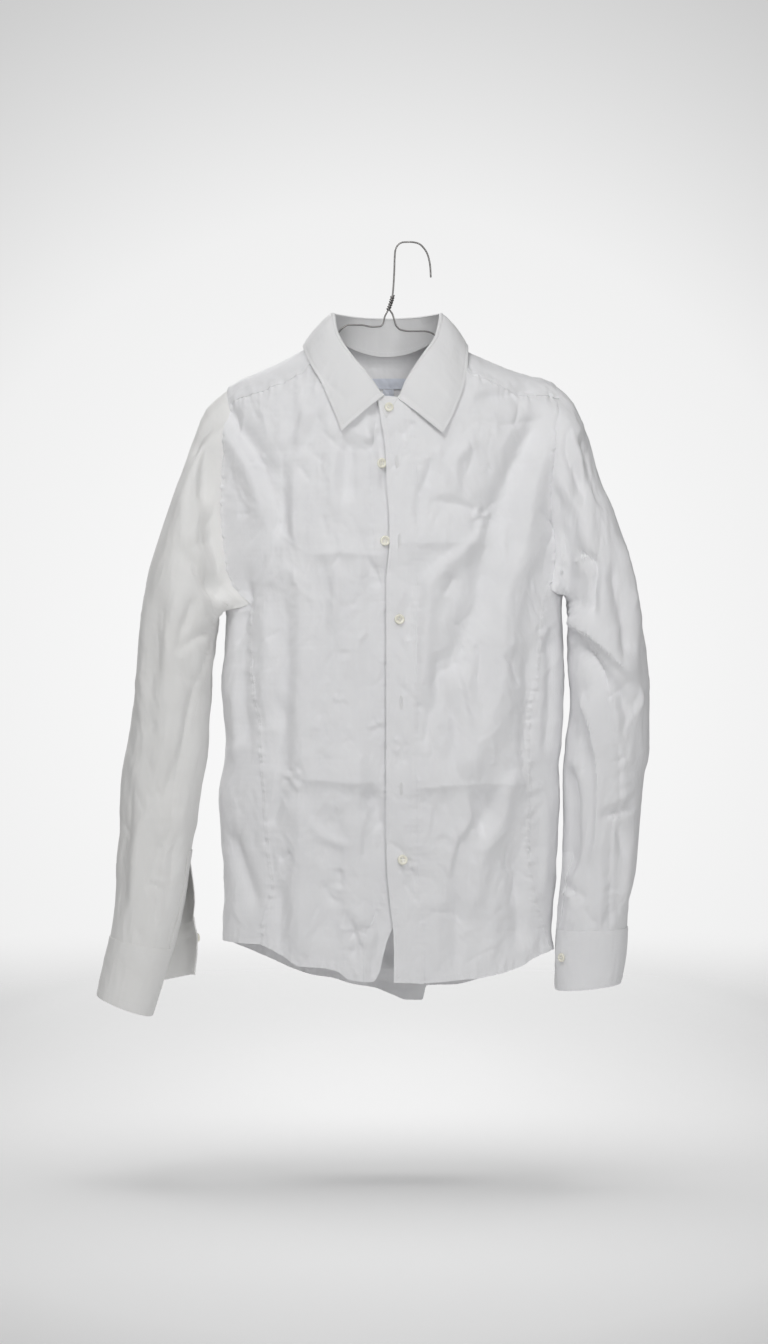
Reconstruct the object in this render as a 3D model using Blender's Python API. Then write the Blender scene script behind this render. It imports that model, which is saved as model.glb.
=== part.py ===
"""A crumpled long-sleeved shirt hanging open-cuffed on a bent wire hanger.

Every cloth piece is a wall cut out of one garment form. The form is worked out from short tables of
sizes, a row for each height or sleeve section, and the largest folds are added to it. All sizes are
millimetres and become metres in the last step. X runs to the right of someone looking at the buttons,
the front faces -Y, Z is up and the inside top of the hanger's hook is the origin.
"Wearer's right" is the side at negative X.
"""

import math

import bpy
import numpy as np
from mathutils.geometry import delaunay_2d_cdt

MM = 0.001

# Driving sizes
CLOTH = 1.2
STIFF_CLOTH = 1.5
SEAM_TRIM = 0.2
NECK_TRIM = 1.3
CELL = 29.0
BACK_CELL = 33.0
YOKE_CELL = 20.0
TURN_SCALE = 200.0
RIDGE_Y = 0.0
FRONT_ROOF = 106.0
BACK_ROOF = 45.0
FRONT_ARC = 146.0
BACK_ARC = 74.0
FRONT_POWER = 0.9
BACK_POWER = 0.6
YOKE_SEAM_HEIGHT = -206.0

NECK_X = -27.0
NECK_HALF_WIDTH = 63.0
NECK_BACK_DROP = 20.0
FOLD_HALF_WIDTH = 61.0
FOLD_HALF_DEPTH = 60.0
FOLD_Y = -18.0
YOKE_CORNER = 52.0

PLACKET_WIDTH = 34.0
BUTTON_STAND_WIDTH = 28.0
LAYER_GAP = 3.4
LAYER_STEP = CLOTH + LAYER_GAP

BUTTON_RADIUS = 5.7
BUTTON_THICK = 2.4
CUFF_BUTTON_RADIUS = 5.0
SEAT_GAP = 0.3

LEAF_LIFT = 5.0
LEAF_RESTS = 0.25
FOLD_START = 0.5
FOLD_ROLL = 3.6
COLLAR_ROLL_SHARE = 0.08
STAND_START = 17.0
STAND_END = -368.5
STAND_LIFT = 1.6
FOLD_GAP = 0.4
LABEL_THICK = 0.8
LABEL_SEAT = 1.0
BUTTON_SEAT = 0.35
CUFF_BUTTON_SEAT = 0.0
SIDE_TRIM = 0.3
BUTTON_DISH = 0.74
BUTTON_HOLE_RADIUS = 0.75
BUTTON_HOLE_PLACE = 1.35

ARMHOLE_GAP = 1.0
SECTION_STEP = 30.0
LEAST_SLEEVE_DEPTH = 20.0
RIGHT_SLIT_ROW = 12
LEFT_SLIT_ROW = 14
SLIT_GAP = 2.0
STRIP_SEAT = 0.2
STRIP_EDGE = 6.0
CUFF_GAP = 1.0
CUFF_LAP = 34.0
CUFF_STEP = STIFF_CLOTH + 0.8

WIRE_RADIUS = 1.2
WIRE_SIDES = 8
WIRE_DROP = 4.3

# height, left edge, right edge, depth in front of the ridge, depth behind it
BODY = (
    (-100, -226.0, 192.0, 80.0, 50.0),
    (-200, -228.0, 186.0, 80.0, 50.0),
    (-300, -229.0, 180.0, 82.0, 43.0),
    (-370, -222.0, 177.0, 84.0, 38.0),
    (-410, -210.5, 173.5, 85.0, 36.0),
    (-470, -212.0, 175.0, 86.0, 36.0),
    (-510, -215.5, 175.5, 86.0, 36.0),
    (-574, -211.0, 173.0, 86.0, 36.0),
    (-602, -214.0, 170.0, 86.0, 37.0),
    (-634, -219.0, 171.0, 85.0, 38.0),
    (-682, -215.5, 168.0, 84.0, 38.0),
    (-735, -213.0, 166.5, 83.0, 38.0),
    (-790, -214.5, 161.5, 82.0, 38.0),
    (-812, -214.0, 164.0, 81.0, 38.0),
    (-890, -206.0, 158.0, 80.0, 38.0),
)

# x, height of the ridge where front and back meet over the hanger
RIDGE = (
    (-214, -174.0),
    (-196, -159.0),
    (-172, -148.0),
    (-149, -137.5),
    (-122, -124.5),
    (-90, -104.0),
    (36, -104.0),
    (63, -125.0),
    (80, -132.0),
    (103, -141.5),
    (126, -150.5),
    (158, -160.5),
    (169, -167.0),
    (178, -176.0),
)

# height, x of the side seam
RIGHT_SIDE_SEAM = (
    (-416, -186.0),
    (-525, -177.0),
    (-545, -171.5),
    (-597, -169.0),
    (-647, -165.5),
    (-706, -160.5),
    (-733, -157.0),
    (-761, -163.5),
    (-783, -168.0),
    (-800, -168.0),
)
LEFT_SIDE_SEAM = (
    (-396, 157.0),
    (-412, 151.0),
    (-451, 147.5),
    (-505, 143.5),
    (-535, 137.0),
    (-593, 134.0),
    (-695, 134.0),
    (-736, 138.5),
    (-767, 146.5),
    (-788, 154.0),
    (-810, 160.0),
)

# height, x of the front edge of the placket, which lies on top
PLACKET_EDGE = (
    (-205, -36.5),
    (-227, -30.5),
    (-279, -27.0),
    (-346, -24.0),
    (-392, -27.7),
    (-663, -27.7),
    (-712, -26.8),
    (-748, -23.7),
    (-797, -19.2),
    (-841, -19.0),
)

# height, x of the front edge of the button stand, which lies beneath
STAND_EDGE = (
    (-205, -8.5),
    (-225, -12.0),
    (-260, -17.0),
    (-347, -13.0),
    (-390, -6.0),
    (-434, 3.0),
    (-620, 4.0),
    (-703, 6.0),
    (-735, 2.0),
    (-760, -10.0),
    (-790, -25.0),
)

# height, way from the placket's edge where the under front starts to step in, length of the step
UNDER_LEAD = ((-225, 16.0, 14.0), (-245, 34.0, 18.0))

# x, height along each hem from the side seam to the centre
RIGHT_FRONT_HEM = (
    (-168, -800.0),
    (-144, -812.0),
    (-123, -824.0),
    (-101, -825.0),
    (-82, -829.0),
    (-69, -838.0),
    (-53, -840.0),
)
STAND_HEM = ((-53, -840.0), (-43, -840.5), (-36.5, -833.0), (-31, -811.0), (-25, -790.0))
LEFT_FRONT_HEM = (
    (160, -810.0),
    (143, -816.0),
    (124, -825.5),
    (100, -832.5),
    (79, -836.5),
    (57, -838.5),
    (36, -840.5),
    (15, -842.0),
)
# x, height along the tail of the back, from the wearer's right to the left
BACK_TAIL = (
    (-214.3, -799.5),
    (-196, -810.0),
    (-165, -824.0),
    (-135, -838.0),
    (-114, -845.0),
    (-90, -849.0),
    (-68, -856.0),
    (-40, -861.0),
    (-21, -868.5),
    (-3, -875.0),
    (14, -875.0),
    (20, -858.0),
    (50, -857.0),
    (90, -846.0),
    (125, -831.0),
    (150, -818.0),
    (162.5, -811.0),
)

# x, height down the front of each armhole, from the yoke seam to the side seam
RIGHT_ARMHOLE_FRONT = (
    (-208, -190.0),
    (-208, -225.0),
    (-213, -270.0),
    (-214, -315.0),
    (-210, -355.0),
    (-203, -390.0),
    (-186, -416.0),
)
LEFT_ARMHOLE_FRONT = (
    (166, -184.0),
    (158, -222.0),
    (155.5, -262.0),
    (156, -300.0),
    (162, -340.0),
    (162, -375.0),
    (157, -396.0),
)
# turn round the body in degrees, height along the underarm, from the side seam to the back
RIGHT_UNDERARM = ((-66.0, -419.5), (-80.0, -421.0), (-94.0, -421.0), (-108.0, -412.0))
LEFT_UNDERARM = ((66.0, -400.0), (80.0, -402.0), (94.0, -402.0), (108.0, -394.0))
# x, height up the back of each armhole, from the underarm to the yoke seam
RIGHT_ARMHOLE_BACK = (
    (-208, -385.0),
    (-210, -345.0),
    (-209, -305.0),
    (-207, -265.0),
    (-207, -232.0),
    (-208, -206.0),
)
LEFT_ARMHOLE_BACK = (
    (163, -368.0),
    (163, -330.0),
    (160, -295.0),
    (158, -260.0),
    (160, -230.0),
    (163, -206.0),
)
RIGHT_SHOULDER_X = -209.5
LEFT_SHOULDER_X = 167.0

# turn round the neck in degrees (0 front, 90 wearer's left), height of the collar's fold
COLLAR_FOLD = (
    (-369.0, -185.0),
    (-360.0, -186.0),
    (-349.0, -187.0),
    (-339.0, -167.0),
    (-317.0, -135.0),
    (-297.0, -115.0),
    (-284.0, -97.0),
    (-270.0, -84.0),
    (-225.0, -81.0),
    (-180.0, -81.0),
    (-135.0, -81.0),
    (-90.0, -84.0),
    (-76.0, -88.0),
    (-68.0, -104.0),
    (-44.0, -133.0),
    (-24.0, -156.0),
    (-15.0, -168.0),
    (-3.0, -184.0),
    (20.0, -186.0),
)

# turn round the neck in degrees, x, y and height of the collar's outer edge
COLLAR_EDGE = (
    (-3.0, -77.5, -84.0, -225.0),
    (-14.0, -80.5, -82.0, -215.0),
    (-28.0, -86.5, -78.0, -201.0),
    (-46.0, -99.5, -68.0, -171.0),
    (-66.0, -115.0, -46.0, -142.0),
    (-84.0, -122.5, -18.0, -121.0),
    (-102.0, -118.0, 10.0, -117.0),
    (-125.0, -96.0, 44.0, -127.0),
    (-150.0, -64.0, 56.0, -131.0),
    (-180.0, -27.0, 58.0, -132.0),
    (-210.0, 10.0, 56.0, -131.0),
    (-235.0, 42.0, 44.0, -127.0),
    (-258.0, 62.0, 10.0, -117.0),
    (-276.0, 66.0, -18.0, -121.0),
    (-294.0, 65.0, -46.0, -142.0),
    (-314.0, 58.5, -66.0, -176.0),
    (-330.0, 49.0, -76.0, -200.0),
    (-342.0, 40.5, -82.0, -218.0),
    (-349.0, 34.5, -84.0, -226.5),
)

# outer x, outer height, inner x, inner height, girth, middle y of each sleeve section
RIGHT_SLEEVE = (
    (-213.0, -172.0, -195.0, -418.0, 560, 0),
    (-235.0, -194.0, -206.0, -421.0, 530, -2),
    (-250.0, -232.0, -213.0, -425.0, 490, -4),
    (-268.0, -287.0, -218.0, -430.0, 440, -6),
    (-284.0, -335.0, -220.0, -437.0, 400, -8),
    (-299.0, -388.0, -222.0, -449.0, 370, -10),
    (-307.0, -437.0, -224.0, -469.0, 352, -12),
    (-310.5, -480.0, -227.0, -502.0, 338, -13),
    (-314.0, -520.0, -229.5, -537.0, 325, -14),
    (-319.5, -567.0, -232.0, -580.0, 312, -14),
    (-329.0, -620.0, -239.5, -628.0, 300, -14),
    (-331.0, -665.0, -246.0, -670.0, 285, -14),
    (-334.5, -705.0, -253.0, -710.0, 270, -14),
    (-335.5, -748.0, -259.0, -754.0, 258, -14),
    (-342.0, -797.0, -273.0, -812.0, 245, -14),
)
LEFT_SLEEVE = (
    (168.0, -168.0, 168.5, -398.0, 520, 0),
    (185.5, -184.0, 173.5, -402.0, 505, -2),
    (196.0, -205.0, 177.0, -406.0, 480, -4),
    (206.0, -234.0, 179.0, -411.0, 450, -6),
    (217.5, -276.0, 180.0, -417.0, 420, -8),
    (231.0, -308.0, 180.5, -427.0, 395, -10),
    (241.5, -340.0, 180.5, -441.0, 375, -12),
    (252.0, -384.0, 180.5, -458.0, 360, -14),
    (261.0, -428.0, 181.0, -480.0, 348, -15),
    (267.5, -468.0, 182.5, -503.0, 335, -16),
    (271.5, -514.0, 184.0, -530.0, 325, -16),
    (271.5, -577.0, 178.5, -577.0, 310, -16),
    (265.0, -615.0, 175.5, -612.0, 300, -16),
    (261.5, -657.0, 175.5, -657.0, 285, -16),
    (255.5, -722.0, 173.5, -718.0, 270, -16),
    (248.0, -756.0, 171.0, -758.0, 258, -16),
    (246.5, -786.0, 168.0, -789.0, 248, -16),
)
# outer x, outer height, inner x, inner height, girth, middle y of each cuff section
RIGHT_CUFF = (
    (-348.0, -822.0, -281.0, -838.0, 235, -14),
    (-356.0, -860.0, -295.0, -884.0, 230, -14),
)
LEFT_CUFF = (
    (244.5, -812.0, 167.0, -815.0, 240, -16),
    (239.0, -846.0, 166.5, -854.5, 234, -16),
)
# section, way aside and way up of the open back edge of the slit
RIGHT_SPREAD = ((12, 0.0, 0.0), (13, 11.0, 11.0), (14, 24.0, 34.0), (16, 46.0, 42.0))
LEFT_SPREAD = ((14, 0.0, 0.0), (18, 0.0, 0.0))

# x and height of each point of a fold, then its half-width and how far it stands out
FRONT_FOLDS = (
    (((-139, -250), (-140, -300), (-141, -350)), 20, -5),
    (((-131, -413), (-134, -520), (-131, -614)), 22, -6),
    (((-122, -614), (-122, -700), (-124, -800)), 24, 6),
    (((-163, -430), (-160, -545)), 20, 5),
    (((-146, -614), (-90, -613), (-29, -614)), 16, -4),
    (((-120, -363), (-70, -363), (-30, -390)), 16, -3),
    (((-132, -625), (-159, -669)), 18, -4),
    (((-115, -636), (-99, -686), (-73, -692)), 18, -4),
    (((-80, -300), (-72, -380), (-84, -460)), 20, 4),
    (((149, -201), (110, -279), (88, -324), (77, -413), (49, -480)), 30, -8),
    (((158, -190), (145, -257), (133, -324), (108, -413), (100, -502), (53, -614)), 26, 8),
    (((77, -324), (61, -355), (32, -385), (21, -424), (12, -525)), 18, 4),
    (((12, -619), (55, -619)), 16, -4),
    (((60, -614), (95, -670)), 22, -7),
    (((122, -625), (105, -647), (99, -692), (72, -770)), 20, 6),
    (((60, -619), (66, -658), (49, -692), (44, -725)), 18, -5),
    (((118, -640), (120, -750)), 18, -5),
)
BACK_FOLDS = (
    (((-130, -250), (-95, -380), (-60, -520)), 30, 8),
    (((70, -240), (45, -380), (10, -540)), 30, -7),
    (((-150, -560), (-140, -680), (-140, -800)), 26, 7),
    (((105, -430), (112, -600), (104, -780)), 28, -8),
    (((-30, -560), (-34, -700), (-20, -840)), 26, 6),
    (((-180, -614), (0, -613), (150, -614)), 18, -4),
)
# section and turn in degrees of each point of a fold, then its half-width and how far it stands out
RIGHT_SLEEVE_FOLDS = (
    (((3.0, 120), (5.0, 150), (6.0, 185)), 26, -9),
    (((6.5, 165), (8.0, 120), (9.5, 95)), 24, -7),
    (((8.0, 110), (10.0, 125), (12.0, 110)), 20, 5),
    (((3.0, 60), (7.0, 65), (11.0, 60)), 26, 5),
    (((11.0, 95), (14.0, 85)), 20, -5),
    (((2.0, 250), (6.0, 240), (9.0, 260)), 28, -7),
    (((8.0, 300), (13.0, 280)), 26, 6),
)
LEFT_SLEEVE_FOLDS = (
    (((4.0, 120), (6.0, 145), (8.0, 165)), 24, -8),
    (((8.0, 160), (9.5, 110), (10.5, 50), (12.0, 45)), 24, -8),
    (((9.0, 150), (11.0, 130), (14.0, 145)), 20, -6),
    (((5.0, 60), (9.0, 65)), 24, 6),
    (((11.0, 80), (13.0, 90), (16.0, 80)), 22, 5),
    (((3.0, 250), (7.0, 245), (10.0, 265)), 28, -7),
    (((9.0, 300), (14.0, 280)), 26, 6),
)

# x and height of the middle of each front button, and whether it is through the placket
BUTTONS = {
    "button_2": (-33.2, -260.4, False),
    "button_3": (-28.8, -347.3, False),
    "button_4": (-13.2, -434.3, True),
    "button_5": (-11.0, -526.8, False),
    "button_6": (-11.0, -622.6, False),
    "button_7": (-9.8, -702.9, True),
}
COLLAR_BUTTON_TURN = 2.5
COLLAR_BUTTON_HEIGHT = -198.0

# x and height along the hanger's wire, from the hook's tip to the twist, one row for each bend
HOOK = (
    (23.8, -39.5),
    (23.2, -28.0),
    (20.7, -15.0),
    (15.6, -5.6),
    (8.6, -0.2),
    (0.0, 1.2),
    (-8.0, 0.9),
    (-13.8, -2.0),
    (-17.2, -9.6),
    (-18.4, -36.8),
    (-20.1, -59.8),
    (-22.6, -70.0),
    (-25.6, -77.6),
    (-28.9, -84.0),
    (-31.0, -92.2),
    (-34.2, -95.8),
    (-42.9, -96.3),
    (-56.7, -94.2),
    (-70.5, -94.0),
    (-76.7, -97.0),
    (-83.0, -103.5),
    (-89.0, -110.0),
    (-96.0, -112.6),
)
HANGER_ENDS = {
    "wearer_right": (
        (-196.0, -164.8),
        (-202.0, -170.0),
        (-204.6, -176.0),
        (-202.0, -181.4),
        (-195.0, -183.6),
    ),
    "wearer_left": (
        (150.0, -181.4),
        (157.0, -179.0),
        (159.8, -173.0),
        (157.6, -167.0),
        (150.0, -162.4),
    ),
}
HANGER_RETURN = (
    (45.0, -116.0),
    (36.0, -110.6),
    (29.5, -106.5),
    (22.5, -102.6),
    (14.9, -101.3),
    (0.0, -101.3),
    (-11.0, -99.6),
    (-16.4, -94.3),
    (-18.6, -87.0),
    (-20.4, -81.5),
)
TWIST_BOTTOM = -77.0
TWIST_TOP = -60.5
TWIST_TURNS = 3.0

# left x, right x, upper height and lower height of each plain label inside the neck
LABELS = {
    "neck_label": (-46.0, -4.5, -149.5, -162.0),
    "size_tab": (-31.0, -18.5, -162.5, -171.5),
}

COLORS = {
    "cotton": (0.80, 0.81, 0.83, 1.0),
    "pearl": (0.86, 0.84, 0.74, 1.0),
    "steel": (0.42, 0.42, 0.43, 1.0),
    "label": (0.84, 0.86, 0.90, 1.0),
}


def clear_scene():
    """Empty the scene that the program starts with."""
    for obj in list(bpy.data.objects):
        bpy.data.objects.remove(obj)


def along_table(table, value, column=1):
    """Read one column of a table at a value of its first column."""
    rows = sorted(table)
    return float(np.interp(value, [row[0] for row in rows], [row[column] for row in rows]))


def smooth(value):
    """Ease from 0 to 1."""
    held = min(max(value, 0.0), 1.0)
    return held * held * (3.0 - 2.0 * held)


def polyline(points, count):
    """Spread a number of points evenly along a route, both ends kept."""
    route = np.array(points, float)
    steps = np.linalg.norm(np.diff(route, axis=0), axis=1)
    reach = np.concatenate([[0.0], np.cumsum(steps)])
    places = np.linspace(0.0, reach[-1], count)
    return [
        tuple(float(np.interp(place, reach, route[:, axis])) for axis in range(route.shape[1]))
        for place in places
    ]


def fold_height(folds, first, second, second_scale=1.0):
    """Add up how far the folds stand out at a place on a cloth surface."""
    total = 0.0
    place = np.array([first, second * second_scale])
    for points, half_width, height in folds:
        route = np.array(points, float) * np.array([1.0, second_scale])
        starts = route[:-1]
        legs = route[1:] - starts
        lengths = (legs * legs).sum(axis=1)
        parts = np.clip(((place - starts) * legs).sum(axis=1) / lengths, 0.0, 1.0)
        gaps = np.linalg.norm(starts + legs * parts[:, None] - place, axis=1)
        nearest = int(gaps.argmin())
        if gaps[nearest] >= half_width:
            continue
        share = (nearest + parts[nearest]) / len(legs)
        taper = smooth(4.0 * share + 0.25) * smooth(4.0 * (1.0 - share) + 0.25)
        total += height * taper * 0.5 * (1.0 + math.cos(math.pi * gaps[nearest] / half_width))
    return total


def body_row(height):
    """Give the middle x, half-width, front depth and back depth of the body at a height."""
    left = along_table(BODY, height, 1)
    right = along_table(BODY, height, 2)
    return (
        (left + right) / 2,
        (right - left) / 2,
        along_table(BODY, height, 3),
        along_table(BODY, height, 4),
    )


def roof(drop, size):
    """Tell how far the cloth has opened out at a drop below the ridge, from 0 to 1."""
    left = 1.0 - min(max(drop / size, 0.0), 1.0)
    return math.sqrt(1.0 - left * left)


def body_point(turn, height):
    """Place a point on the body, from its turn in degrees (0 front, 90 wearer's left) and height."""
    middle, half, front, back = body_row(height)
    side = math.sin(math.radians(turn))
    ahead = math.cos(math.radians(turn))
    x = middle + half * side
    drop = along_table(RIDGE, x) - height
    if ahead >= 0.0:
        depth = front * ahead**FRONT_POWER * roof(drop, FRONT_ROOF)
        lift = fold_height(FRONT_FOLDS, x, height) * smooth(ahead * 2.5) * smooth(drop / 60.0)
        return (x, RIDGE_Y - depth - lift, height)
    depth = back * (-ahead) ** BACK_POWER * roof(drop, BACK_ROOF)
    lift = fold_height(BACK_FOLDS, x, height) * smooth(-ahead * 2.5) * smooth(drop / 90.0)
    return (x, RIDGE_Y + depth + lift, height)


def turn_at(x, height, back=False):
    """Find the turn round the body, in degrees, of a place given by x and height."""
    middle, half, _, _ = body_row(height)
    angle = math.degrees(math.asin(min(max((x - middle) / half, -1.0), 1.0)))
    return -180.0 - angle if back else angle


def front_place(x, height):
    """Give a place on the front in the body's flat pattern."""
    return (math.radians(turn_at(x, height)) * TURN_SCALE, height)


def back_place(x, height):
    """Give a place on the back in the body's flat pattern."""
    return (math.radians(turn_at(x, height, back=True)) * TURN_SCALE, height)


def turned_place(turn, height):
    """Give a place at a turn round the body in its flat pattern."""
    return (math.radians(turn) * TURN_SCALE, height)


def body_surface(u, v):
    """Place a point of the body's flat pattern in space."""
    return body_point(math.degrees(u / TURN_SCALE), v)


def under_surface(u, v):
    """Place a point of the front that runs beneath the placket."""
    x, y, z = body_surface(u, v)
    return (x, y + LAYER_STEP * beneath(x, z), z)


def beneath(x, height):
    """Tell how far the front has stepped in to run beneath the placket, from 0 to 1."""
    lead = along_table(UNDER_LEAD, height, 1)
    run = along_table(UNDER_LEAD, height, 2)
    return smooth((x - along_table(PLACKET_EDGE, height) + lead) / run)


def yoke_surface(x, along):
    """Place a point of the yoke, from x and the way over the ridge (front negative)."""
    size, arc = (FRONT_ROOF, FRONT_ARC) if along < 0.0 else (BACK_ROOF, BACK_ARC)
    way = abs(along)
    opened = min(way / arc, 1.0) * math.pi / 2
    drop = size * (1.0 - math.cos(opened)) + max(way - arc, 0.0)
    height = along_table(RIDGE, x) - drop
    return body_point(turn_at(x, height, back=along >= 0.0), height)


def yoke_place(x, height, back):
    """Give a place on the body in the yoke's flat pattern."""
    size, arc = (BACK_ROOF, BACK_ARC) if back else (FRONT_ROOF, FRONT_ARC)
    drop = max(along_table(RIDGE, x) - height, 0.0)
    way = math.acos(1.0 - min(drop / size, 1.0)) / (math.pi / 2) * arc + max(drop - size, 0.0)
    return (x, way if back else -way)


def neck_point(turn):
    """Give x, height and whether it is on the back, of the neckline at a turn in degrees."""
    side = math.sin(math.radians(turn))
    ahead = math.cos(math.radians(turn))
    x = NECK_X + NECK_HALF_WIDTH * side
    if ahead >= 0.0:
        return x, along_table(RIDGE, x) - FRONT_ROOF * (1.0 - abs(side)), False
    return x, along_table(RIDGE, x) - NECK_BACK_DROP * ahead * ahead, True


def neck_turn(x):
    """Find the turn of the neckline's front at an x."""
    return math.degrees(math.asin((x - NECK_X) / NECK_HALF_WIDTH))


def front_yoke_seam(side):
    """List x and height along the front yoke seam, from the armhole to the neckline."""
    start = RIGHT_ARMHOLE_FRONT[0] if side < 0 else LEFT_ARMHOLE_FRONT[0]
    end_x, end_height, _ = neck_point(side * YOKE_CORNER)
    points = []
    for step in range(7):
        share = step / 6
        x = start[0] + (end_x - start[0]) * share
        start_drop = along_table(RIDGE, start[0]) - start[1]
        end_drop = along_table(RIDGE, end_x) - end_height
        drop = start_drop + (end_drop - start_drop) * share + 9.0 * math.sin(math.pi * share)
        points.append((x, along_table(RIDGE, x) - drop))
    return points


def back_yoke_seam():
    """List x and height along the back yoke seam, from the wearer's right to the left."""
    start = RIGHT_ARMHOLE_BACK[-1]
    end = LEFT_ARMHOLE_BACK[-1]
    return polyline([start, (NECK_X, YOKE_SEAM_HEIGHT - 4.0), end], 15)


def inset(outline, trims):
    """Move each edge of a closed outline inwards by its own amount, kept on the same turning side."""
    points = np.array(outline, float)
    count = len(points)
    following = np.roll(points, -1, axis=0)
    area = float((points[:, 0] * following[:, 1] - following[:, 0] * points[:, 1]).sum())
    sense = 1.0 if area > 0.0 else -1.0
    legs = following - points
    legs /= np.linalg.norm(legs, axis=1)[:, None]
    inward = np.stack([-legs[:, 1], legs[:, 0]], axis=1) * sense
    moved = []
    for index in range(count):
        before = inward[index - 1]
        after = inward[index]
        system = np.array([before, after])
        amounts = np.array([trims[index - 1], trims[index]])
        if abs(np.linalg.det(system)) > 0.15:
            shift = np.linalg.solve(system, amounts)
        else:
            shift = (before + after) / 2 * amounts.mean()
        moved.append(tuple(points[index] + shift))
    return moved


def inside(outline, place, clear):
    """Tell whether a place lies inside an outline and at least a distance from it."""
    points = np.array(outline)
    following = np.roll(points, -1, axis=0)
    crossing = (points[:, 1] > place[1]) != (following[:, 1] > place[1])
    rise = np.where(crossing, following[:, 1] - points[:, 1], 1.0)
    meets = points[:, 0] + (place[1] - points[:, 1]) * (following[:, 0] - points[:, 0]) / rise
    if (crossing & (meets > place[0])).sum() % 2 == 0:
        return False
    legs = following - points
    lengths = np.maximum((legs * legs).sum(axis=1), 1e-9)
    parts = np.clip(((place - points) * legs).sum(axis=1) / lengths, 0.0, 1.0)
    return bool((np.linalg.norm(points + legs * parts[:, None] - place, axis=1) > clear).all())


def filled(outline, cell):
    """Fill a flat outline with triangles about one cell in size and give points and faces."""
    low = np.min(outline, axis=0)
    high = np.max(outline, axis=0)
    columns = max(1, round((high[0] - low[0]) / cell))
    rows = max(1, round((high[1] - low[1]) / cell))
    places = list(outline)
    for row in range(rows + 1):
        for column in range(columns + 1):
            place = np.array(
                [
                    low[0] + (high[0] - low[0]) * (column + 0.5 * (row % 2)) / columns,
                    low[1] + (high[1] - low[1]) * row / rows,
                ]
            )
            if inside(outline, place, 0.48 * cell):
                places.append(tuple(place))
    ring = range(len(outline))
    edges = [(index, (index + 1) % len(outline)) for index in ring]
    points, _, faces, _, _, _ = delaunay_2d_cdt(places, edges, [], 0, 1e-5, True)
    points = [tuple(point) for point in points]
    kept = [
        tuple(face)
        for face in faces
        if inside(outline, np.mean([points[index] for index in face], axis=0), 0.0)
    ]
    return compact(points, kept)


def shell(points, faces, wall):
    """Thicken a surface both ways into a closed wall and give its points and faces."""
    middle = np.array(points, float)
    corners = middle[np.array(faces)]
    facing = np.cross(corners[:, 1] - corners[:, 0], corners[:, 2] - corners[:, 0])
    normals = np.zeros_like(middle)
    for column in range(3):
        np.add.at(normals, np.array(faces)[:, column], facing)
    normals /= np.linalg.norm(normals, axis=1)[:, None]
    count = len(middle)
    out = [tuple(point) for point in middle + normals * wall / 2]
    back = [tuple(point) for point in middle - normals * wall / 2]
    used = {(face[i], face[(i + 1) % 3]) for face in faces for i in range(3)}
    solid = list(faces) + [tuple(count + i for i in reversed(face)) for face in faces]
    for start, end in sorted(used):
        if (end, start) not in used:
            solid.append((end, start, count + start))
            solid.append((end, count + start, count + end))
    return out + back, solid


def outward(points, faces, centre):
    """Turn all faces of a surface so that they look away from a centre, judged as a whole."""
    corners = np.array(points)[np.array(faces)]
    facing = np.cross(corners[:, 1] - corners[:, 0], corners[:, 2] - corners[:, 0])
    away = corners.mean(axis=1) - np.array(centre)
    if (facing * away).sum() < 0.0:
        return [tuple(reversed(face)) for face in faces]
    return faces


def add_object(name, points, faces, finish):
    """Make a named object from millimetre points and faces, with its own material."""
    mesh = bpy.data.meshes.new(name)
    mesh.from_pydata([tuple(MM * value for value in point) for point in points], [], faces)
    mesh.validate()
    mesh.update()
    material = bpy.data.materials.new(name)
    material.use_nodes = True
    shader = material.node_tree.nodes["Principled BSDF"]
    shader.inputs["Base Color"].default_value = COLORS[finish]
    shader.inputs["Roughness"].default_value = 0.35 if finish == "steel" else 0.75
    shader.inputs["Metallic"].default_value = 1.0 if finish == "steel" else 0.0
    mesh.materials.append(material)
    obj = bpy.data.objects.new(name, mesh)
    bpy.context.scene.collection.objects.link(obj)
    return obj


def add_panel(name, outline, trims, surface, centre, wall=CLOTH, cell=CELL):
    """Cut a cloth piece from a surface, inside an outline of its flat pattern."""
    cut = inset(outline, trims)
    places, faces = filled(cut, cell)
    points = [surface(u, v) for u, v in places]
    faces = outward(points, faces, centre)
    return add_object(name, *shell(points, faces, wall), "cotton")


def joined(*stretches):
    """Join stretches of an outline, each a list of places and the trim of its edges."""
    outline = []
    trims = []
    for places, trim in stretches:
        for place in places[:-1]:
            outline.append(place)
            trims.append(trim)
    return outline, trims


def seam_heights(table, count):
    """List heights and x along a seam from its top to its bottom."""
    heights = [row[0] for row in table]
    return [
        (along_table(table, height), height)
        for height in np.linspace(max(heights), min(heights), count)
    ]


def front_route(points):
    """Turn x and height into places of the front's pattern."""
    return [front_place(x, height) for x, height in points]


def neck_route(start, end, count):
    """List x and height of the neckline's front between two turns, its lowest point kept."""
    turns = list(np.linspace(start, end, count))
    if start < 0.0 < end:
        turns = list(np.linspace(start, 0.0, count)) + list(np.linspace(0.0, end, count))[1:]
    return [neck_point(turn)[:2] for turn in turns]


BODY_CENTRE = (-25.0, 0.0, -500.0)


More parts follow.
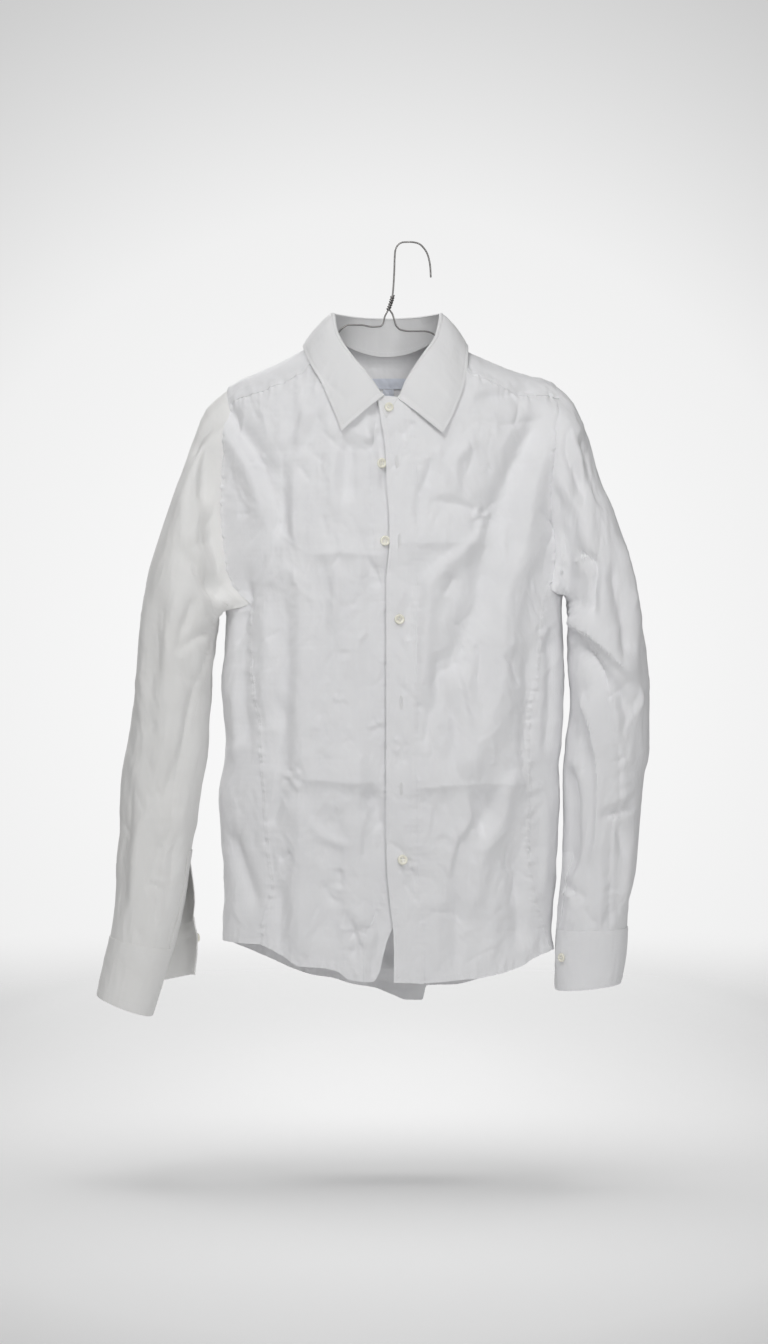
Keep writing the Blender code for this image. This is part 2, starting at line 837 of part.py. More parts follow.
def build_right_front():
    """Make the wearer's right front and the button stand along its edge."""
    stand_seam = [
        (along_table(STAND_EDGE, z) - BUTTON_STAND_WIDTH, z)
        for z in (-207.5, -232, -260, -303, -347, -390, -434, -480, -527, -575, -620, -662, -703)
    ] + [(-28.0, -735.0), (-40.0, -765.0), (-53.0, -795.0), (-53.0, -840.0)]
    top_x = stand_seam[0][0]
    start = neck_turn(top_x)
    top = neck_point(start)
    stand_seam[0] = (top[0], top[1])
    outline, trims = joined(
        (front_route(front_yoke_seam(-1)), SEAM_TRIM),
        (front_route(neck_route(-YOKE_CORNER, start, 4)), NECK_TRIM),
        (front_route(stand_seam), SEAM_TRIM),
        (front_route(reversed(RIGHT_FRONT_HEM)), 0.0),
        (front_route(reversed(seam_heights(RIGHT_SIDE_SEAM, 16))), SIDE_TRIM),
        (front_route(reversed(RIGHT_ARMHOLE_FRONT)), SEAM_TRIM),
    )
    add_panel("front_right", outline, trims, under_surface, BODY_CENTRE)

    end = neck_turn(STAND_EDGE[0][1])
    edge = [neck_point(end)[:2]] + [(row[1], row[0]) for row in STAND_EDGE[1:]]
    edge = polyline(edge, 24)
    outline, trims = joined(
        (front_route(neck_route(start, end, 3)), NECK_TRIM),
        (front_route(edge), 0.0),
        (front_route(reversed(STAND_HEM)), 0.0),
        (front_route(reversed(stand_seam)), SEAM_TRIM),
    )
    add_panel("button_stand", outline, trims, under_surface, BODY_CENTRE)


def build_left_front():
    """Make the wearer's left front and the placket along its edge, which lies on top."""
    heights = np.linspace(PLACKET_EDGE[0][0], PLACKET_EDGE[-1][0], 23)
    edge = [(along_table(PLACKET_EDGE, z), float(z)) for z in heights]
    start = neck_turn(edge[0][0])
    edge[0] = neck_point(start)[:2]
    seam = [(along_table(PLACKET_EDGE, z) + PLACKET_WIDTH, float(z)) for z in heights]
    end = neck_turn(seam[0][0])
    seam[0] = neck_point(end)[:2]
    seam[-1] = LEFT_FRONT_HEM[-1]
    outline, trims = joined(
        (front_route(front_yoke_seam(1)), SEAM_TRIM),
        (front_route(neck_route(YOKE_CORNER, end, 4)), NECK_TRIM),
        (front_route(seam), SEAM_TRIM),
        (front_route(reversed(LEFT_FRONT_HEM)), 0.0),
        (front_route(reversed(seam_heights(LEFT_SIDE_SEAM, 16))), SIDE_TRIM),
        (front_route(reversed(LEFT_ARMHOLE_FRONT)), SEAM_TRIM),
    )
    add_panel("front_left", outline, trims, body_surface, BODY_CENTRE)
    outline, trims = joined(
        (front_route(neck_route(start, end, 4)), NECK_TRIM),
        (front_route(seam), SEAM_TRIM),
        (front_route([seam[-1], edge[-1]]), 0.0),
        (front_route(reversed(edge)), 0.0),
    )
    add_panel("placket", outline, trims, body_surface, BODY_CENTRE, wall=STIFF_CLOTH)


def back_outline():
    """Give the outline of the back and its trims in the body's flat pattern."""
    right_start = front_place(*RIGHT_ARMHOLE_FRONT[-1])
    right_under = [turned_place(turn, height) for turn, height in RIGHT_UNDERARM]
    right_up = [back_place(x, height) for x, height in RIGHT_ARMHOLE_BACK]
    across = [back_place(x, height) for x, height in back_yoke_seam()]
    left_down = [back_place(x, height) for x, height in reversed(LEFT_ARMHOLE_BACK)]
    left_under = [turned_place(turn - 360.0, height) for turn, height in reversed(LEFT_UNDERARM)]

    def round_the_side(x, height):
        u, v = front_place(x, height)
        return (u - 2 * math.pi * TURN_SCALE, v)

    left_seam = [round_the_side(x, height) for x, height in seam_heights(LEFT_SIDE_SEAM, 16)]
    right_seam = [front_place(x, z) for x, z in reversed(seam_heights(RIGHT_SIDE_SEAM, 16))]
    tail = [back_place(x, height) for x, height in reversed(BACK_TAIL)]
    return joined(
        ([right_start] + right_under + right_up, SEAM_TRIM),
        (across, SEAM_TRIM),
        (left_down + left_under + [left_seam[0]], SEAM_TRIM),
        (left_seam, SIDE_TRIM),
        ([left_seam[-1]] + tail + [right_seam[0]], 0.0),
        (right_seam, SIDE_TRIM),
    )


def yoke_outline():
    """Give the outline of the yoke and its trims in its own flat pattern."""
    right_seam = [yoke_place(x, height, False) for x, height in front_yoke_seam(-1)]
    left_seam = [yoke_place(x, height, False) for x, height in front_yoke_seam(1)]
    neck = [
        yoke_place(*neck_point(turn))
        for turn in np.linspace(-YOKE_CORNER, YOKE_CORNER - 360.0, 19)
    ]
    across = [yoke_place(x, height, True) for x, height in back_yoke_seam()]
    return joined(
        (right_seam, SEAM_TRIM),
        (neck, NECK_TRIM),
        (list(reversed(left_seam)), SEAM_TRIM),
        ([left_seam[0], (LEFT_SHOULDER_X, 0.0), across[-1]], SEAM_TRIM),
        (list(reversed(across)), SEAM_TRIM),
        ([across[0], (RIGHT_SHOULDER_X, 0.0), right_seam[0]], SEAM_TRIM),
    )


def armhole(side):
    """List the points of an armhole's edge, from its top down the front and up the back."""
    if side < 0:
        top = yoke_surface(RIGHT_SHOULDER_X, 0.0)
        front, under, back = RIGHT_ARMHOLE_FRONT, RIGHT_UNDERARM, RIGHT_ARMHOLE_BACK
    else:
        top = yoke_surface(LEFT_SHOULDER_X, 0.0)
        front, under, back = LEFT_ARMHOLE_FRONT, LEFT_UNDERARM, LEFT_ARMHOLE_BACK
    points = [top]
    points += [body_point(turn_at(x, height), height) for x, height in front]
    points += [body_point(turn, height) for turn, height in under]
    points += [body_point(turn_at(x, height, back=True), height) for x, height in back]
    return points


def table_row(table, index):
    """Read a row of a table of sections, also between two rows."""
    low = min(int(index), len(table) - 2)
    part = index - low
    return tuple(a + (b - a) * part for a, b in zip(table[low], table[low + 1]))


def section(row, angle):
    """Place a point of a sleeve or cuff section (0 outer, 90 front, 180 inner)."""
    outer_x, outer_z, inner_x, inner_z, girth, middle_y = row
    half = math.hypot(outer_x - inner_x, outer_z - inner_z) / 2
    depth = math.sqrt(max((girth / math.pi) ** 2 / 2 - half * half, LEAST_SLEEVE_DEPTH**2))
    across = math.cos(math.radians(angle))
    ahead = math.sin(math.radians(angle))
    return (
        (outer_x + inner_x) / 2 + (outer_x - inner_x) / 2 * across,
        middle_y - depth * ahead,
        (outer_z + inner_z) / 2 + (outer_z - inner_z) / 2 * across,
    )


def armhole_angles(side):
    """Give each point of an armhole its angle, by its way round the edge from the top."""
    hole = armhole(side)
    reach = [0.0]
    for start, end in zip(hole, hole[1:] + hole[:1]):
        reach.append(reach[-1] + math.dist(start, end))
    return [360.0 * way / reach[-1] for way in reach]


class Sleeve:
    """A sleeve that runs from its armhole to its cuff."""

    def __init__(self, side):
        self.side = side
        self.table = RIGHT_SLEEVE if side < 0 else LEFT_SLEEVE
        self.cuff = RIGHT_CUFF if side < 0 else LEFT_CUFF
        self.spread = RIGHT_SPREAD if side < 0 else LEFT_SPREAD
        folds = RIGHT_SLEEVE_FOLDS if side < 0 else LEFT_SLEEVE_FOLDS
        self.folds = [
            (tuple((SECTION_STEP * row, float(angle)) for row, angle in points), width, height)
            for points, width, height in folds
        ]
        self.hole = armhole(side)
        self.angles = armhole_angles(side)
        self.slit = min(self.angles, key=lambda angle: abs(angle - 180.0))
        self.slit_row = RIGHT_SLIT_ROW if side < 0 else LEFT_SLIT_ROW

    def hole_point(self, angle):
        """Place a point of the armhole at an angle."""
        closed = self.hole + self.hole[:1]
        return tuple(
            float(np.interp(angle % 360.0, self.angles, [point[axis] for point in closed]))
            for axis in range(3)
        )

    def middle(self, row):
        """Give the middle of the sleeve at a section."""
        values = table_row(self.table, row)
        return tuple(np.mean([section(values, 0.0), section(values, 180.0)], axis=0))

    def opened(self, row, angle):
        """Tell how far the open back edge of the slit has moved, to the side and up."""
        share = 1.0 - smooth((angle - self.slit) / 150.0) if angle > self.slit - 45.0 else 0.0
        aside = along_table(self.spread, row, 1) * share
        up = along_table(self.spread, row, 2) * share
        return aside, up

    def point(self, row, angle):
        """Place a point of the sleeve at a section and an angle from the slit's back edge."""
        values = table_row(self.table, row)
        place = np.array(section(values, angle))
        fade = (1.0 - smooth(row / 5.0)) ** 1.5
        hole = np.array(self.hole_point(angle))
        place += (hole - np.array(section(self.table[0], angle))) * fade
        away = place - np.array(self.middle(row))
        away /= max(float(np.linalg.norm(away)), 1.0)
        height = fold_height(self.folds, SECTION_STEP * row, angle % 360.0)
        near_cuff = smooth((len(self.table) - 1 - row) / 1.5)
        place += away * height * (1.0 - fade) * near_cuff
        place[0] += self.side * ARMHOLE_GAP * smooth(1.0 - row)
        place[2] += ARMHOLE_GAP * smooth(1.0 - row) * smooth(2.0 - abs(angle % 360.0 - 185.0) / 30.0)
        aside, up = self.opened(row, angle)
        return (place[0] + aside, place[1] + 0.3 * aside, place[2] + up)

    def cuff_point(self, share, angle):
        """Place a point of the cuff, from its seam (0) to its edge (1)."""
        last = self.table[-1]
        lower = table_row((last,) + self.cuff, share * len(self.cuff))
        place = np.array(section(lower, angle))
        aside, up = self.opened(len(self.table) - 1 + 2.0 * share, angle)
        place += np.array([aside, 0.3 * aside, up])
        down = np.array(section(self.cuff[-1], angle)) - np.array(section(last, angle))
        place += down / np.linalg.norm(down) * CUFF_GAP * (1.0 - share)
        return place

    def columns(self):
        """List the angles of the sleeve's columns, from the back edge of the slit round to the front."""
        start = self.angles.index(self.slit)
        return self.angles[start:-1] + [angle + 360.0 for angle in self.angles[: start + 1]]

    def build(self, name):
        """Make the sleeve, its cuff and the strip along its slit."""
        columns = self.columns()
        rows = len(self.table)
        points = [self.point(row, angle) for row in range(rows) for angle in columns]
        for row in range(self.slit_row + 1, rows):
            first = row * len(columns)
            points[first] = self.point(row, columns[0] + SLIT_GAP)
        faces = tube_faces(rows, len(columns) - 1, self.slit_row)
        points, faces = compact(points, faces)
        middle = self.middle(rows / 2)
        faces = outward(points, faces, middle)
        add_object("sleeve_" + name, *shell(points, faces, CLOTH), "cotton")
        self.build_cuff(name)
        self.build_slit_strip(name)

    def cuff_angles(self):
        """List the angles along the cuff from its under end to its top end."""
        end = self.slit + 360.0 - 1.0
        start = self.slit + 1.0 if self.side < 0 else self.slit - CUFF_LAP
        return [float(angle) for angle in np.linspace(start, end, 21)]

    def build_cuff(self, name):
        """Make the cuff, buttoned on the wearer's left and open on the right."""
        points = []
        angles = self.cuff_angles()
        for share in (0.0, 0.34, 0.67, 1.0):
            for angle in angles:
                place = self.cuff_point(share, angle)
                if self.side > 0:
                    values = table_row(self.cuff, share)
                    middle = np.mean([section(values, 0.0), section(values, 180.0)], axis=0)
                    away = (place - middle) / np.linalg.norm(place - middle)
                    lapped = 1.0 - smooth((angle - self.slit + 8.0) / 26.0)
                    place = place - away * CUFF_STEP * lapped
                points.append(tuple(place))
        faces = sheet_faces(4, len(angles))
        middle = self.cuff[1]
        centre = ((middle[0] + middle[2]) / 2, middle[5], (middle[1] + middle[3]) / 2)
        faces = outward(points, faces, centre)
        add_object("cuff_" + name, *shell(points, faces, STIFF_CLOTH), "cotton")

    def build_slit_strip(self, name):
        """Make the strip sewn on the front side of the slit, from the sleeve's points moved out."""
        rows = list(range(self.slit_row, len(self.table)))
        columns = self.columns()[-3:]
        columns[-1] -= STRIP_EDGE
        points = [self.point(row, angle) for row in rows for angle in columns]
        faces = outward(points, sheet_faces(len(rows), 3), self.middle(rows[1]))
        middle, _ = shell(points, faces, 2 * (CLOTH + SEAT_GAP + STRIP_SEAT))
        points = middle[: len(points)]
        add_object("sleeve_placket_" + name, *shell(points, faces, CLOTH), "cotton")


def sheet_faces(rows, columns):
    """List the faces of a grid of points."""
    faces = []
    for row in range(rows - 1):
        for column in range(columns - 1):
            here = row * columns + column
            below = here + columns
            faces.append((here, here + 1, below + 1))
            faces.append((here, below + 1, below))
    return faces


def tube_faces(rows, columns, open_from):
    """List the faces of a tube whose last column parts from its first after a row."""
    faces = []
    for row in range(rows - 1):
        for column in range(columns):
            here = row * (columns + 1)
            below = here + columns + 1
            a, b = here + column, here + column + 1
            c, d = below + column + 1, below + column
            if column == columns - 1:
                b = here if row <= open_from else b
                c = below if row + 1 <= open_from else c
            faces.append((a, b, c))
            faces.append((a, c, d))
    return faces


def compact(points, faces):
    """Leave out points that no face uses."""
    used = sorted({index for face in faces for index in face})
    places = {old: new for new, old in enumerate(used)}
    return [points[old] for old in used], [tuple(places[i] for i in face) for face in faces]


def stand_point(turn, share):
    """Place a point of the collar stand, from the neckline (0) to the fold (1)."""
    x, height, _ = neck_point(turn)
    low = np.array(body_point(turn_at(x, height, back=math.cos(math.radians(turn)) < 0.0), height))
    stepped = beneath(x, PLACKET_EDGE[0][0]) if turn > -90.0 else 0.0
    inwards = np.array([0.0, LAYER_STEP * stepped, 0.0])
    return low + (fold_point(turn) - low) * share + inwards


def fold_point(turn):
    """Place a point of the collar's fold at a turn round the neck."""
    side = math.sin(math.radians(turn))
    ahead = math.cos(math.radians(turn))
    return np.array(
        [
            NECK_X + FOLD_HALF_WIDTH * side,
            FOLD_Y - FOLD_HALF_DEPTH * ahead,
            along_table(COLLAR_FOLD, turn),
        ]
    )


def fold_frame(turn):
    """Give the fold's point, the way out of the neck and the way square to the fold's edge."""
    out = np.array([math.sin(math.radians(turn)), -math.cos(math.radians(turn)), 0.0])
    along = fold_point(turn - 2.0) - fold_point(turn + 2.0)
    square = np.cross(out, along)
    square *= math.copysign(1.0, square[2]) / np.linalg.norm(square)
    return fold_point(turn), out, square


def collar_turns():
    """List the turns of the columns of the collar."""
    return [float(turn) for turn in np.linspace(COLLAR_EDGE[0][0], COLLAR_EDGE[-1][0], 33)]


def build_stand():
    """Make the collar stand, whose end on the wearer's left lies on top."""
    turns = [STAND_START, STAND_START / 2, 0.0] + collar_turns() + [-354.5, -360.0, STAND_END]
    points = []
    for share in (0.0, 0.5, 1.0):
        for turn in turns:
            low = stand_point(turn, 0.0)
            high = stand_point(turn, 1.0) - fold_frame(turn)[2] * FOLD_GAP
            start = low + (high - low) * STAND_LIFT / float(np.linalg.norm(high - low))
            points.append(tuple(start + (high - start) * share))
    faces = outward(points, sheet_faces(3, len(turns)), (NECK_X, FOLD_Y, -110.0))
    add_object("collar_stand", *shell(points, faces, STIFF_CLOTH), "cotton")


def collar_point(turn, share):
    """Place a point of the turned-down collar, from its fold (0) to its outer edge (1)."""
    ahead = math.cos(math.radians(turn))
    fold, out, square = fold_frame(turn)
    x = along_table(COLLAR_EDGE, turn, 1)
    y = along_table(COLLAR_EDGE, turn, 2)
    z = along_table(COLLAR_EDGE, turn, 3)
    surface_y = body_point(turn_at(x, z, back=ahead < 0.0), z)[1]
    if ahead > LEAF_RESTS:
        y = min(y, surface_y - LEAF_LIFT)
    if ahead < -LEAF_RESTS:
        y = max(y, surface_y + LEAF_LIFT)
    edge = np.array([x, y, z])
    top = fold + out * FOLD_START + square * FOLD_ROLL / 2
    shoulder = fold + out * FOLD_ROLL - square * FOLD_ROLL / 2
    if share < COLLAR_ROLL_SHARE:
        return top + (shoulder - top) * (share / COLLAR_ROLL_SHARE)
    part = (share - COLLAR_ROLL_SHARE) / (1.0 - COLLAR_ROLL_SHARE)
    return shoulder + (edge - shoulder) * part + out * 2.5 * math.sin(math.pi * part)


def build_collar():
    """Make the turned-down collar with its two points."""
    turns = collar_turns()
    points = [
        tuple(collar_point(turn, share))
        for share in (0.0, COLLAR_ROLL_SHARE, 0.4, 0.7, 1.0)
        for turn in turns
    ]
    faces = outward(points, sheet_faces(5, len(turns)), (NECK_X, FOLD_Y, -150.0))
    add_object("collar", *shell(points, faces, STIFF_CLOTH), "cotton")


def build_labels():
    """Make the plain neck label and the small tab under it, inside the back of the yoke."""
    for name, (left, right, high, low) in LABELS.items():
        corners = [
            yoke_place(x, z, True)
            for x, z in ((left, high), (right, high), (right, low), (left, low))
        ]
        outline = polyline(corners[:2], 4)[:-1] + [corners[1]] + polyline(corners[2:], 4)

        def inner_surface(u, v):
            x, y, z = yoke_surface(u, v)
            return (x, y - CLOTH / 2 - LABEL_SEAT - LABEL_THICK / 2, z)

        places, faces = filled(outline, 14.0)
        points = [inner_surface(u, v) for u, v in places]
        faces = outward(points, faces, (-25.0, -100.0, -155.0))
        add_object(name, *shell(points, faces, LABEL_THICK), "label")


def circle(radius, count, middle=(0.0, 0.0)):
    """List the points of a circle."""
    return [
        (
            middle[0] + radius * math.cos(2 * math.pi * i / count),
            middle[1] + radius * math.sin(2 * math.pi * i / count),
        )
        for i in range(count)
    ]


def add_button(name, radius, place, facing, spin):
    """Make a four-hole button whose back rests at a place and which faces a direction."""
    rim = circle(radius, 14)
    holes = [
        circle(BUTTON_HOLE_RADIUS, 5, (a * BUTTON_HOLE_PLACE, b * BUTTON_HOLE_PLACE))
        for a in (-1, 1)
        for b in (-1, 1)
    ]
    places = []
    edges = []
    for ring in [rim, circle(radius * BUTTON_DISH, 10)] + holes:
        start = len(places)
        places += ring
        edges += [(start + i, start + (i + 1) % len(ring)) for i in range(len(ring))]
    flat, _, faces, _, _, _ = delaunay_2d_cdt(places, edges, [], 0, 1e-5, True)
    flat = [tuple(point) for point in flat]
    kept = []
    for face in faces:
        middle = np.mean([flat[index] for index in face], axis=0)
        if inside(rim, middle, 0.0) and not any(inside(hole, middle, 0.0) for hole in holes):
            kept.append(tuple(face))
    front = np.array(facing) / np.linalg.norm(facing)
    across = np.cross(front, (0.0, 0.0, 1.0))
    across /= np.linalg.norm(across)
    upwards = np.cross(across, front)
    base = np.array(place)
    count = len(flat)
    top, back = [], []
    for u, v in flat:
        turned_u = u * math.cos(spin) - v * math.sin(spin)
        turned_v = u * math.sin(spin) + v * math.cos(spin)
        level = base + across * turned_u + upwards * turned_v
        reach = math.hypot(u, v)
        on_crown = 0.99 * BUTTON_DISH < reach / radius < 0.99
        height = BUTTON_THICK if on_crown else BUTTON_THICK * BUTTON_DISH
        top.append(tuple(level + front * height))
        back.append(tuple(level))
    corners = np.array(top)[list(kept[0])]
    normal = np.cross(corners[1] - corners[0], corners[2] - corners[0])
    if float(normal @ front) < 0.0:
        kept = [tuple(reversed(face)) for face in kept]
    used = {(face[i], face[(i + 1) % 3]) for face in kept for i in range(3)}
    solid = kept + [tuple(count + i for i in reversed(face)) for face in kept]
    for start, end in sorted(used):
        if (end, start) not in used:
            solid.append((end, start, count + start))
            solid.append((end, count + start, count + end))
    add_object(name, top + back, solid, "pearl")


def build_buttons(left_sleeve, right_sleeve):
    """Make the buttons where the photograph shows them and the hidden ones beneath."""
    for index, (name, (x, z, fastened)) in enumerate(BUTTONS.items()):
        surface, wall = (body_surface, STIFF_CLOTH) if fastened else (under_surface, CLOTH)
        here = np.array(surface(*front_place(x, z)))
        right = np.array(surface(*front_place(x + 5.0, z)))
        left = np.array(surface(*front_place(x - 5.0, z)))
        above = np.array(surface(*front_place(x, z + 5.0)))
        below = np.array(surface(*front_place(x, z - 5.0)))
        facing = np.cross(right - left, above - below)
        facing /= np.linalg.norm(facing)
        middle = (right + left + above + below) / 4
        lift = max(float((middle - here) @ facing), 0.0) + wall / 2 + BUTTON_SEAT
        add_button(name, BUTTON_RADIUS, here + facing * lift, facing, 0.3 * index)
    height = COLLAR_BUTTON_HEIGHT
    low = np.array(stand_point(COLLAR_BUTTON_TURN - 360.0, 0.0))
    high = np.array(stand_point(COLLAR_BUTTON_TURN - 360.0, 1.0))
    share = (height - low[2]) / (high[2] - low[2])
    here = low + (high - low) * share
    add_button(
        "collar_button",
        BUTTON_RADIUS * 0.9,
        here + np.array([0.0, -STIFF_CLOTH / 2 - 2 * BUTTON_SEAT, 0.0]),
        (0.0, -1.0, 0.0),
        0.4,
    )
    for name, sleeve, angle, share in (
        ("cuff_button_left", left_sleeve, left_sleeve.slit + 360.0 - 32.0, 0.52),
        ("cuff_button_right", right_sleeve, right_sleeve.slit + 16.0, 0.5),
    ):
        here = np.array(sleeve.cuff_point(share, angle))
        along = np.array(sleeve.cuff_point(share, angle + 4.0)) - np.array(
            sleeve.cuff_point(share, angle - 4.0)
        )
        down = np.array(sleeve.cuff_point(share + 0.1, angle)) - here
        facing = np.cross(along, down)
        facing /= np.linalg.norm(facing)
        values = sleeve.cuff[1]
        centre = np.array([(values[0] + values[2]) / 2, values[5], (values[1] + values[3]) / 2])
        if float(facing @ (here - centre)) < 0.0:
            facing = -facing
        place = here + facing * (STIFF_CLOTH / 2 + CUFF_BUTTON_SEAT)
        add_button(name, CUFF_BUTTON_RADIUS, place, facing, 0.2)


def shaft_x(height):
    """Read the x of the hook's shaft at a height."""
    return along_table([(z, x) for x, z in HOOK[9:15]], height)


def wire_route():
    """List the middle line of the hanger's wire, from the hook's tip round to the end of its twist."""
    route = [(x, 0.0, z) for x, z in HOOK]
    route += [(x, 0.0, along_table(RIDGE, x) - WIRE_DROP) for x in (-112.0, -135.0, -165.0, -185.0)]
    route += [(x, 0.0, z) for x, z in HANGER_ENDS["wearer_right"]]
    route += [(x, 0.0, z) for x, z in HANGER_ENDS["wearer_left"]]
    route += [(x, 0.0, along_table(RIDGE, x) - WIRE_DROP) for x in (135.0, 110.0, 80.0, 58.0)]
    route += [(x, 0.0, z) for x, z in HANGER_RETURN]
    steps = int(TWIST_TURNS * 8)
    radius = 2 * WIRE_RADIUS + SEAT_GAP
    for step in range(steps + 1):
        height = TWIST_BOTTOM + (TWIST_TOP - TWIST_BOTTOM) * step / steps
        angle = 2 * math.pi * TWIST_TURNS * step / steps
        route.append(
            (shaft_x(height) + radius * math.cos(angle), -radius * math.sin(angle), height)
        )
    return route


def build_hanger():
    """Make the hanger from one bent wire."""
    route = [np.array(point) for point in wire_route()]
    across = np.array([0.0, 1.0, 0.0])
    points = []
    for index, place in enumerate(route):
        before = route[max(index - 1, 0)]
        after = route[min(index + 1, len(route) - 1)]
        way = (after - before) / np.linalg.norm(after - before)
        across = across - way * float(across @ way)
        across /= np.linalg.norm(across)
        third = np.cross(way, across)
        for step in range(WIRE_SIDES):
            angle = 2 * math.pi * step / WIRE_SIDES
            points.append(
                tuple(place + WIRE_RADIUS * (across * math.cos(angle) + third * math.sin(angle)))
            )
    faces = []
    for index in range(len(route) - 1):
        for step in range(WIRE_SIDES):
            following = (step + 1) % WIRE_SIDES
            here, below = index * WIRE_SIDES, (index + 1) * WIRE_SIDES
            faces.append((here + step, here + following, below + following, below + step))
    faces.append(tuple(reversed(range(WIRE_SIDES))))
    last = (len(route) - 1) * WIRE_SIDES
    faces.append(tuple(range(last, last + WIRE_SIDES)))
    add_object("hanger_wire", points, faces, "steel")


def build():
    """Make every piece of the shirt and its hanger."""
    clear_scene()
    build_right_front()
    build_left_front()
    outline, trims = back_outline()
    add_panel("back", outline, trims, body_surface, BODY_CENTRE, cell=BACK_CELL)
    outline, trims = yoke_outline()
    add_panel("yoke", outline, trims, yoke_surface, (-25.0, 0.0, -260.0), cell=YOKE_CELL)
    right_sleeve = Sleeve(-1)
    left_sleeve = Sleeve(1)
    right_sleeve.build("right")
    left_sleeve.build("left")
    build_stand()
    build_collar()
    build_labels()
    build_buttons(left_sleeve, right_sleeve)
    build_hanger()


build()
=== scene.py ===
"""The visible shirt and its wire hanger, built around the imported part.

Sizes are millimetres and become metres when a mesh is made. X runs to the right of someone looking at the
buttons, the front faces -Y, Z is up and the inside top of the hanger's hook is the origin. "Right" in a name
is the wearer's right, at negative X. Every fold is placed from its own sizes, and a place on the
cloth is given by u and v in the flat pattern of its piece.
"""

import logging
import math
from collections.abc import Iterable, Sequence
from dataclasses import dataclass, field
from enum import Enum

import bpy
import numpy as np
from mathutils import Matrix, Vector
from mathutils.geometry import delaunay_2d_cdt


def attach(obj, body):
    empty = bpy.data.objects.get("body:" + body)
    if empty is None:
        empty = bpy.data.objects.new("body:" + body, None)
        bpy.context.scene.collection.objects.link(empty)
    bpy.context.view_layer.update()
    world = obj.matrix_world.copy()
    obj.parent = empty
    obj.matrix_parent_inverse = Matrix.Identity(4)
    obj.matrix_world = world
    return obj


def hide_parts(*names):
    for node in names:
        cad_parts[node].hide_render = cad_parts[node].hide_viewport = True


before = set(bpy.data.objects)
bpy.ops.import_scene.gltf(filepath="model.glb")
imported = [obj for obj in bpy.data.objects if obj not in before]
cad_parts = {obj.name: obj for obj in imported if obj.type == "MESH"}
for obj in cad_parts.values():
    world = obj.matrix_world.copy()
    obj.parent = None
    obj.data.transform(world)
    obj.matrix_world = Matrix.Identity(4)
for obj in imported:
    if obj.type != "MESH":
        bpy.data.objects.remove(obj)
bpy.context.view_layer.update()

log = logging.getLogger("shirt")
Array = np.ndarray
Rows = Sequence[Sequence[float]]
Socket = bpy.types.NodeSocket

MM = 0.001
BODY_NAME = "root"
SEED = 20

# The garment's form, close to the part's own. A step, gap or lift is how far one layer of cloth lies
# off another, and a degree is how many millimetres of cloth go to one degree of turn.
TURN_SCALE = 200.0
FRONT_ROOF = 106.0
BACK_ROOF = 34.0
FRONT_ARC = 146.0
BACK_ARC = 70.0
FRONT_POWER = 0.8
BACK_POWER = 0.6
HEM_LEAN = 0.18
LEAN_START = -608.0
LEAN_REACH = 230.0
YOKE_SEAM_HEIGHT = -206.0
NECK_X = -27.0
NECK_HALF_WIDTH = 63.0
NECK_BACK_DROP = 20.0
FOLD_HALF_WIDTH = 61.0
FOLD_HALF_DEPTH = 60.0
FOLD_Y = -18.0
YOKE_CORNER = 52.0
PLACKET_WIDTH = 34.0
STAND_WIDTH = 28.0
LAYER_STEP = 4.6
RIGHT_SHOULDER_X = -209.5
LEFT_SHOULDER_X = 167.0
BUTTON_RADIUS = 5.7
CUFF_BUTTON_RADIUS = 5.0
BUTTON_THICK = 2.4
STAND_START = 17.0
STAND_END = -368.5
FOLD_GAP = 0.4
LEAF_LIFT = 5.0
LEAF_RESTS = 0.25
LEAST_SLEEVE_DEPTH = 20.0
SLEEVE_POWER = 0.75
RIGHT_SLIT = 181.8
LEFT_SLIT = 179.0
RIGHT_SLIT_ROW = 12.0
LEFT_SLIT_ROW = 14.0
SLIT_GAP = 2.0
CUFF_LAP = 34.0
CUFF_STEP = 2.3
BODY_FOLDS = 1.4
RIDGE_CALM = 26.0
COLLAR_BUTTON_TURN = -357.5
COLLAR_BUTTON_HEIGHT = -198.0
COLLAR_BUTTON_SIZE = 0.9
BUTTON_REACH = 4.0
BUTTON_LIFT = 0.5
HOLE_HALF_WIDTH = 1.15
HOLE_HALF_LENGTH = 7.2
CUFF_HEIGHT = 68.0
CUFF_TUCK = 0.055
CUFF_STITCHES = (0.03, 0.91)
RIGHT_STRIP = 21.5
LEFT_STRIP = 18.4
STRIP_LIFT = 0.95
STRIP_WALL = 0.9
CAUGHT_DEPTH = 0.6
HEAD_TUCK = 2.0
THREAD_LIFT = 0.05
STAND_HEIGHT = 34.0
STAND_DEGREE = 1.1
LEAF_HEIGHT = 45.0
LEAF_DEGREE = 1.2
LEAF_END_DEGREE = 1.05
WIRE_RADIUS = 1.2
WIRE_DROP = 4.3
TWIST_BOTTOM = -77.0
TWIST_TOP = -60.5
TWIST_TURNS = 6.0

# How fine the cloth is cut and how thick it is
CLOTH_CELL = 3.0
FRONT_CELL = 2.2
BACK_CELL = 3.9
CLOTH_WALL = 0.7
STIFF_WALL = 1.3
PLACKET_PUCKER = 0.9
SIDE_PUCKER = 2.2
SLEEVE_ROW_STEP = 3.0
SLEEVE_COLUMNS = 124

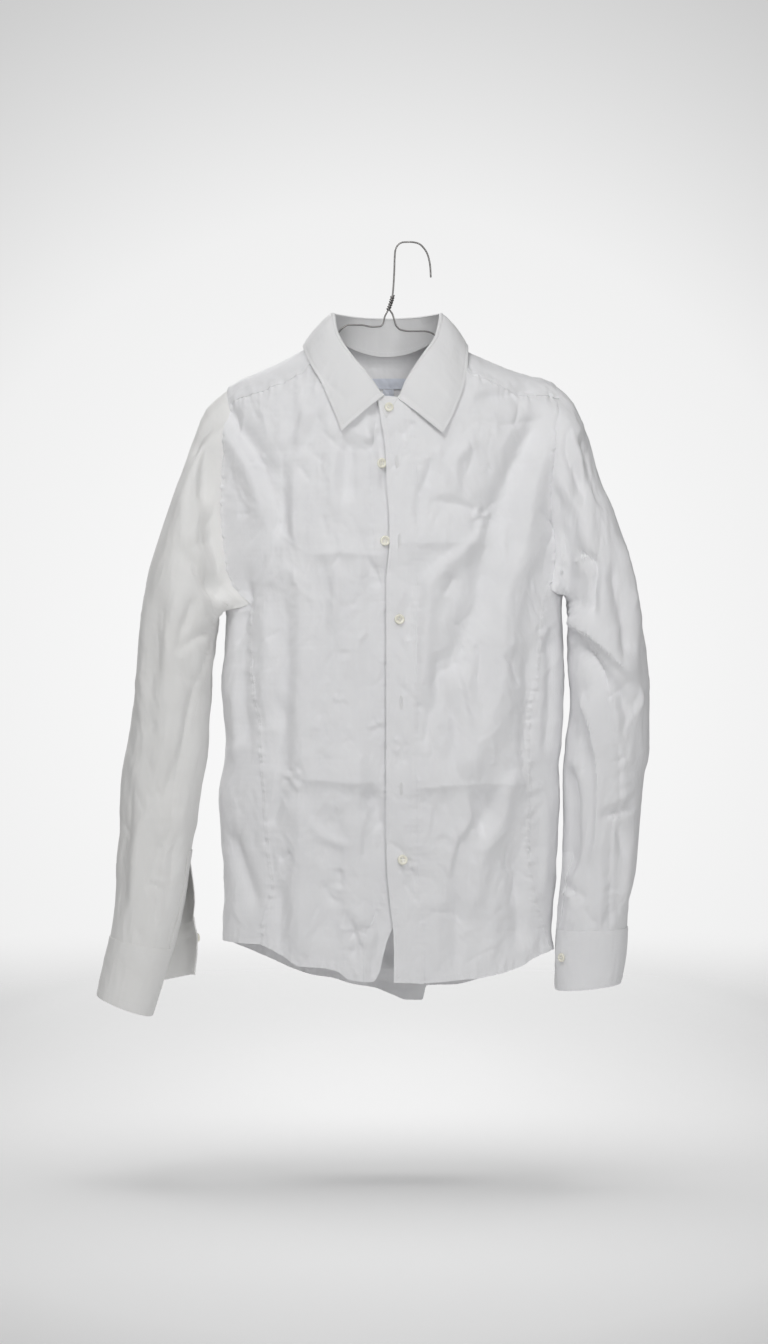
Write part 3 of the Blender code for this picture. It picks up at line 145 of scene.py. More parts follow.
# height, left edge, right edge, depth in front of the ridge, depth behind it
BODY = (
    (-100, -226, 192, 80, 50), (-200, -228, 186, 80, 50), (-300, -229, 180, 82, 43),
    (-370, -222, 177, 84, 38), (-410, -210.5, 173.5, 85, 36), (-470, -212, 175, 86, 36),
    (-510, -215.5, 175.5, 86, 36), (-574, -211, 173, 86, 36), (-602, -214, 170, 86, 37),
    (-634, -219, 171, 85, 38), (-682, -215.5, 168, 84, 38), (-735, -213, 166.5, 83, 38),
    (-790, -214.5, 161.5, 82, 38), (-812, -214, 164, 81, 38), (-890, -206, 158, 80, 38),
)
# x, height of the ridge where front and back meet over the hanger
RIDGE = (
    (-214, -174), (-196, -159), (-172, -148), (-149, -137.5), (-122, -124.5), (-90, -104),
    (36, -104), (63, -125), (80, -132), (103, -141.5), (126, -150.5), (158, -160.5), (169, -167),
    (178, -176),
)
# height, x of each side seam
RIGHT_SIDE_SEAM = (
    (-416, -186), (-525, -177), (-545, -171.5), (-597, -169), (-647, -165.5), (-706, -160.5),
    (-733, -157), (-761, -163.5), (-783, -168), (-800, -168),
)
LEFT_SIDE_SEAM = (
    (-396, 157), (-412, 151), (-451, 147.5), (-505, 143.5), (-535, 137), (-593, 134), (-695, 134),
    (-736, 138.5), (-767, 146.5), (-788, 154), (-810, 160),
)
# height, x of the front edge of the placket, which lies on top
PLACKET_EDGE = (
    (-205, -36.5), (-227, -30.5), (-279, -27), (-346, -24), (-392, -27.7), (-663, -27.7),
    (-712, -26.8), (-748, -23.7), (-797, -19.2), (-841, -19),
)
# height, x of the front edge of the button stand, which lies beneath
STAND_EDGE = (
    (-205, -8.5), (-225, -12), (-260, -17), (-347, -13), (-390, -6), (-434, 3), (-620, 4),
    (-703, 6), (-735, 2), (-760, -10), (-790, -25),
)
# height, way from the placket's edge where the under front steps in, length of the step
UNDER_LEAD = (
    (-225, 16, 14), (-245, 34, 18),
)
# x, height along each hem
RIGHT_FRONT_HEM = (
    (-168, -800), (-144, -812), (-123, -824), (-101, -825), (-82, -829), (-69, -838), (-53, -840),
)
STAND_HEM = (
    (-53, -840), (-43, -840.5), (-36.5, -833), (-31, -811), (-25, -790),
)
LEFT_FRONT_HEM = (
    (160, -810), (143, -816), (124, -825.5), (100, -832.5), (79, -836.5), (57, -838.5),
    (36, -840.5), (15, -842),
)
BACK_TAIL = (
    (-214.3, -799.5), (-196, -810), (-165, -824), (-135, -838), (-114, -845), (-90, -849),
    (-68, -856), (-40, -861), (-21, -868.5), (-3, -875), (14, -875), (20, -858), (50, -857),
    (90, -846), (125, -831), (150, -818), (162.5, -811),
)
# x, height down the front of each armhole, from the yoke seam to the side seam
RIGHT_ARMHOLE_FRONT = (
    (-208, -190), (-208, -225), (-213, -270), (-214, -315), (-210, -355), (-203, -390),
    (-186, -416),
)
LEFT_ARMHOLE_FRONT = (
    (166, -184), (158, -222), (155.5, -262), (156, -300), (162, -340), (162, -375), (157, -396),
)
# turn round the body in degrees, height along the underarm
RIGHT_UNDERARM = (
    (-66, -419.5), (-80, -421), (-94, -421), (-108, -412),
)
LEFT_UNDERARM = (
    (66, -400), (80, -402), (94, -402), (108, -394),
)
# x, height up the back of each armhole
RIGHT_ARMHOLE_BACK = (
    (-208, -385), (-210, -345), (-209, -305), (-207, -265), (-207, -232), (-208, -206),
)
LEFT_ARMHOLE_BACK = (
    (163, -368), (163, -330), (160, -295), (158, -260), (160, -230), (163, -206),
)
# turn round the neck in degrees (0 front, 90 wearer's left), height of the collar's fold
COLLAR_FOLD = (
    (-369, -185), (-360, -186), (-349, -187), (-339, -167), (-317, -135), (-297, -115), (-284, -97),
    (-270, -84), (-225, -81), (-180, -81), (-135, -81), (-90, -84), (-76, -88), (-68, -104),
    (-44, -133), (-24, -156), (-15, -168), (-3, -184), (20, -186),
)
# turn round the neck, x, y and height of the collar's outer edge
COLLAR_EDGE = (
    (-3, -77.5, -84, -225), (-14, -80.5, -82, -215), (-28, -86.5, -78, -201),
    (-46, -99.5, -68, -171), (-66, -115, -46, -142), (-84, -122.5, -18, -121),
    (-102, -118, 10, -117), (-125, -96, 44, -127), (-150, -64, 56, -131), (-180, -27, 58, -132),
    (-210, 10, 56, -131), (-235, 42, 44, -127), (-258, 62, 10, -117), (-276, 66, -18, -121),
    (-294, 65, -46, -142), (-314, 58.5, -66, -176), (-330, 49, -76, -200), (-342, 40.5, -82, -218),
    (-349, 34.5, -84, -226.5),
)
# outer x, outer height, inner x, inner height, girth, middle y of each section
RIGHT_SLEEVE = (
    (-213, -172, -195, -418, 560, 0), (-235, -194, -206, -421, 530, -2),
    (-250, -232, -213, -425, 490, -4), (-268, -287, -218, -430, 440, -6),
    (-284, -335, -220, -437, 400, -8), (-299, -388, -222, -449, 370, -10),
    (-307, -437, -224, -469, 352, -12), (-310.5, -480, -227, -502, 338, -13),
    (-314, -520, -229.5, -537, 325, -14), (-319.5, -567, -232, -580, 312, -14),
    (-329, -620, -239.5, -628, 300, -14), (-331, -665, -246, -670, 285, -14),
    (-334.5, -705, -253, -710, 270, -14), (-335.5, -748, -259, -754, 258, -14),
    (-342, -797, -273, -812, 245, -14),
)
LEFT_SLEEVE = (
    (168, -168, 168.5, -398, 520, 0), (185.5, -184, 173.5, -402, 505, -2),
    (196, -205, 177, -406, 480, -4), (206, -234, 179, -411, 450, -6),
    (217.5, -276, 180, -417, 420, -8), (231, -308, 180.5, -427, 395, -10),
    (241.5, -340, 180.5, -441, 375, -12), (252, -384, 180.5, -458, 360, -14),
    (261, -428, 181, -480, 348, -15), (267.5, -468, 182.5, -503, 335, -16),
    (271.5, -514, 184, -530, 325, -16), (271.5, -577, 178.5, -577, 310, -16),
    (265, -615, 175.5, -612, 300, -16), (261.5, -657, 175.5, -657, 285, -16),
    (255.5, -722, 173.5, -718, 270, -16), (248, -756, 171, -758, 258, -16),
    (246.5, -786, 168, -789, 248, -16),
)
RIGHT_CUFF = (
    (-348, -822, -281, -838, 235, -14), (-356, -860, -295, -884, 230, -14),
)
LEFT_CUFF = (
    (244.5, -812, 167, -815, 240, -16), (239, -846, 166.5, -854.5, 234, -16),
)
# section, way aside and way up of the open back edge of the slit
RIGHT_SPREAD = (
    (12, 0, 0), (13, 11, 11), (14, 24, 34), (16, 46, 42),
)
LEFT_SPREAD = (
    (14, 0, 0), (18, 0, 0),
)
# x and height of each front button, and whether it is through the placket
BUTTONS = {
    "button_2": (-33.2, -260.4, False),
    "button_3": (-28.8, -347.3, False),
    "button_4": (-13.2, -434.3, True),
    "button_5": (-11, -526.8, False),
    "button_6": (-11, -622.6, False),
    "button_7": (-9.8, -702.9, True),
}
# x and height along the hanger's wire, from the hook's tip to the first arm
HOOK = (
    (23.8, -39.5), (23.2, -28), (20.7, -15), (15.6, -5.6), (8.6, -0.2), (0, 1.2), (-8, 0.9),
    (-13.8, -2), (-17.2, -9.6), (-18.4, -36.8), (-20.1, -59.8), (-22.6, -70), (-25.6, -77.6),
    (-28.9, -84), (-31, -92.2), (-34.2, -95.8), (-42.9, -96.3), (-56.7, -94.2), (-70.5, -94),
    (-76.7, -97), (-83, -103.5), (-89, -110), (-96, -112.6),
)
# x along each arm, which runs under the ridge
ARM_RIGHT = (-112.0, -135.0, -165.0, -185.0)
ARM_LEFT = (135.0, 110.0, 80.0, 58.0)
# x and height round each end, and up from the left arm to the twist
WIRE_RIGHT_END = (
    (-196, -164.8), (-202, -170), (-204.6, -176), (-202, -181.4), (-195, -183.6),
)
WIRE_LEFT_END = (
    (150, -181.4), (157, -179), (159.8, -173), (157.6, -167), (150, -162.4),
)
HANGER_RETURN = (
    (45, -116), (36, -110.6), (29.5, -106.5), (22.5, -102.6), (14.9, -101.3), (0, -101.3),
    (-11, -99.6), (-16.4, -94.3), (-18.6, -87), (-20.4, -81.5),
)


class Shape(Enum):
    """How a fold looks across its line."""

    SOFT = "rounded trough or ridge"
    SHARP = "creased line"


SOFT = Shape.SOFT
SHARP = Shape.SHARP

# Each fold: x and height of its points, its width on the left or below, its width on the right or above,
# how far it stands out, and its shape. Lines run downwards or to the right.
FRONT_FOLDS = (
    # viewer's left, from the shoulder to the chest
    (
        ((-222, -187), (-210, -219), (-194, -245), (-180, -270), (-170, -300), (-163, -334)),
        13, 6, 4.5, SOFT,
    ),
    (
        ((-210, -179), (-203, -205), (-183, -232), (-169, -254), (-160, -278), (-151, -315),
         (-153, -352)),
        5, 13, -4.5, SOFT,
    ),
    (((-127, -199), (-132, -223), (-136, -241), (-152, -270), (-157, -278)), 8, 9, -2.8, SOFT),
    (((-95, -200), (-108, -217), (-116, -232), (-120, -251)), 9, 7, -3.2, SOFT),
    (((-111, -195), (-123, -223), (-128, -247)), 7, 7, 2.2, SOFT),
    (((-140, -255), (-140, -301), (-141, -352)), 8, 6, -3.6, SOFT),
    (((-136, -260), (-132, -318), (-123, -357)), 8, 14, 2.4, SOFT),
    (((-125, -262), (-113, -281)), 4, 4, -1.4, SHARP),
    (((-109, -249), (-97, -260)), 4, 4, -1.2, SHARP),
    (((-99, -316), (-92, -346)), 4, 6, -1.4, SHARP),
    (((-196, -315), (-178, -316)), 3, 4, -1, SHARP),
    (((-68, -224), (-69, -268), (-68, -307)), 12, 9, -4.8, SOFT),
    (((-83, -235), (-86, -279), (-81, -324)), 10, 7, 2.6, SOFT),
    (((-53, -215), (-41, -250), (-37, -286)), 9, 4, 3, SOFT),
    (((-185, -367), (-187, -435), (-189, -514), (-185, -581)), 9, 9, -3.5, SOFT),
    # viewer's left, from the chest to the hem
    (((-120, -362), (-79, -361), (-45, -364), (-32, -388)), 9, 36, 3.6, SHARP),
    (
        ((-104, -359), (-92, -366), (-83, -387), (-82, -405), (-86, -429), (-89, -454)),
        8, 8, 3.4, SOFT,
    ),
    (((-58, -327), (-53, -358), (-37, -388), (-34, -405)), 6, 5, -2.6, SHARP),
    (((-136, -370), (-158, -398)), 6, 7, 1.6, SHARP),
    (((-73, -449), (-73, -472)), 5, 6, 1.6, SHARP),
    (((-163, -413), (-162, -480), (-166, -547)), 8, 8, 3.2, SOFT),
    (((-142, -402), (-138, -513), (-144, -614)), 11, 10, -2.8, SOFT),
    (((-124, -368), (-122, -435), (-125, -525), (-123, -614)), 10, 16, 3, SOFT),
    (((-68, -480), (-61, -525), (-66, -591)), 14, 12, -2.6, SOFT),
    (((-158, -514), (-144, -545), (-155, -592), (-163, -608)), 8, 8, -2.4, SOFT),
    (((-141, -615), (-101, -613), (-66, -616), (-30, -615)), 9, 46, 4.4, SHARP),
    (((-54, -622), (-41, -636), (-33, -675)), 9, 8, -4.4, SOFT),
    (((-140, -623), (-150, -646), (-160, -668)), 6, 8, -2.6, SOFT),
    (((-113, -652), (-108, -665), (-97, -677), (-66, -690)), 6, 6, 2.4, SOFT),
    (((-148, -705), (-132, -694)), 4, 4, -2, SHARP),
    (((-126, -625), (-122, -692), (-125, -759), (-120, -822)), 14, 12, 4.4, SOFT),
    (((-149, -726), (-146, -771), (-151, -811)), 9, 9, -3.6, SOFT),
    (((-79, -712), (-79, -737)), 5, 5, -2.2, SHARP),
    (((-90, -636), (-86, -714), (-92, -803)), 14, 13, -3.4, SOFT),
    (((-79, -753), (-59, -764), (-43, -786), (-50, -808)), 6, 7, 2.6, SOFT),
    (((-73, -775), (-60, -792), (-66, -816)), 5, 6, -2.6, SOFT),
    (((-101, -725), (-89, -748), (-73, -753)), 5, 6, -1.8, SHARP),
    # viewer's right, from the shoulder to the chest
    (((68, -187), (100, -181), (133, -174), (157, -169)), 9, 7, -3.8, SOFT),
    (((68, -213), (85, -213), (100, -217), (133, -209), (157, -206)), 6, 7, -2, SHARP),
    (((75, -224), (60, -245), (47, -261), (49, -302)), 9, 8, 3.6, SOFT),
    (((29, -245), (20, -271), (8, -304), (8, -348)), 5, 8, -2.8, SOFT),
    (((34, -233), (29, -259), (25, -286)), 4, 5, 1.6, SOFT),
    (((25, -302), (60, -308), (80, -320)), 5, 5, -1.9, SHARP),
    (((80, -320), (88, -308), (98, -301)), 4, 4, -1.6, SHARP),
    (
        ((82, -320), (77, -339), (60, -358), (37, -375), (22, -396), (17, -430), (14, -478),
         (11, -525)),
        7, 12, 4.8, SOFT,
    ),
    (((-22, -350), (21, -349), (60, -349), (100, -352)), 8, 30, 3.0, SHARP),
    (((49, -383), (37, -409)), 5, 6, -2.2, SHARP),
    (
        ((153, -199), (133, -234), (111, -279), (94, -318), (80, -358), (77, -406), (56, -461),
         (37, -501)),
        15, 15, -7.5, SOFT,
    ),
    (
        ((164, -179), (157, -222), (144, -261), (133, -310), (129, -346), (114, -385),
         (105, -418), (100, -508), (77, -569), (53, -614)),
        12, 20, 7.5, SOFT,
    ),
    (((-12, -232), (5, -213)), 4, 4, -1.5, SHARP),
    (((142, -305), (167, -330), (181, -340)), 4, 5, -2, SHARP),
    # viewer's right, from the chest to the hem
    (((99, -471), (109, -484), (119, -511)), 5, 6, -2.8, SHARP),
    (((54, -487), (63, -511), (72, -564)), 4, 9, 3, SOFT),
    (((75, -451), (77, -475), (73, -509)), 5, 5, -2.4, SHARP),
    (((28, -469), (29, -513), (26, -547)), 6, 6, -2.8, SOFT),
    (((21, -525), (15, -580)), 5, 6, -2.2, SHARP),
    (((40, -513), (49, -558), (41, -608)), 8, 9, -3, SOFT),
    (((130, -457), (132, -525), (125, -592)), 9, 9, -4, SOFT),
    (((-10, -624), (30, -620), (56, -618), (100, -617), (138, -619)), 9, 46, 4.2, SHARP),
    (((59, -616), (63, -637), (66, -654), (50, -682), (43, -707), (40, -735)), 9, 4, 3.4, SOFT),
    (((80, -621), (85, -645), (75, -675)), 12, 9, -6.5, SOFT),
    (
        ((119, -600), (105, -632), (101, -658), (81, -690), (76, -716), (68, -770)),
        7, 12, 5.2, SOFT,
    ),
    (((115, -682), (121, -738), (125, -811)), 11, 9, -6, SOFT),
    (((49, -736), (53, -781), (49, -837)), 9, 8, -3.4, SOFT),
    (((28, -725), (30, -781), (26, -834)), 8, 8, 2.4, SOFT),
    (((94, -726), (93, -782), (86, -832)), 8, 9, 3, SOFT),
    (((-29, -680), (-12, -691), (10, -736)), 5, 5, -1.8, SHARP),
    (((-9, -725), (10, -753)), 4, 5, -1.5, SHARP),
    (((-1, -369), (1, -413), (-3, -458)), 9, 9, -2, SOFT),
    (((-14, -480), (1, -525), (-8, -591)), 8, 8, 1.8, SOFT),
    # the back where it wraps round to the front
    (((-183, -390), (-184, -418), (-191, -432), (-195, -452), (-206, -472)), 4, 5, -4, SOFT),
    (((-209, -665), (-189, -717), (-172, -767)), 9, 9, -5, SOFT),
    (((-202, -502), (-197, -548), (-200, -604)), 6, 7, 2.6, SOFT),
    (((159, -434), (158, -514), (152, -593)), 6, 6, -3, SOFT),
    (((152, -627), (153, -683), (150, -751)), 6, 6, 2.4, SOFT),
)
# Each star: its middle, how far its creases run out, how many they are and how far they stand out
FRONT_STARS = (
    ((-132, -611), 15, 6, 1.8),
    ((-60, -781), 20, 7, 1.8),
    ((-38, -552), 10, 5, 1.4),
    ((80, -320), 16, 6, 1.6),
    ((84, -263), 9, 5, 1.2),
    ((-5, -711), 12, 6, 1.4),
    ((-172, -257), 10, 5, 1.2),
    ((66, -469), 10, 5, 1.3),
    ((-79, -525), 12, 5, 1),
    ((1, -458), 11, 5, 0.9),
    ((-12, -575), 12, 5, 1),
)
RIGHT_SLEEVE_FOLDS = (
    # wearer's right sleeve, front
    (((-226, -227), (-232, -254), (-234, -288), (-225, -309)), 6, 9, -5, SOFT),
    (((-242, -232), (-253, -277), (-264, -322)), 12, 9, 3, SOFT),
    (((-211, -330), (-232, -345), (-252, -355), (-273, -371)), 5, 7, -2.2, SHARP),
    (((-219, -300), (-223, -316), (-231, -333)), 4, 5, -2, SOFT),
    (((-256, -355), (-242, -374), (-226, -399), (-212, -413)), 8, 10, -8, SOFT),
    (((-242, -354), (-227, -374), (-212, -392)), 7, 9, 3.5, SOFT),
    (((-251, -391), (-264, -419), (-271, -453), (-277, -501)), 6, 9, 4, SOFT),
    (((-238, -404), (-253, -437), (-263, -474)), 4, 7, -3.4, SOFT),
    (((-282, -401), (-286, -457), (-291, -525), (-296, -576)), 10, 9, -3.4, SOFT),
    (((-296, -401), (-302, -457), (-307, -525)), 6, 8, 3, SOFT),
    (((-220, -442), (-240, -455), (-264, -475)), 6, 4, -3.6, SOFT),
    (
        ((-263, -476), (-255, -494), (-246, -516), (-249, -538), (-255, -570), (-269, -611),
         (-280, -638)),
        5, 12, -5, SOFT,
    ),
    (((-269, -525), (-276, -570), (-288, -615)), 8, 8, 2.5, SOFT),
    (((-258, -581), (-251, -609), (-245, -629)), 5, 5, -2, SHARP),
    (((-297, -635), (-279, -627)), 4, 5, -2.2, SHARP),
    (((-298, -644), (-307, -677), (-312, -719), (-315, -756)), 6, 8, 3.6, SOFT),
    (((-320, -593), (-320, -649), (-325, -705), (-327, -762)), 7, 8, -4, SOFT),
    (((-262, -638), (-260, -683), (-264, -739)), 7, 8, 3, SOFT),
    (((-267, -674), (-281, -684), (-288, -707), (-294, -726), (-291, -753)), 4, 5, -2.8, SOFT),
    (((-309, -778), (-302, -800), (-294, -822)), 5, 6, -3.2, SOFT),
    (((-277, -756), (-271, -784), (-279, -807)), 5, 6, -2.2, SOFT),
)
RIGHT_SLEEVE_STARS = (
    ((-212, -367), 9, 6, 1.4),
    ((-217, -322), 9, 5, 1.2),
    ((-282, -790), 10, 6, 1.3),
)
LEFT_SLEEVE_FOLDS = (
    # wearer's left sleeve, front
    (((170, -232), (182, -266), (194, -295)), 5, 10, -3.6, SOFT),
    (((177, -215), (188, -249), (198, -283)), 4, 6, 2.4, SOFT),
    (((156, -261), (172, -288), (192, -316), (197, -342), (208, -367)), 8, 9, 4.5, SOFT),
    (((191, -221), (199, -252), (207, -281), (220, -313)), 6, 9, -4, SOFT),
    (
        ((183, -358), (202, -365), (209, -373), (210, -381), (206, -393), (205, -436)),
        5, 4, -3.6, SOFT,
    ),
    (((215, -367), (214, -401), (212, -440)), 5, 9, 3.4, SOFT),
    (((191, -378), (190, -401), (189, -426)), 8, 7, -2.6, SOFT),
    (((235, -337), (241, -367), (252, -418), (256, -457)), 7, 5, 3, SOFT),
    (((221, -367), (233, -412), (241, -457), (238, -485)), 9, 8, -5, SOFT),
    (((167, -424), (183, -438), (205, -455), (228, -480), (258, -509)), 4, 16, 5.5, SOFT),
    (((177, -453), (202, -475), (221, -500), (238, -525), (242, -550)), 13, 6, -5.5, SOFT),
    (((256, -506), (258, -524), (248, -545), (236, -564)), 8, 3, 3.2, SHARP),
    (((252, -514), (250, -536), (236, -562)), 7, 5, -3.4, SOFT),
    (((225, -485), (228, -519), (234, -559)), 5, 6, 1.8, SOFT),
    (((190, -514), (205, -564), (210, -621), (208, -677), (199, -714)), 3, 13, 4.6, SHARP),
    (((173, -593), (184, -638), (185, -683), (177, -728)), 12, 6, -6.5, SOFT),
    (((175, -514), (182, -547), (184, -581)), 8, 6, -2.4, SOFT),
    (((210, -656), (230, -651), (256, -639)), 5, 7, -2.8, SOFT),
    (((211, -642), (232, -636), (254, -624)), 5, 7, 1.8, SOFT),
    (((229, -662), (235, -685), (239, -705)), 4, 5, -2.6, SOFT),
    (((250, -660), (245, -716), (237, -767)), 6, 6, 2, SOFT),
    (((211, -694), (214, -739), (210, -778)), 7, 5, 2.4, SOFT),
    (((174, -728), (184, -742), (200, -747)), 4, 5, -2.4, SOFT),
    (((194, -756), (202, -771), (209, -778)), 4, 5, -1.6, SHARP),
)
LEFT_SLEEVE_STARS = (
    ((165, -378), 11, 8, 2),
    ((191, -365), 9, 6, 1.6),
    ((227, -658), 9, 6, 1.5),
    ((182, -748), 10, 6, 1.4),
)
# x and height down the seam on the front of each sleeve
RIGHT_SLEEVE_SEAM = (
    (-208, -419), (-223, -457), (-240, -514), (-253, -570), (-264, -626), (-270, -674),
    (-279, -696), (-285, -733), (-286, -778),
)
LEFT_SLEEVE_SEAM = (
    (175, -403), (185, -440), (205, -474), (220, -502), (226, -551), (235, -596), (234, -644),
    (226, -667), (224, -716), (225, -780),
)
BACK_FOLDS = (
    (((-130, -250), (-95, -380), (-60, -520)), 15, 12, 6.5, SOFT),
    (((70, -240), (45, -380), (10, -540)), 12, 15, -6.5, SOFT),
    (((-150, -560), (-140, -680), (-140, -800)), 13, 11, 6.0, SOFT),
    (((105, -430), (112, -600), (104, -780)), 13, 13, -7.0, SOFT),
    (((-30, -560), (-34, -700), (-20, -840)), 12, 14, 5.5, SOFT),
    (((-190, -614), (-20, -611), (155, -615)), 10, 16, 2.0, SHARP),
    (((-198, -360), (-40, -356), (150, -362)), 10, 14, 1.6, SHARP),
    (((-176, -250), (-152, -330), (-156, -410)), 8, 11, -5.0, SOFT),
    (((118, -262), (136, -340), (126, -420)), 10, 9, 4.6, SOFT),
    (((-18, -232), (-30, -330), (-16, -420)), 11, 13, 3.4, SOFT),
    (((18, -470), (58, -536), (94, -556)), 6, 9, -3.4, SOFT),
    (((-122, -436), (-82, -500), (-22, -522)), 7, 9, 3.2, SOFT),
    (((40, -640), (62, -720), (50, -820)), 9, 12, 4.6, SOFT),
    (((-92, -640), (-84, -730), (-97, -832)), 10, 10, -4.4, SOFT),
    (((-164, -456), (-118, -472)), 5, 6, -2.2, SHARP),
    (((130, -470), (144, -540), (136, -610)), 8, 8, 3.2, SOFT),
    (((-60, -300), (-44, -352)), 5, 6, -1.8, SHARP),
    (((-6, -640), (8, -700), (2, -760)), 7, 8, -3.0, SOFT),
)
BACK_STARS = (
    ((-90, -612), 14, 6, 1.6),
    ((60, -612), 16, 7, 1.8),
    ((-150, -430), 12, 6, 1.5),
    ((120, -420), 12, 6, 1.5),
    ((0, -358), 12, 6, 1.3),
)
RIGHT_SLEEVE_BACK_FOLDS = (
    (((-222, -300), (-246, -332), (-272, -346)), 7, 9, -5.0, SOFT),
    (((-226, -345), (-250, -372), (-282, -384)), 7, 8, 4.0, SOFT),
    (((-290, -400), (-285, -480), (-296, -560)), 9, 10, 5.0, SOFT),
    (((-234, -470), (-265, -500), (-302, -506)), 6, 8, -3.6, SOFT),
    (((-248, -556), (-280, -574), (-306, -570)), 5, 6, -2.4, SHARP),
    (((-262, -590), (-271, -680), (-282, -745)), 8, 8, -4.6, SOFT),
    (((-300, -640), (-311, -715), (-320, -785)), 8, 9, 4.2, SOFT),
)
LEFT_SLEEVE_BACK_FOLDS = (
    (((182, -285), (206, -318), (232, -334)), 7, 9, -5.0, SOFT),
    (((184, -335), (208, -360), (240, -372)), 7, 8, 4.0, SOFT),
    (((244, -400), (240, -478), (252, -556)), 9, 10, 5.0, SOFT),
    (((190, -460), (222, -486), (258, -498)), 6, 8, -3.6, SOFT),
    (((192, -566), (226, -578), (262, -568)), 5, 6, -2.4, SHARP),
    (((212, -600), (208, -680), (214, -750)), 8, 8, -4.6, SOFT),
    (((250, -630), (240, -700), (236, -770)), 8, 9, 4.2, SOFT),
)
# turn round the neck and way down the leaf, then as above, for the collar
COLLAR_FOLDS = (
    (((-52, 42), (-34, 40), (-20, 34)), 5, 6, -1.1, SHARP),
    (((-75, 30), (-60, 44), (-40, 62)), 9, 11, 1.5, SOFT),
    (((-318, 30), (-330, 48), (-340, 60)), 9, 10, 1.4, SOFT),
    (((-290, 22), (-300, 40), (-312, 58)), 8, 8, -1.2, SOFT),
    (((-120, 20), (-150, 30), (-190, 22)), 8, 10, 1.3, SOFT),
    (((-210, 30), (-240, 22), (-262, 34)), 8, 10, -1.3, SOFT),
)


def smooth(value: Array | float) -> Array:
    """Ease from 0 to 1."""
    held = np.clip(value, 0.0, 1.0)
    return held * held * (3.0 - 2.0 * held)


def unit(vectors: Array) -> Array:
    """Scale vectors to a length of 1."""
    return vectors / np.maximum(np.linalg.norm(vectors, axis=-1, keepdims=True), 1e-9)


def slopes(places: Array, values: Array) -> Array:
    """Find the slopes of a curve that never overshoots its points.

    Args:
        places: Where the points lie, rising.
        values: Their values, a row for each point.

    Returns:
        The slopes, a row for each point.
    """
    steps = np.diff(places)[:, None]
    rises = np.diff(values, axis=0) / steps
    before, after = rises[:-1], rises[1:]
    level = before * after <= 0.0
    near = 2.0 * steps[1:] + steps[:-1]
    far = steps[1:] + 2.0 * steps[:-1]
    mixed = near / np.where(level, 1.0, before) + far / np.where(level, 1.0, after)
    middle = np.where(level, 0.0, (near + far) / np.where(level, 1.0, mixed))
    return np.concatenate([rises[:1], middle, rises[-1:]])


def curve(places: Array, values: Array, wanted: Array | float) -> Array:
    """Read a smooth curve through points, held level past its ends.

    Args:
        places: Where the points lie, rising.
        values: Their values, a row for each point.
        wanted: The places to read.

    Returns:
        The values there, a row for each place.
    """
    asked = np.clip(np.atleast_1d(np.asarray(wanted, float)), places[0], places[-1])
    low = np.clip(np.searchsorted(places, asked, side="right") - 1, 0, len(places) - 2)
    size = (places[low + 1] - places[low])[:, None]
    part = (asked - places[low])[:, None] / size
    lean = slopes(places, values)
    rest = 1.0 - part
    return (
        values[low] * (1.0 + 2.0 * part) * rest**2
        + lean[low] * size * part * rest**2
        + values[low + 1] * part**2 * (3.0 - 2.0 * part)
        - lean[low + 1] * size * part**2 * rest
    )


class Table:
    """A smooth curve through the rows of a table of sizes."""

    def __init__(self, rows: Rows) -> None:
        """Keep the rows, sorted by their first column.

        Args:
            rows: The rows, each with a place and the values there.
        """
        ordered = np.array(sorted(rows), float)
        self.places = ordered[:, 0]
        self.values = ordered[:, 1:]

    def at(self, value: Array | float, column: int = 0) -> Array:
        """Read one column, the first after the place being 0."""
        return curve(self.places, self.values[:, column : column + 1], value)[:, 0]


def route_through(points: Rows | Array, spacing: float) -> Array:
    """Lay a smooth route through points, with places spread evenly along it.

    Args:
        points: The points, a row for each.
        spacing: The distance between two places.

    Returns:
        The places, both ends kept.
    """
    given = np.array(points, float)
    steps = np.linalg.norm(np.diff(given, axis=0), axis=1)
    given = given[np.concatenate([[True], steps > 1e-6])]
    reach = np.concatenate([[0.0], np.cumsum(steps[steps > 1e-6])])
    count = max(2, round(float(reach[-1]) / spacing) + 1)
    return curve(reach, given, np.linspace(0.0, reach[-1], count))


def reach_along(points: Array) -> Array:
    """Measure how far along a route each of its points is."""
    return np.concatenate([[0.0], np.cumsum(np.linalg.norm(np.diff(points, axis=0), axis=1))])


def gaps_to(route: Array, places: Array) -> tuple[Array, Array]:
    """Measure how far places lie from a route, above or to the right of it being positive.

    Args:
        route: The points of the route, in two coordinates.
        places: The places to measure.

    Returns:
        The gap of each place, and how far along the route its nearest point is.
    """
    starts, legs = route[:-1], np.diff(route, axis=0)
    sizes = np.maximum((legs**2).sum(axis=1), 1e-9)
    reach = np.concatenate([[0.0], np.cumsum(np.sqrt(sizes))])
    gaps = np.empty(len(places))
    ways = np.empty(len(places))
    for first in range(0, len(places), 3000):
        some = slice(first, first + 3000)
        off = places[some, None, :] - starts[None]
        parts = np.clip((off * legs).sum(axis=2) / sizes, 0.0, 1.0)
        squares = ((off - parts[..., None] * legs) ** 2).sum(axis=2)
        near = squares.argmin(axis=1)
        here = np.arange(len(near))
        side = legs[near, 0] * off[here, near, 1] - legs[near, 1] * off[here, near, 0]
        gaps[some] = np.sqrt(squares[here, near]) * np.where(side >= 0.0, 1.0, -1.0)
        ways[some] = reach[near] + parts[here, near] * np.sqrt(sizes[near])
    return gaps, ways


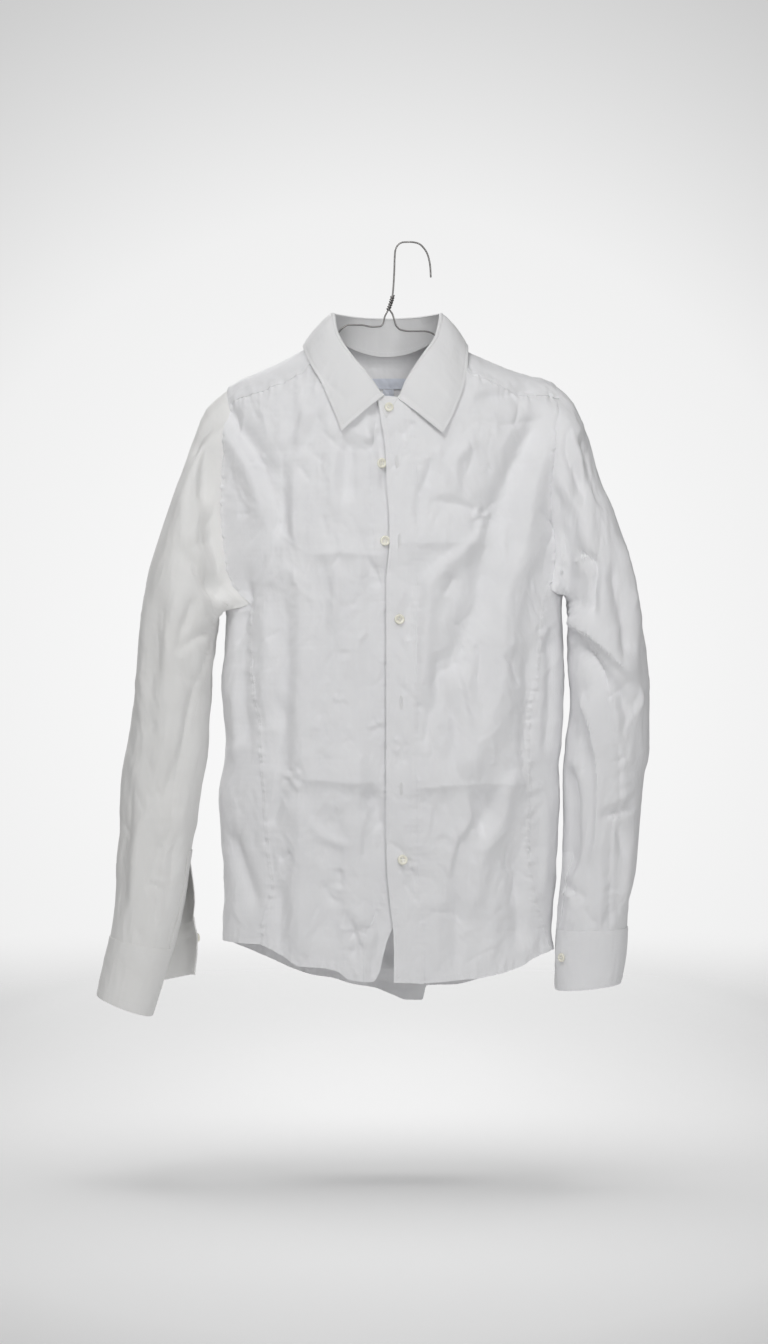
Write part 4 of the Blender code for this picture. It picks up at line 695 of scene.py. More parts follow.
class Noise:
    """Seeded smooth noise over two coordinates, from about -1 to 1."""

    size = 64

    def __init__(self, seed: int) -> None:
        """Draw a slope for each corner of a square grid."""
        angles = np.random.default_rng(seed).uniform(0.0, 2.0 * math.pi, (self.size, self.size))
        self.lean = np.stack([np.cos(angles), np.sin(angles)], axis=-1)

    def at(self, a: Array, b: Array) -> Array:
        """Read the noise at places whose grid step is 1.

        Args:
            a: The first coordinate of each place.
            b: The second coordinate of each place.

        Returns:
            The noise at each place.
        """
        low_a, low_b = np.floor(a), np.floor(b)
        part_a, part_b = a - low_a, b - low_b
        ease_a = part_a**3 * (part_a * (part_a * 6.0 - 15.0) + 10.0)
        ease_b = part_b**3 * (part_b * (part_b * 6.0 - 15.0) + 10.0)
        total = np.zeros_like(part_a)
        for step_a in (0, 1):
            for step_b in (0, 1):
                lean = self.lean[
                    (low_a.astype(int) + step_a) % self.size, (low_b.astype(int) + step_b) % self.size
                ]
                share_a = ease_a if step_a else 1.0 - ease_a
                share_b = ease_b if step_b else 1.0 - ease_b
                rise = lean[..., 0] * (part_a - step_a) + lean[..., 1] * (part_b - step_b)
                total += share_a * share_b * rise
        return 1.5 * total


class Crumple:
    """The small creases of cloth that was washed, packed and never pressed."""

    # size across, size down, height in millimetres, and whether it is creased or rounded
    layers = (
        (64.0, 90.0, 1.5, False),
        (33.0, 46.0, 1.7, True),
        (18.0, 27.0, 1.0, True),
        (9.0, 24.0, 0.5, True),
        (11.0, 13.0, 0.42, True),
        (6.0, 7.0, 0.16, False),
    )
    # how far the creases stray, so that they never lie in rows
    wandering = 13.0

    def __init__(self, seed: int, strength: float = 1.0) -> None:
        """Draw the noise of each layer, and of the wandering of its creases.

        Args:
            seed: What the noise is drawn from.
            strength: How strong the creases are, 1 being the layers' own height.
        """
        self.strength = strength
        self.noises = [Noise(seed * 31 + index) for index in range(len(self.layers))]
        self.patches = [Noise(seed * 31 + 10 + index) for index in range(len(self.layers))]
        self.wander = (Noise(seed * 31 + 20), Noise(seed * 31 + 21))

    def at(self, a: Array, b: Array) -> Array:
        """Read how far the creases stand out at places in millimetres.

        Args:
            a: The first coordinate of each place.
            b: The second coordinate of each place.

        Returns:
            How far they stand out at each place.
        """
        aside = a + self.wandering * self.wander[0].at(a / 47.0, b / 61.0)
        along = b + self.wandering * self.wander[1].at(a / 53.0, b / 57.0)
        total = np.zeros_like(aside)
        for noise, patch, (across, down, height, creased) in zip(
            self.noises, self.patches, self.layers
        ):
            value = noise.at(aside / across, along / down)
            if creased:
                # a crease is sharp where the noise changes sign, and fades out in patches
                value = 0.42 - 1.25 * np.sqrt(value**2 + 0.0016)
                value *= 0.35 + 1.1 * smooth(0.5 + 1.3 * patch.at(a / across / 2.1, b / down / 2.1))
            total += height * value
        return self.strength * total


class Relief:
    """Folds laid on a surface, each along its own line."""

    def __init__(self, folds: Iterable, stars: Iterable = (), seed: int = 0) -> None:
        """Lay out the folds, and the short creases that run out from each star.

        Args:
            folds: The folds, a row of sizes for each.
            stars: The stars, a row of sizes for each.
            seed: What the creases of the stars are drawn from.
        """
        self.lines = [
            (route_through(points, 5.0), left, right, height, shape)
            for points, left, right, height, shape in folds
        ]
        draw = np.random.default_rng(seed)
        for (x, z), reach, arms, height in stars:
            first = draw.uniform(0.0, 360.0)
            for arm in range(arms):
                angle = math.radians(first + 360.0 * (arm + draw.uniform(-0.3, 0.3)) / arms)
                out = np.array([math.cos(angle), math.sin(angle)]) * reach * draw.uniform(0.7, 1.4)
                ends = [np.array([x, z]) - 0.45 * out, np.array([x, z]) + out]
                sign = 1.0 if arm % 2 else -0.7
                self.lines.append((route_through(ends, 3.0), 2.6, 3.4, sign * height, SHARP))

    def scatter(self, sides: Sequence[float], count: int, seed: int) -> None:
        """Add short fine creases that run mostly down the cloth.

        Args:
            sides: The left, right, lower and upper side of the place they lie in.
            count: How many there are.
            seed: What their places are drawn from.
        """
        draw = np.random.default_rng(seed)
        left, right, low, high = sides
        for _ in range(count):
            middle = np.array([draw.uniform(left, right), draw.uniform(low, high)])
            angle = math.radians(draw.normal(84.0, 26.0))
            along = np.array([math.cos(angle), math.sin(angle)]) * draw.uniform(8.0, 26.0)
            aside = np.array([-along[1], along[0]]) * draw.uniform(-0.3, 0.3)
            route = route_through([middle - along, middle + aside, middle + along], 3.0)
            height = draw.choice((-1.0, 0.8)) * draw.uniform(0.5, 1.2)
            near, far = draw.uniform(1.8, 4.2, 2)
            self.lines.append((route, near, far, height, SHARP))

    def at(self, a: Array, b: Array) -> Array:
        """Add up how far the folds stand out at places.

        Args:
            a: The first coordinate of each place.
            b: The second coordinate of each place.

        Returns:
            How far they stand out at each place, in millimetres.
        """
        places = np.stack([a, b], axis=-1)
        total = np.zeros(len(places))
        for route, left, right, height, shape in self.lines:
            room = 3.2 * max(left, right)
            near = np.nonzero(
                (places > route.min(axis=0) - room).all(axis=1)
                & (places < route.max(axis=0) + room).all(axis=1)
            )[0]
            if not len(near):
                continue
            gaps, ways = gaps_to(route, places[near])
            whole = float(np.linalg.norm(np.diff(route, axis=0), axis=1).sum())
            ease = max(4.0, min(0.3 * whole, 32.0))
            taper = smooth(0.12 + ways / ease) * smooth(0.12 + (whole - ways) / ease)
            width = np.where(gaps > 0.0, right, left)
            if shape is SOFT:
                across = np.exp(-((gaps / width) ** 2))
            else:
                across = 1.2 * np.exp(-(np.sqrt(gaps**2 + 0.8) - 0.9) / width)
            total[near] += height * taper * across
        return total


class Surface:
    """A cloth surface. A place on it is given by u and v in its flat pattern."""

    # how far off the places lie that tell which way the cloth faces, and which side is the outer one
    step = 0.6
    sense = 1.0

    def base(self, u: Array, v: Array) -> Array:
        """Place points in space without their folds."""
        raise NotImplementedError

    def lift(self, u: Array, v: Array) -> Array:
        """Tell how far the folds stand out."""
        raise NotImplementedError

    def facing(self, u: Array, v: Array) -> Array:
        """Tell which way the outer side faces.

        Args:
            u: Each place's u in the flat pattern.
            v: Each place's v in the flat pattern.

        Returns:
            A unit vector for each place.
        """
        across = self.base(u + self.step, v) - self.base(u - self.step, v)
        along = self.base(u, v + self.step) - self.base(u, v - self.step)
        return self.sense * unit(np.cross(across, along))

    def at(self, u: Array, v: Array, above: Array | float = 0.0) -> Array:
        """Place points on the folded cloth, or above it."""
        out = self.facing(u, v)
        return self.base(u, v) + out * (self.lift(u, v) + above)[:, None]


def way_down(drop: Array, size: float, arc: float) -> Array:
    """Turn a drop below the ridge into the way over the cloth."""
    opened = np.arccos(1.0 - np.clip(drop / size, 0.0, 1.0)) / (math.pi / 2)
    return opened * arc + np.maximum(drop - size, 0.0)


class Body(Surface):
    """The form of the garment round the body; u is the turn times a scale, v the height."""

    def __init__(self) -> None:
        """Keep the curves of the form and the folds of the front and back."""
        self.rows = Table(BODY)
        self.ridge = Table(RIDGE)
        self.lead = Table(UNDER_LEAD)
        self.placket_edge = Table(PLACKET_EDGE)
        self.front = Relief(FRONT_FOLDS, FRONT_STARS, SEED)
        self.back = Relief(BACK_FOLDS, BACK_STARS, SEED + 1)
        self.front.scatter((-205.0, 165.0, -840.0, -190.0), 170, SEED + 4)
        self.back.scatter((-205.0, 165.0, -850.0, -200.0), 120, SEED + 5)
        self.grain = Crumple(SEED + 2)
        self.side_grain = Crumple(SEED + 3, 0.8)

    def row(self, z: Array) -> tuple[Array, Array]:
        """Give the middle x and the half-width at heights."""
        left, right = self.rows.at(z, 0), self.rows.at(z, 1)
        return (left + right) / 2, (right - left) / 2

    def turn_at(self, x: Array | float, z: Array | float, back: bool = False) -> Array:
        """Find the turn in degrees of places given by x and height.

        Args:
            x: x of each place.
            z: Height of each place.
            back: Whether the places are on the back.

        Returns:
            The turn of each place.
        """
        middle, half = self.row(z)
        angle = np.degrees(np.arcsin(np.clip((np.asarray(x, float) - middle) / half, -1.0, 1.0)))
        return -180.0 - angle if back else angle

    def pattern(self, points: Rows | Array, back: bool = False) -> Array:
        """Turn x and height into places of the flat pattern.

        Args:
            points: x and height of each place.
            back: Whether the places are on the back.

        Returns:
            The places, a row of u and v for each.
        """
        given = np.array(points, float)
        turn = self.turn_at(given[:, 0], given[:, 1], back)
        return np.stack([np.radians(turn) * TURN_SCALE, given[:, 1]], axis=-1)

    def turned(self, points: Rows, shift: float = 0.0) -> Array:
        """Turn a turn round the body and a height into places of the flat pattern."""
        given = np.array(points, float)
        return np.stack([np.radians(given[:, 0] + shift) * TURN_SCALE, given[:, 1]], axis=-1)

    def base(self, u: Array, v: Array) -> Array:
        """Place points in space without their folds.

        Args:
            u: Each place's u in the flat pattern.
            v: Each place's v in the flat pattern.

        Returns:
            The points in millimetres.
        """
        turn = u / TURN_SCALE
        middle, half = self.row(v)
        x = middle + half * np.sin(turn)
        ahead = np.cos(turn)
        drop = self.ridge.at(x) - v
        front_roof = np.sqrt(1.0 - (1.0 - np.clip(drop / FRONT_ROOF, 0.0, 1.0)) ** 2)
        back_roof = np.sqrt(1.0 - (1.0 - np.clip(drop / BACK_ROOF, 0.0, 1.0)) ** 2)
        lean = 1.0 - HEM_LEAN * smooth((LEAN_START - v) / LEAN_REACH)
        front = -self.rows.at(v, 2) * np.maximum(ahead, 0.0) ** FRONT_POWER * front_roof * lean
        back = self.rows.at(v, 3) * np.maximum(-ahead, 0.0) ** BACK_POWER * back_roof
        return np.stack([x, front + back, v], axis=-1)

    def calm(self, x: Array, z: Array, back: bool) -> Array:
        """Tell how free the cloth is of the collar's seam, from 0 to 1.

        Args:
            x: x of each place.
            z: Height of each place.
            back: Whether the places are on the back.

        Returns:
            The share at each place.
        """
        aside = np.abs(x - NECK_X) / NECK_HALF_WIDTH
        past = np.maximum(aside - 1.0, 0.0) * NECK_HALF_WIDTH
        if back:
            gap = self.ridge.at(x) - NECK_BACK_DROP * np.maximum(1.0 - aside**2, 0.0) - z
        else:
            gap = (self.ridge.at(x) - FRONT_ROOF * np.maximum(1.0 - aside, 0.0) - z) / 2
        return smooth((np.maximum(gap, 0.0) + past) / 18.0)

    def lift(self, u: Array, v: Array) -> Array:
        """Tell how far the folds stand out.

        Args:
            u: Each place's u in the flat pattern.
            v: Each place's v in the flat pattern.

        Returns:
            The height of the folds and creases at each place, in millimetres.
        """
        turn = u / TURN_SCALE
        middle, half = self.row(v)
        x = middle + half * np.sin(turn)
        ahead = np.cos(turn)
        drop = self.ridge.at(x) - v
        facing = smooth(2.5 * np.abs(ahead))
        in_front = ahead >= 0.0
        quiet = np.where(in_front, self.calm(x, v, False), self.calm(x, v, True))
        free = facing * smooth(drop / RIDGE_CALM) * quiet
        folds = self.front.at(x, v) * np.where(in_front, free, 0.0)
        folds += self.back.at(x, v) * np.where(in_front, 0.0, free)
        down_front, down_back = -way_down(drop, FRONT_ROOF, FRONT_ARC), way_down(drop, BACK_ROOF, BACK_ARC)
        over = np.where(in_front, down_front, down_back)
        y = self.base(u, v)[:, 1]
        grain = self.grain.at(x, over) * facing + self.side_grain.at(y, v) * (1.0 - facing)
        return BODY_FOLDS * folds + grain * quiet


class UnderBody(Surface):
    """The front that runs beneath the placket, on the same form as the body."""

    def __init__(self, body: Body) -> None:
        """Keep the form it follows."""
        self.body = body

    def beneath(self, x: Array, z: Array) -> Array:
        """Tell how far the front has stepped in, from 0 to 1."""
        lead, run = self.body.lead.at(z, 0), self.body.lead.at(z, 1)
        return smooth((x - self.body.placket_edge.at(z) + lead) / run)

    def base(self, u: Array, v: Array) -> Array:
        """Place points in space without their folds.

        Args:
            u: Each place's u in the flat pattern.
            v: Each place's v in the flat pattern.

        Returns:
            The points in millimetres.
        """
        places = self.body.base(u, v)
        places[:, 1] += LAYER_STEP * self.beneath(places[:, 0], v)
        return places

    def lift(self, u: Array, v: Array) -> Array:
        """Tell how far the folds stand out."""
        return self.body.lift(u, v)


class Yoke(Surface):
    """The cloth over the shoulders; u is x and v the way over the ridge, front negative."""

    def __init__(self, body: Body) -> None:
        """Keep the form it follows."""
        self.body = body

    def spots(self, u: Array, v: Array) -> tuple[Array, Array]:
        """Give the places in the body's pattern.

        Args:
            u: Each place's u in the flat pattern.
            v: Each place's v in the flat pattern.

        Returns:
            u and v of each place there.
        """
        front = v < 0.0
        size = np.where(front, FRONT_ROOF, BACK_ROOF)
        arc = np.where(front, FRONT_ARC, BACK_ARC)
        opened = np.minimum(np.abs(v) / arc, 1.0) * math.pi / 2
        drop = size * (1.0 - np.cos(opened)) + np.maximum(np.abs(v) - arc, 0.0)
        z = self.body.ridge.at(u) - drop
        turn = np.where(front, self.body.turn_at(u, z), self.body.turn_at(u, z, back=True))
        return np.radians(turn) * TURN_SCALE, z

    def base(self, u: Array, v: Array) -> Array:
        """Place points in space without their folds."""
        return self.body.base(*self.spots(u, v))

    def lift(self, u: Array, v: Array) -> Array:
        """Tell how far the folds stand out."""
        return self.body.lift(*self.spots(u, v))

    def pattern(self, points: Rows | Array, back: bool) -> Array:
        """Turn x and height into places of the yoke's flat pattern.

        Args:
            points: x and height of each place.
            back: Whether the places are on the back.

        Returns:
            The places, a row of u and v for each.
        """
        given = np.array(points, float)
        size, arc = (BACK_ROOF, BACK_ARC) if back else (FRONT_ROOF, FRONT_ARC)
        way = way_down(np.maximum(self.body.ridge.at(given[:, 0]) - given[:, 1], 0.0), size, arc)
        return np.stack([given[:, 0], way if back else -way], axis=-1)


class Neck:
    """The neckline and the collar's fold, by the turn round the neck in degrees."""

    def __init__(self, body: Body) -> None:
        """Keep the form it is cut into.

        Args:
            body: The form of the body.
        """
        self.body = body
        self.fold_height = Table(COLLAR_FOLD)
        self.edge = Table(COLLAR_EDGE)

    def line(self, turn: Array) -> Array:
        """Give x and height of the neckline.

        Args:
            turn: The turn round the neck in degrees.

        Returns:
            x and height, a row for each turn.
        """
        side, ahead = np.sin(np.radians(turn)), np.cos(np.radians(turn))
        x = NECK_X + NECK_HALF_WIDTH * side
        ridge = self.body.ridge.at(x)
        front = ridge - FRONT_ROOF * (1.0 - np.abs(side))
        return np.stack([x, np.where(ahead >= 0.0, front, ridge - NECK_BACK_DROP * ahead**2)], -1)

    def turn_of(self, x: float) -> float:
        """Find the turn of the neckline's front at an x."""
        return math.degrees(math.asin((x - NECK_X) / NECK_HALF_WIDTH))

    def low(self, turn: Array) -> Array:
        """Place the neckline in space, stepped in where it runs beneath the placket.

        Args:
            turn: The turn round the neck in degrees.

        Returns:
            The points in millimetres.
        """
        spots = self.line(turn)
        ahead = np.cos(np.radians(turn))
        front = self.body.turn_at(spots[:, 0], spots[:, 1])
        back = self.body.turn_at(spots[:, 0], spots[:, 1], back=True)
        u = np.radians(np.where(ahead < 0.0, back, front)) * TURN_SCALE
        places = self.body.base(u, spots[:, 1])
        places[:, 1] += self.step_in(turn)
        return places

    def step_in(self, turn: Array) -> Array:
        """Tell how far the neckline steps in where it runs beneath the placket.

        Args:
            turn: The turn round the neck in degrees.

        Returns:
            The step at each turn, in millimetres.
        """
        x = self.line(turn)[:, 0]
        under = UnderBody(self.body).beneath(x, np.full(len(turn), PLACKET_EDGE[0][0]))
        return LAYER_STEP * under * (turn > -90.0)

    def fold(self, turn: Array) -> Array:
        """Place the collar's fold in space.

        Args:
            turn: The turn round the neck in degrees.

        Returns:
            The points in millimetres.
        """
        side, ahead = np.sin(np.radians(turn)), np.cos(np.radians(turn))
        return np.stack(
            [
                NECK_X + FOLD_HALF_WIDTH * side,
                FOLD_Y - FOLD_HALF_DEPTH * ahead,
                self.fold_height.at(turn),
            ],
            axis=-1,
        )

    def out(self, turn: Array) -> Array:
        """Tell which way leads out of the neck."""
        angle = np.radians(turn)
        return np.stack([np.sin(angle), -np.cos(angle), np.zeros_like(angle)], axis=-1)

    def square(self, turn: Array) -> Array:
        """Tell which way stands square on the fold.

        Args:
            turn: The turn round the neck in degrees.

        Returns:
            A unit vector for each turn.
        """
        along = self.fold(turn - 2.0) - self.fold(turn + 2.0)
        found = unit(np.cross(self.out(turn), along))
        return found * np.where(found[:, 2:] < 0.0, -1.0, 1.0)


class Edge(Enum):
    """How an edge of a cloth piece is finished."""

    OVER = "felled over its neighbour"
    UNDER = "caught under its neighbour"
    HEM = "turned in and stitched"
    PLAIN = "folded, or held in another piece"


@dataclass(frozen=True)
class Stretch:
    """A stretch of a piece's outline, with its route in the flat pattern."""

    route: Array
    edge: Edge
    runs_down: bool = False


def inside(outline: Array, places: Array) -> Array:
    """Tell which places lie inside a closed outline.

    Args:
        outline: The corners, in order.
        places: The places to test.

    Returns:
        True for each place that does.
    """
    following = np.roll(outline, -1, axis=0)
    found = np.zeros(len(places), bool)
    for (ax, ay), (bx, by) in zip(outline, following):
        if ay == by:
            continue
        crossed = (ay > places[:, 1]) != (by > places[:, 1])
        found ^= crossed & (places[:, 0] < ax + (places[:, 1] - ay) * (bx - ax) / (by - ay))
    return found


def inset(outline: Array, trims: Array) -> Array:
    """Move each edge of a closed outline inwards by its own amount.

    Args:
        outline: The corners, in order.
        trims: How far the edge from each corner to the next moves; outwards is negative.

    Returns:
        The moved corners.
    """
    following = np.roll(outline, -1, axis=0)
    area = (outline[:, 0] * following[:, 1] - following[:, 0] * outline[:, 1]).sum()
    legs = unit(following - outline)
    after = np.stack([-legs[:, 1], legs[:, 0]], axis=-1) * (1.0 if area > 0.0 else -1.0)
    before = np.roll(after, 1, axis=0)
    first = np.roll(trims, 1)
    turn = before[:, 0] * after[:, 1] - before[:, 1] * after[:, 0]
    sharp = np.abs(turn) > 0.15
    safe = np.where(sharp, turn, 1.0)
    solved = np.stack(
        [
            (first * after[:, 1] - trims * before[:, 1]) / safe,
            (trims * before[:, 0] - first * after[:, 0]) / safe,
        ],
        axis=-1,
    )
    mean = (before + after) / 2 * ((first + trims) / 2)[:, None]
    return outline + np.where(sharp[:, None], solved, mean)


def filled(outline: Array, cell: float) -> tuple[Array, Array]:
    """Fill a flat outline with even triangles.

    Args:
        outline: The corners, in order.
        cell: The size of a triangle's side.

    Returns:
        The points and the triangles.
    """
    low, high = outline.min(axis=0), outline.max(axis=0)
    rows = np.arange(low[1], high[1], cell * math.sqrt(0.75))
    columns = np.arange(low[0], high[0] + cell, cell)
    grid_u, grid_v = np.meshgrid(columns, rows)
    grid_u = grid_u + 0.5 * cell * (np.arange(len(rows)) % 2)[:, None]
    places = np.stack([grid_u.ravel(), grid_v.ravel()], axis=-1)
    places = places[inside(outline, places)]
    closed = np.concatenate([outline, outline[:1]])
    places = places[np.abs(gaps_to(closed, places)[0]) > 0.6 * cell]
    count = len(outline)
    edges = [(index, (index + 1) % count) for index in range(count)]
    given = [tuple(place) for place in np.concatenate([outline, places])]
    points, _, faces, _, _, _ = delaunay_2d_cdt(given, edges, [], 1, 1e-5, False)
    points, faces = np.array([tuple(point) for point in points]), np.array(faces)
    faces = faces[inside(outline, points[faces].mean(axis=1))]
    used, faces = np.unique(faces, return_inverse=True)
    return points[used], faces.reshape(-1, 3)


def face_ways(points: Array, faces: Array) -> Array:
    """Tell which way each triangle faces, in a vector as long as twice its area."""
    corners = points[faces]
    return np.cross(corners[:, 1] - corners[:, 0], corners[:, 2] - corners[:, 0])


def face_edges(faces: Array) -> Array:
    """List the three edges of each triangle, in its sense."""
    return np.concatenate([faces[:, [0, 1]], faces[:, [1, 2]], faces[:, [2, 0]]])


def outward(points: Array, faces: Array, centre: Sequence[float]) -> Array:
    """Turn all faces so that, as a whole, they look away from a centre."""
    away = points[faces].mean(axis=1) - np.array(centre, float)
    return faces[:, ::-1] if (face_ways(points, faces) * away).sum() < 0.0 else faces


def shell(points: Array, faces: Array, wall: Array | float) -> tuple[Array, Array]:
    """Thicken a surface both ways into a closed wall.

    Args:
        points: The points of the middle surface.
        faces: Its triangles, looking outwards.
        wall: The thickness, one for all points or one for each.

    Returns:
        The points, outer side first, and the triangles.
    """
    facing = face_ways(points, faces)
    normals = np.zeros_like(points)
    for column in range(3):
        np.add.at(normals, faces[:, column], facing)
    half = unit(normals) * (np.broadcast_to(wall, len(points)) / 2)[:, None]
    count = len(points)
    sides = face_edges(faces)
    keys = sides[:, 0].astype(np.int64) * count + sides[:, 1]
    turned = sides[:, 1].astype(np.int64) * count + sides[:, 0]
    start, end = sides[~np.isin(keys, turned)].T
    rim = np.concatenate(
        [
            np.stack([end, start, count + start], axis=-1),
            np.stack([end, count + start, count + end], axis=-1),
        ]
    )
    whole = np.concatenate([faces, count + faces[:, ::-1], rim])
    return np.concatenate([points + half, points - half]), whole


def grid_faces(index: Array) -> Array:
    """List the triangles of a grid of point numbers.

    Args:
        index: The point numbers, in rows and columns.

    Returns:
        The triangles.
    """
    a, b, c, d = index[:-1, :-1], index[:-1, 1:], index[1:, 1:], index[1:, :-1]
    return np.concatenate(
        [np.stack([a, b, c], -1).reshape(-1, 3), np.stack([a, c, d], -1).reshape(-1, 3)]
    )


def net(first: Array, second: Array) -> tuple[Array, Array, Array]:
    """Cross two rows of places: give both coordinates of each crossing, and the triangles.

    Args:
        first: The first coordinate of each row.
        second: The second one of each column.

    Returns:
        The first coordinates, the second coordinates and the triangles.
    """
    rows, columns = np.meshgrid(first, second, indexing="ij")
    faces = grid_faces(np.arange(rows.size).reshape(rows.shape))
    return rows.ravel(), columns.ravel(), faces


def add_mesh(
    name: str,
    points: Array,
    faces: Array,
    finish: bpy.types.Material,
    flat: Array | None = None,
    crease: float = 50.0,
) -> bpy.types.Object:
    """Make a smooth object from millimetre points.

    Args:
        name: The name of the piece.
        points: Its points in millimetres.
        faces: Its triangles.
        finish: Its material.
        flat: Each point's place in the flat pattern, in millimetres, where it is cloth.
        crease: The angle in degrees past which an edge stays sharp.

    Returns:
        The object.
    """
    mesh = bpy.data.meshes.new(name)
    mesh.vertices.add(len(points))
    mesh.vertices.foreach_set("co", (points * MM).astype(np.float32).ravel())
    mesh.loops.add(faces.size)
    mesh.loops.foreach_set("vertex_index", faces.astype(np.int32).ravel())
    mesh.polygons.add(len(faces))
    mesh.polygons.foreach_set("loop_start", np.arange(0, faces.size, 3, dtype=np.int32))
    mesh.update(calc_edges=True)
    if flat is not None:
        layer = mesh.uv_layers.new(name="cloth")
        layer.data.foreach_set("uv", (flat[faces.ravel()] * MM).astype(np.float32).ravel())
    mesh.polygons.foreach_set("use_smooth", np.ones(len(faces), bool))
    mesh.set_sharp_from_angle(angle=math.radians(crease))
    mesh.materials.append(finish)
    mesh.validate()
    obj = bpy.data.objects.new(name, mesh)
    bpy.context.scene.collection.objects.link(obj)
    # the vectors are twice as long as the area in square millimetres, and there are two sides
    area = np.linalg.norm(face_ways(points, faces), axis=1).sum() / 2 / 2 * MM**2
    log.info("%s: %d triangles, %.4f m2 each side", name, len(faces), area)
    return obj


class Held(Enum):
    """How a sheet of cloth is held."""

    HUNG = "hung"
    FOLDED = "folded"
    LAID = "laid"


@dataclass(frozen=True)
class Cut:
    """The flat cut of a cloth piece in millimetres, and how it is held."""

    width: float
    length: float
    rests_on: tuple[str, ...]
    held: Held = Held.HUNG
    share: float = 1.0


def dress(obj: bpy.types.Object, nodes: Sequence[str]) -> None:
    """Parent a finished piece to the body, and hide the solids that it stands for.

    Args:
        obj: The piece.
        nodes: The solids that it stands for.
    """
    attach(obj, BODY_NAME)
    if nodes:
        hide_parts(*nodes)


def add_cloth(
    node: str,
    surface: tuple[Array, Array, Array],
    centre: Sequence[float],
    wall: Array | float,
    finish: bpy.types.Material,
    name: str = "",
) -> None:
    """Thicken a cloth surface, parent it to the body and hide the solid that it stands for.
        surface: The points of its middle surface, its triangles and each point's place in the flat pattern.
        centre: A place on its inner side.
        wall: Its thickness, one for all points or one for each.
        finish: Its material.
        name: The name of the piece, where it isn't the solid's with "_cloth" after it.
    """
    points, faces, flat = surface
    points, whole = shell(points, outward(points, faces, centre), wall)
    obj = add_mesh(name or f"{node}_cloth", points, whole, finish, np.concatenate([flat, flat]))
    dress(obj, [node])


def linear(hex_colour: str) -> tuple[float, float, float, float]:
    """Turn a screen colour such as F0F1F4 into a linear one.

    Args:
        hex_colour: The colour, in six hex digits.

    Returns:
        The linear colour, with an alpha of 1.
    """
    parts = [int(hex_colour[i : i + 2], 16) / 255.0 for i in (0, 2, 4)]
    curved = [p / 12.92 if p <= 0.04045 else ((p + 0.055) / 1.055) ** 2.4 for p in parts]
    return (curved[0], curved[1], curved[2], 1.0)


def add_node(
    tree: bpy.types.NodeTree, kind: str, inputs: dict | None = None, **settings: object
) -> bpy.types.Node:
    """Add a node with its settings and links.

    Args:
        tree: The tree that it goes into.
        kind: The node's type.
        inputs: A value or another node's output for each input, by its name or number.
        settings: The node's own properties.

    Returns:
        The node.
    """
    made = tree.nodes.new(kind)
    for name, value in settings.items():
        setattr(made, name, value)
    feed(made, inputs or {})
    return made


def feed(node: bpy.types.Node, inputs: dict) -> None:
    """Set a node's inputs to values, or link them to the outputs of other nodes.

    Args:
        node: The node.
        inputs: A value or another node's output for each input, by its name or number.
    """
    for name, given in inputs.items():
        if isinstance(given, Socket):
            node.id_data.links.new(given, node.inputs[name])
        else:
            node.inputs[name].default_value = given


def new_material(name: str) -> tuple[bpy.types.Material, bpy.types.NodeTree]:
    """Start a material and give it with its tree.

    Args:
        name: The name of the material.

    Returns:
        The material and its tree.
    """
    material = bpy.data.materials.new(name)
    material.use_nodes = True
    return material, material.node_tree


def finish_material(material: bpy.types.Material, inputs: dict) -> bpy.types.Material:
    """Feed a material's shader and give the material."""
    feed(material.node_tree.nodes["Principled BSDF"], inputs)
    return material


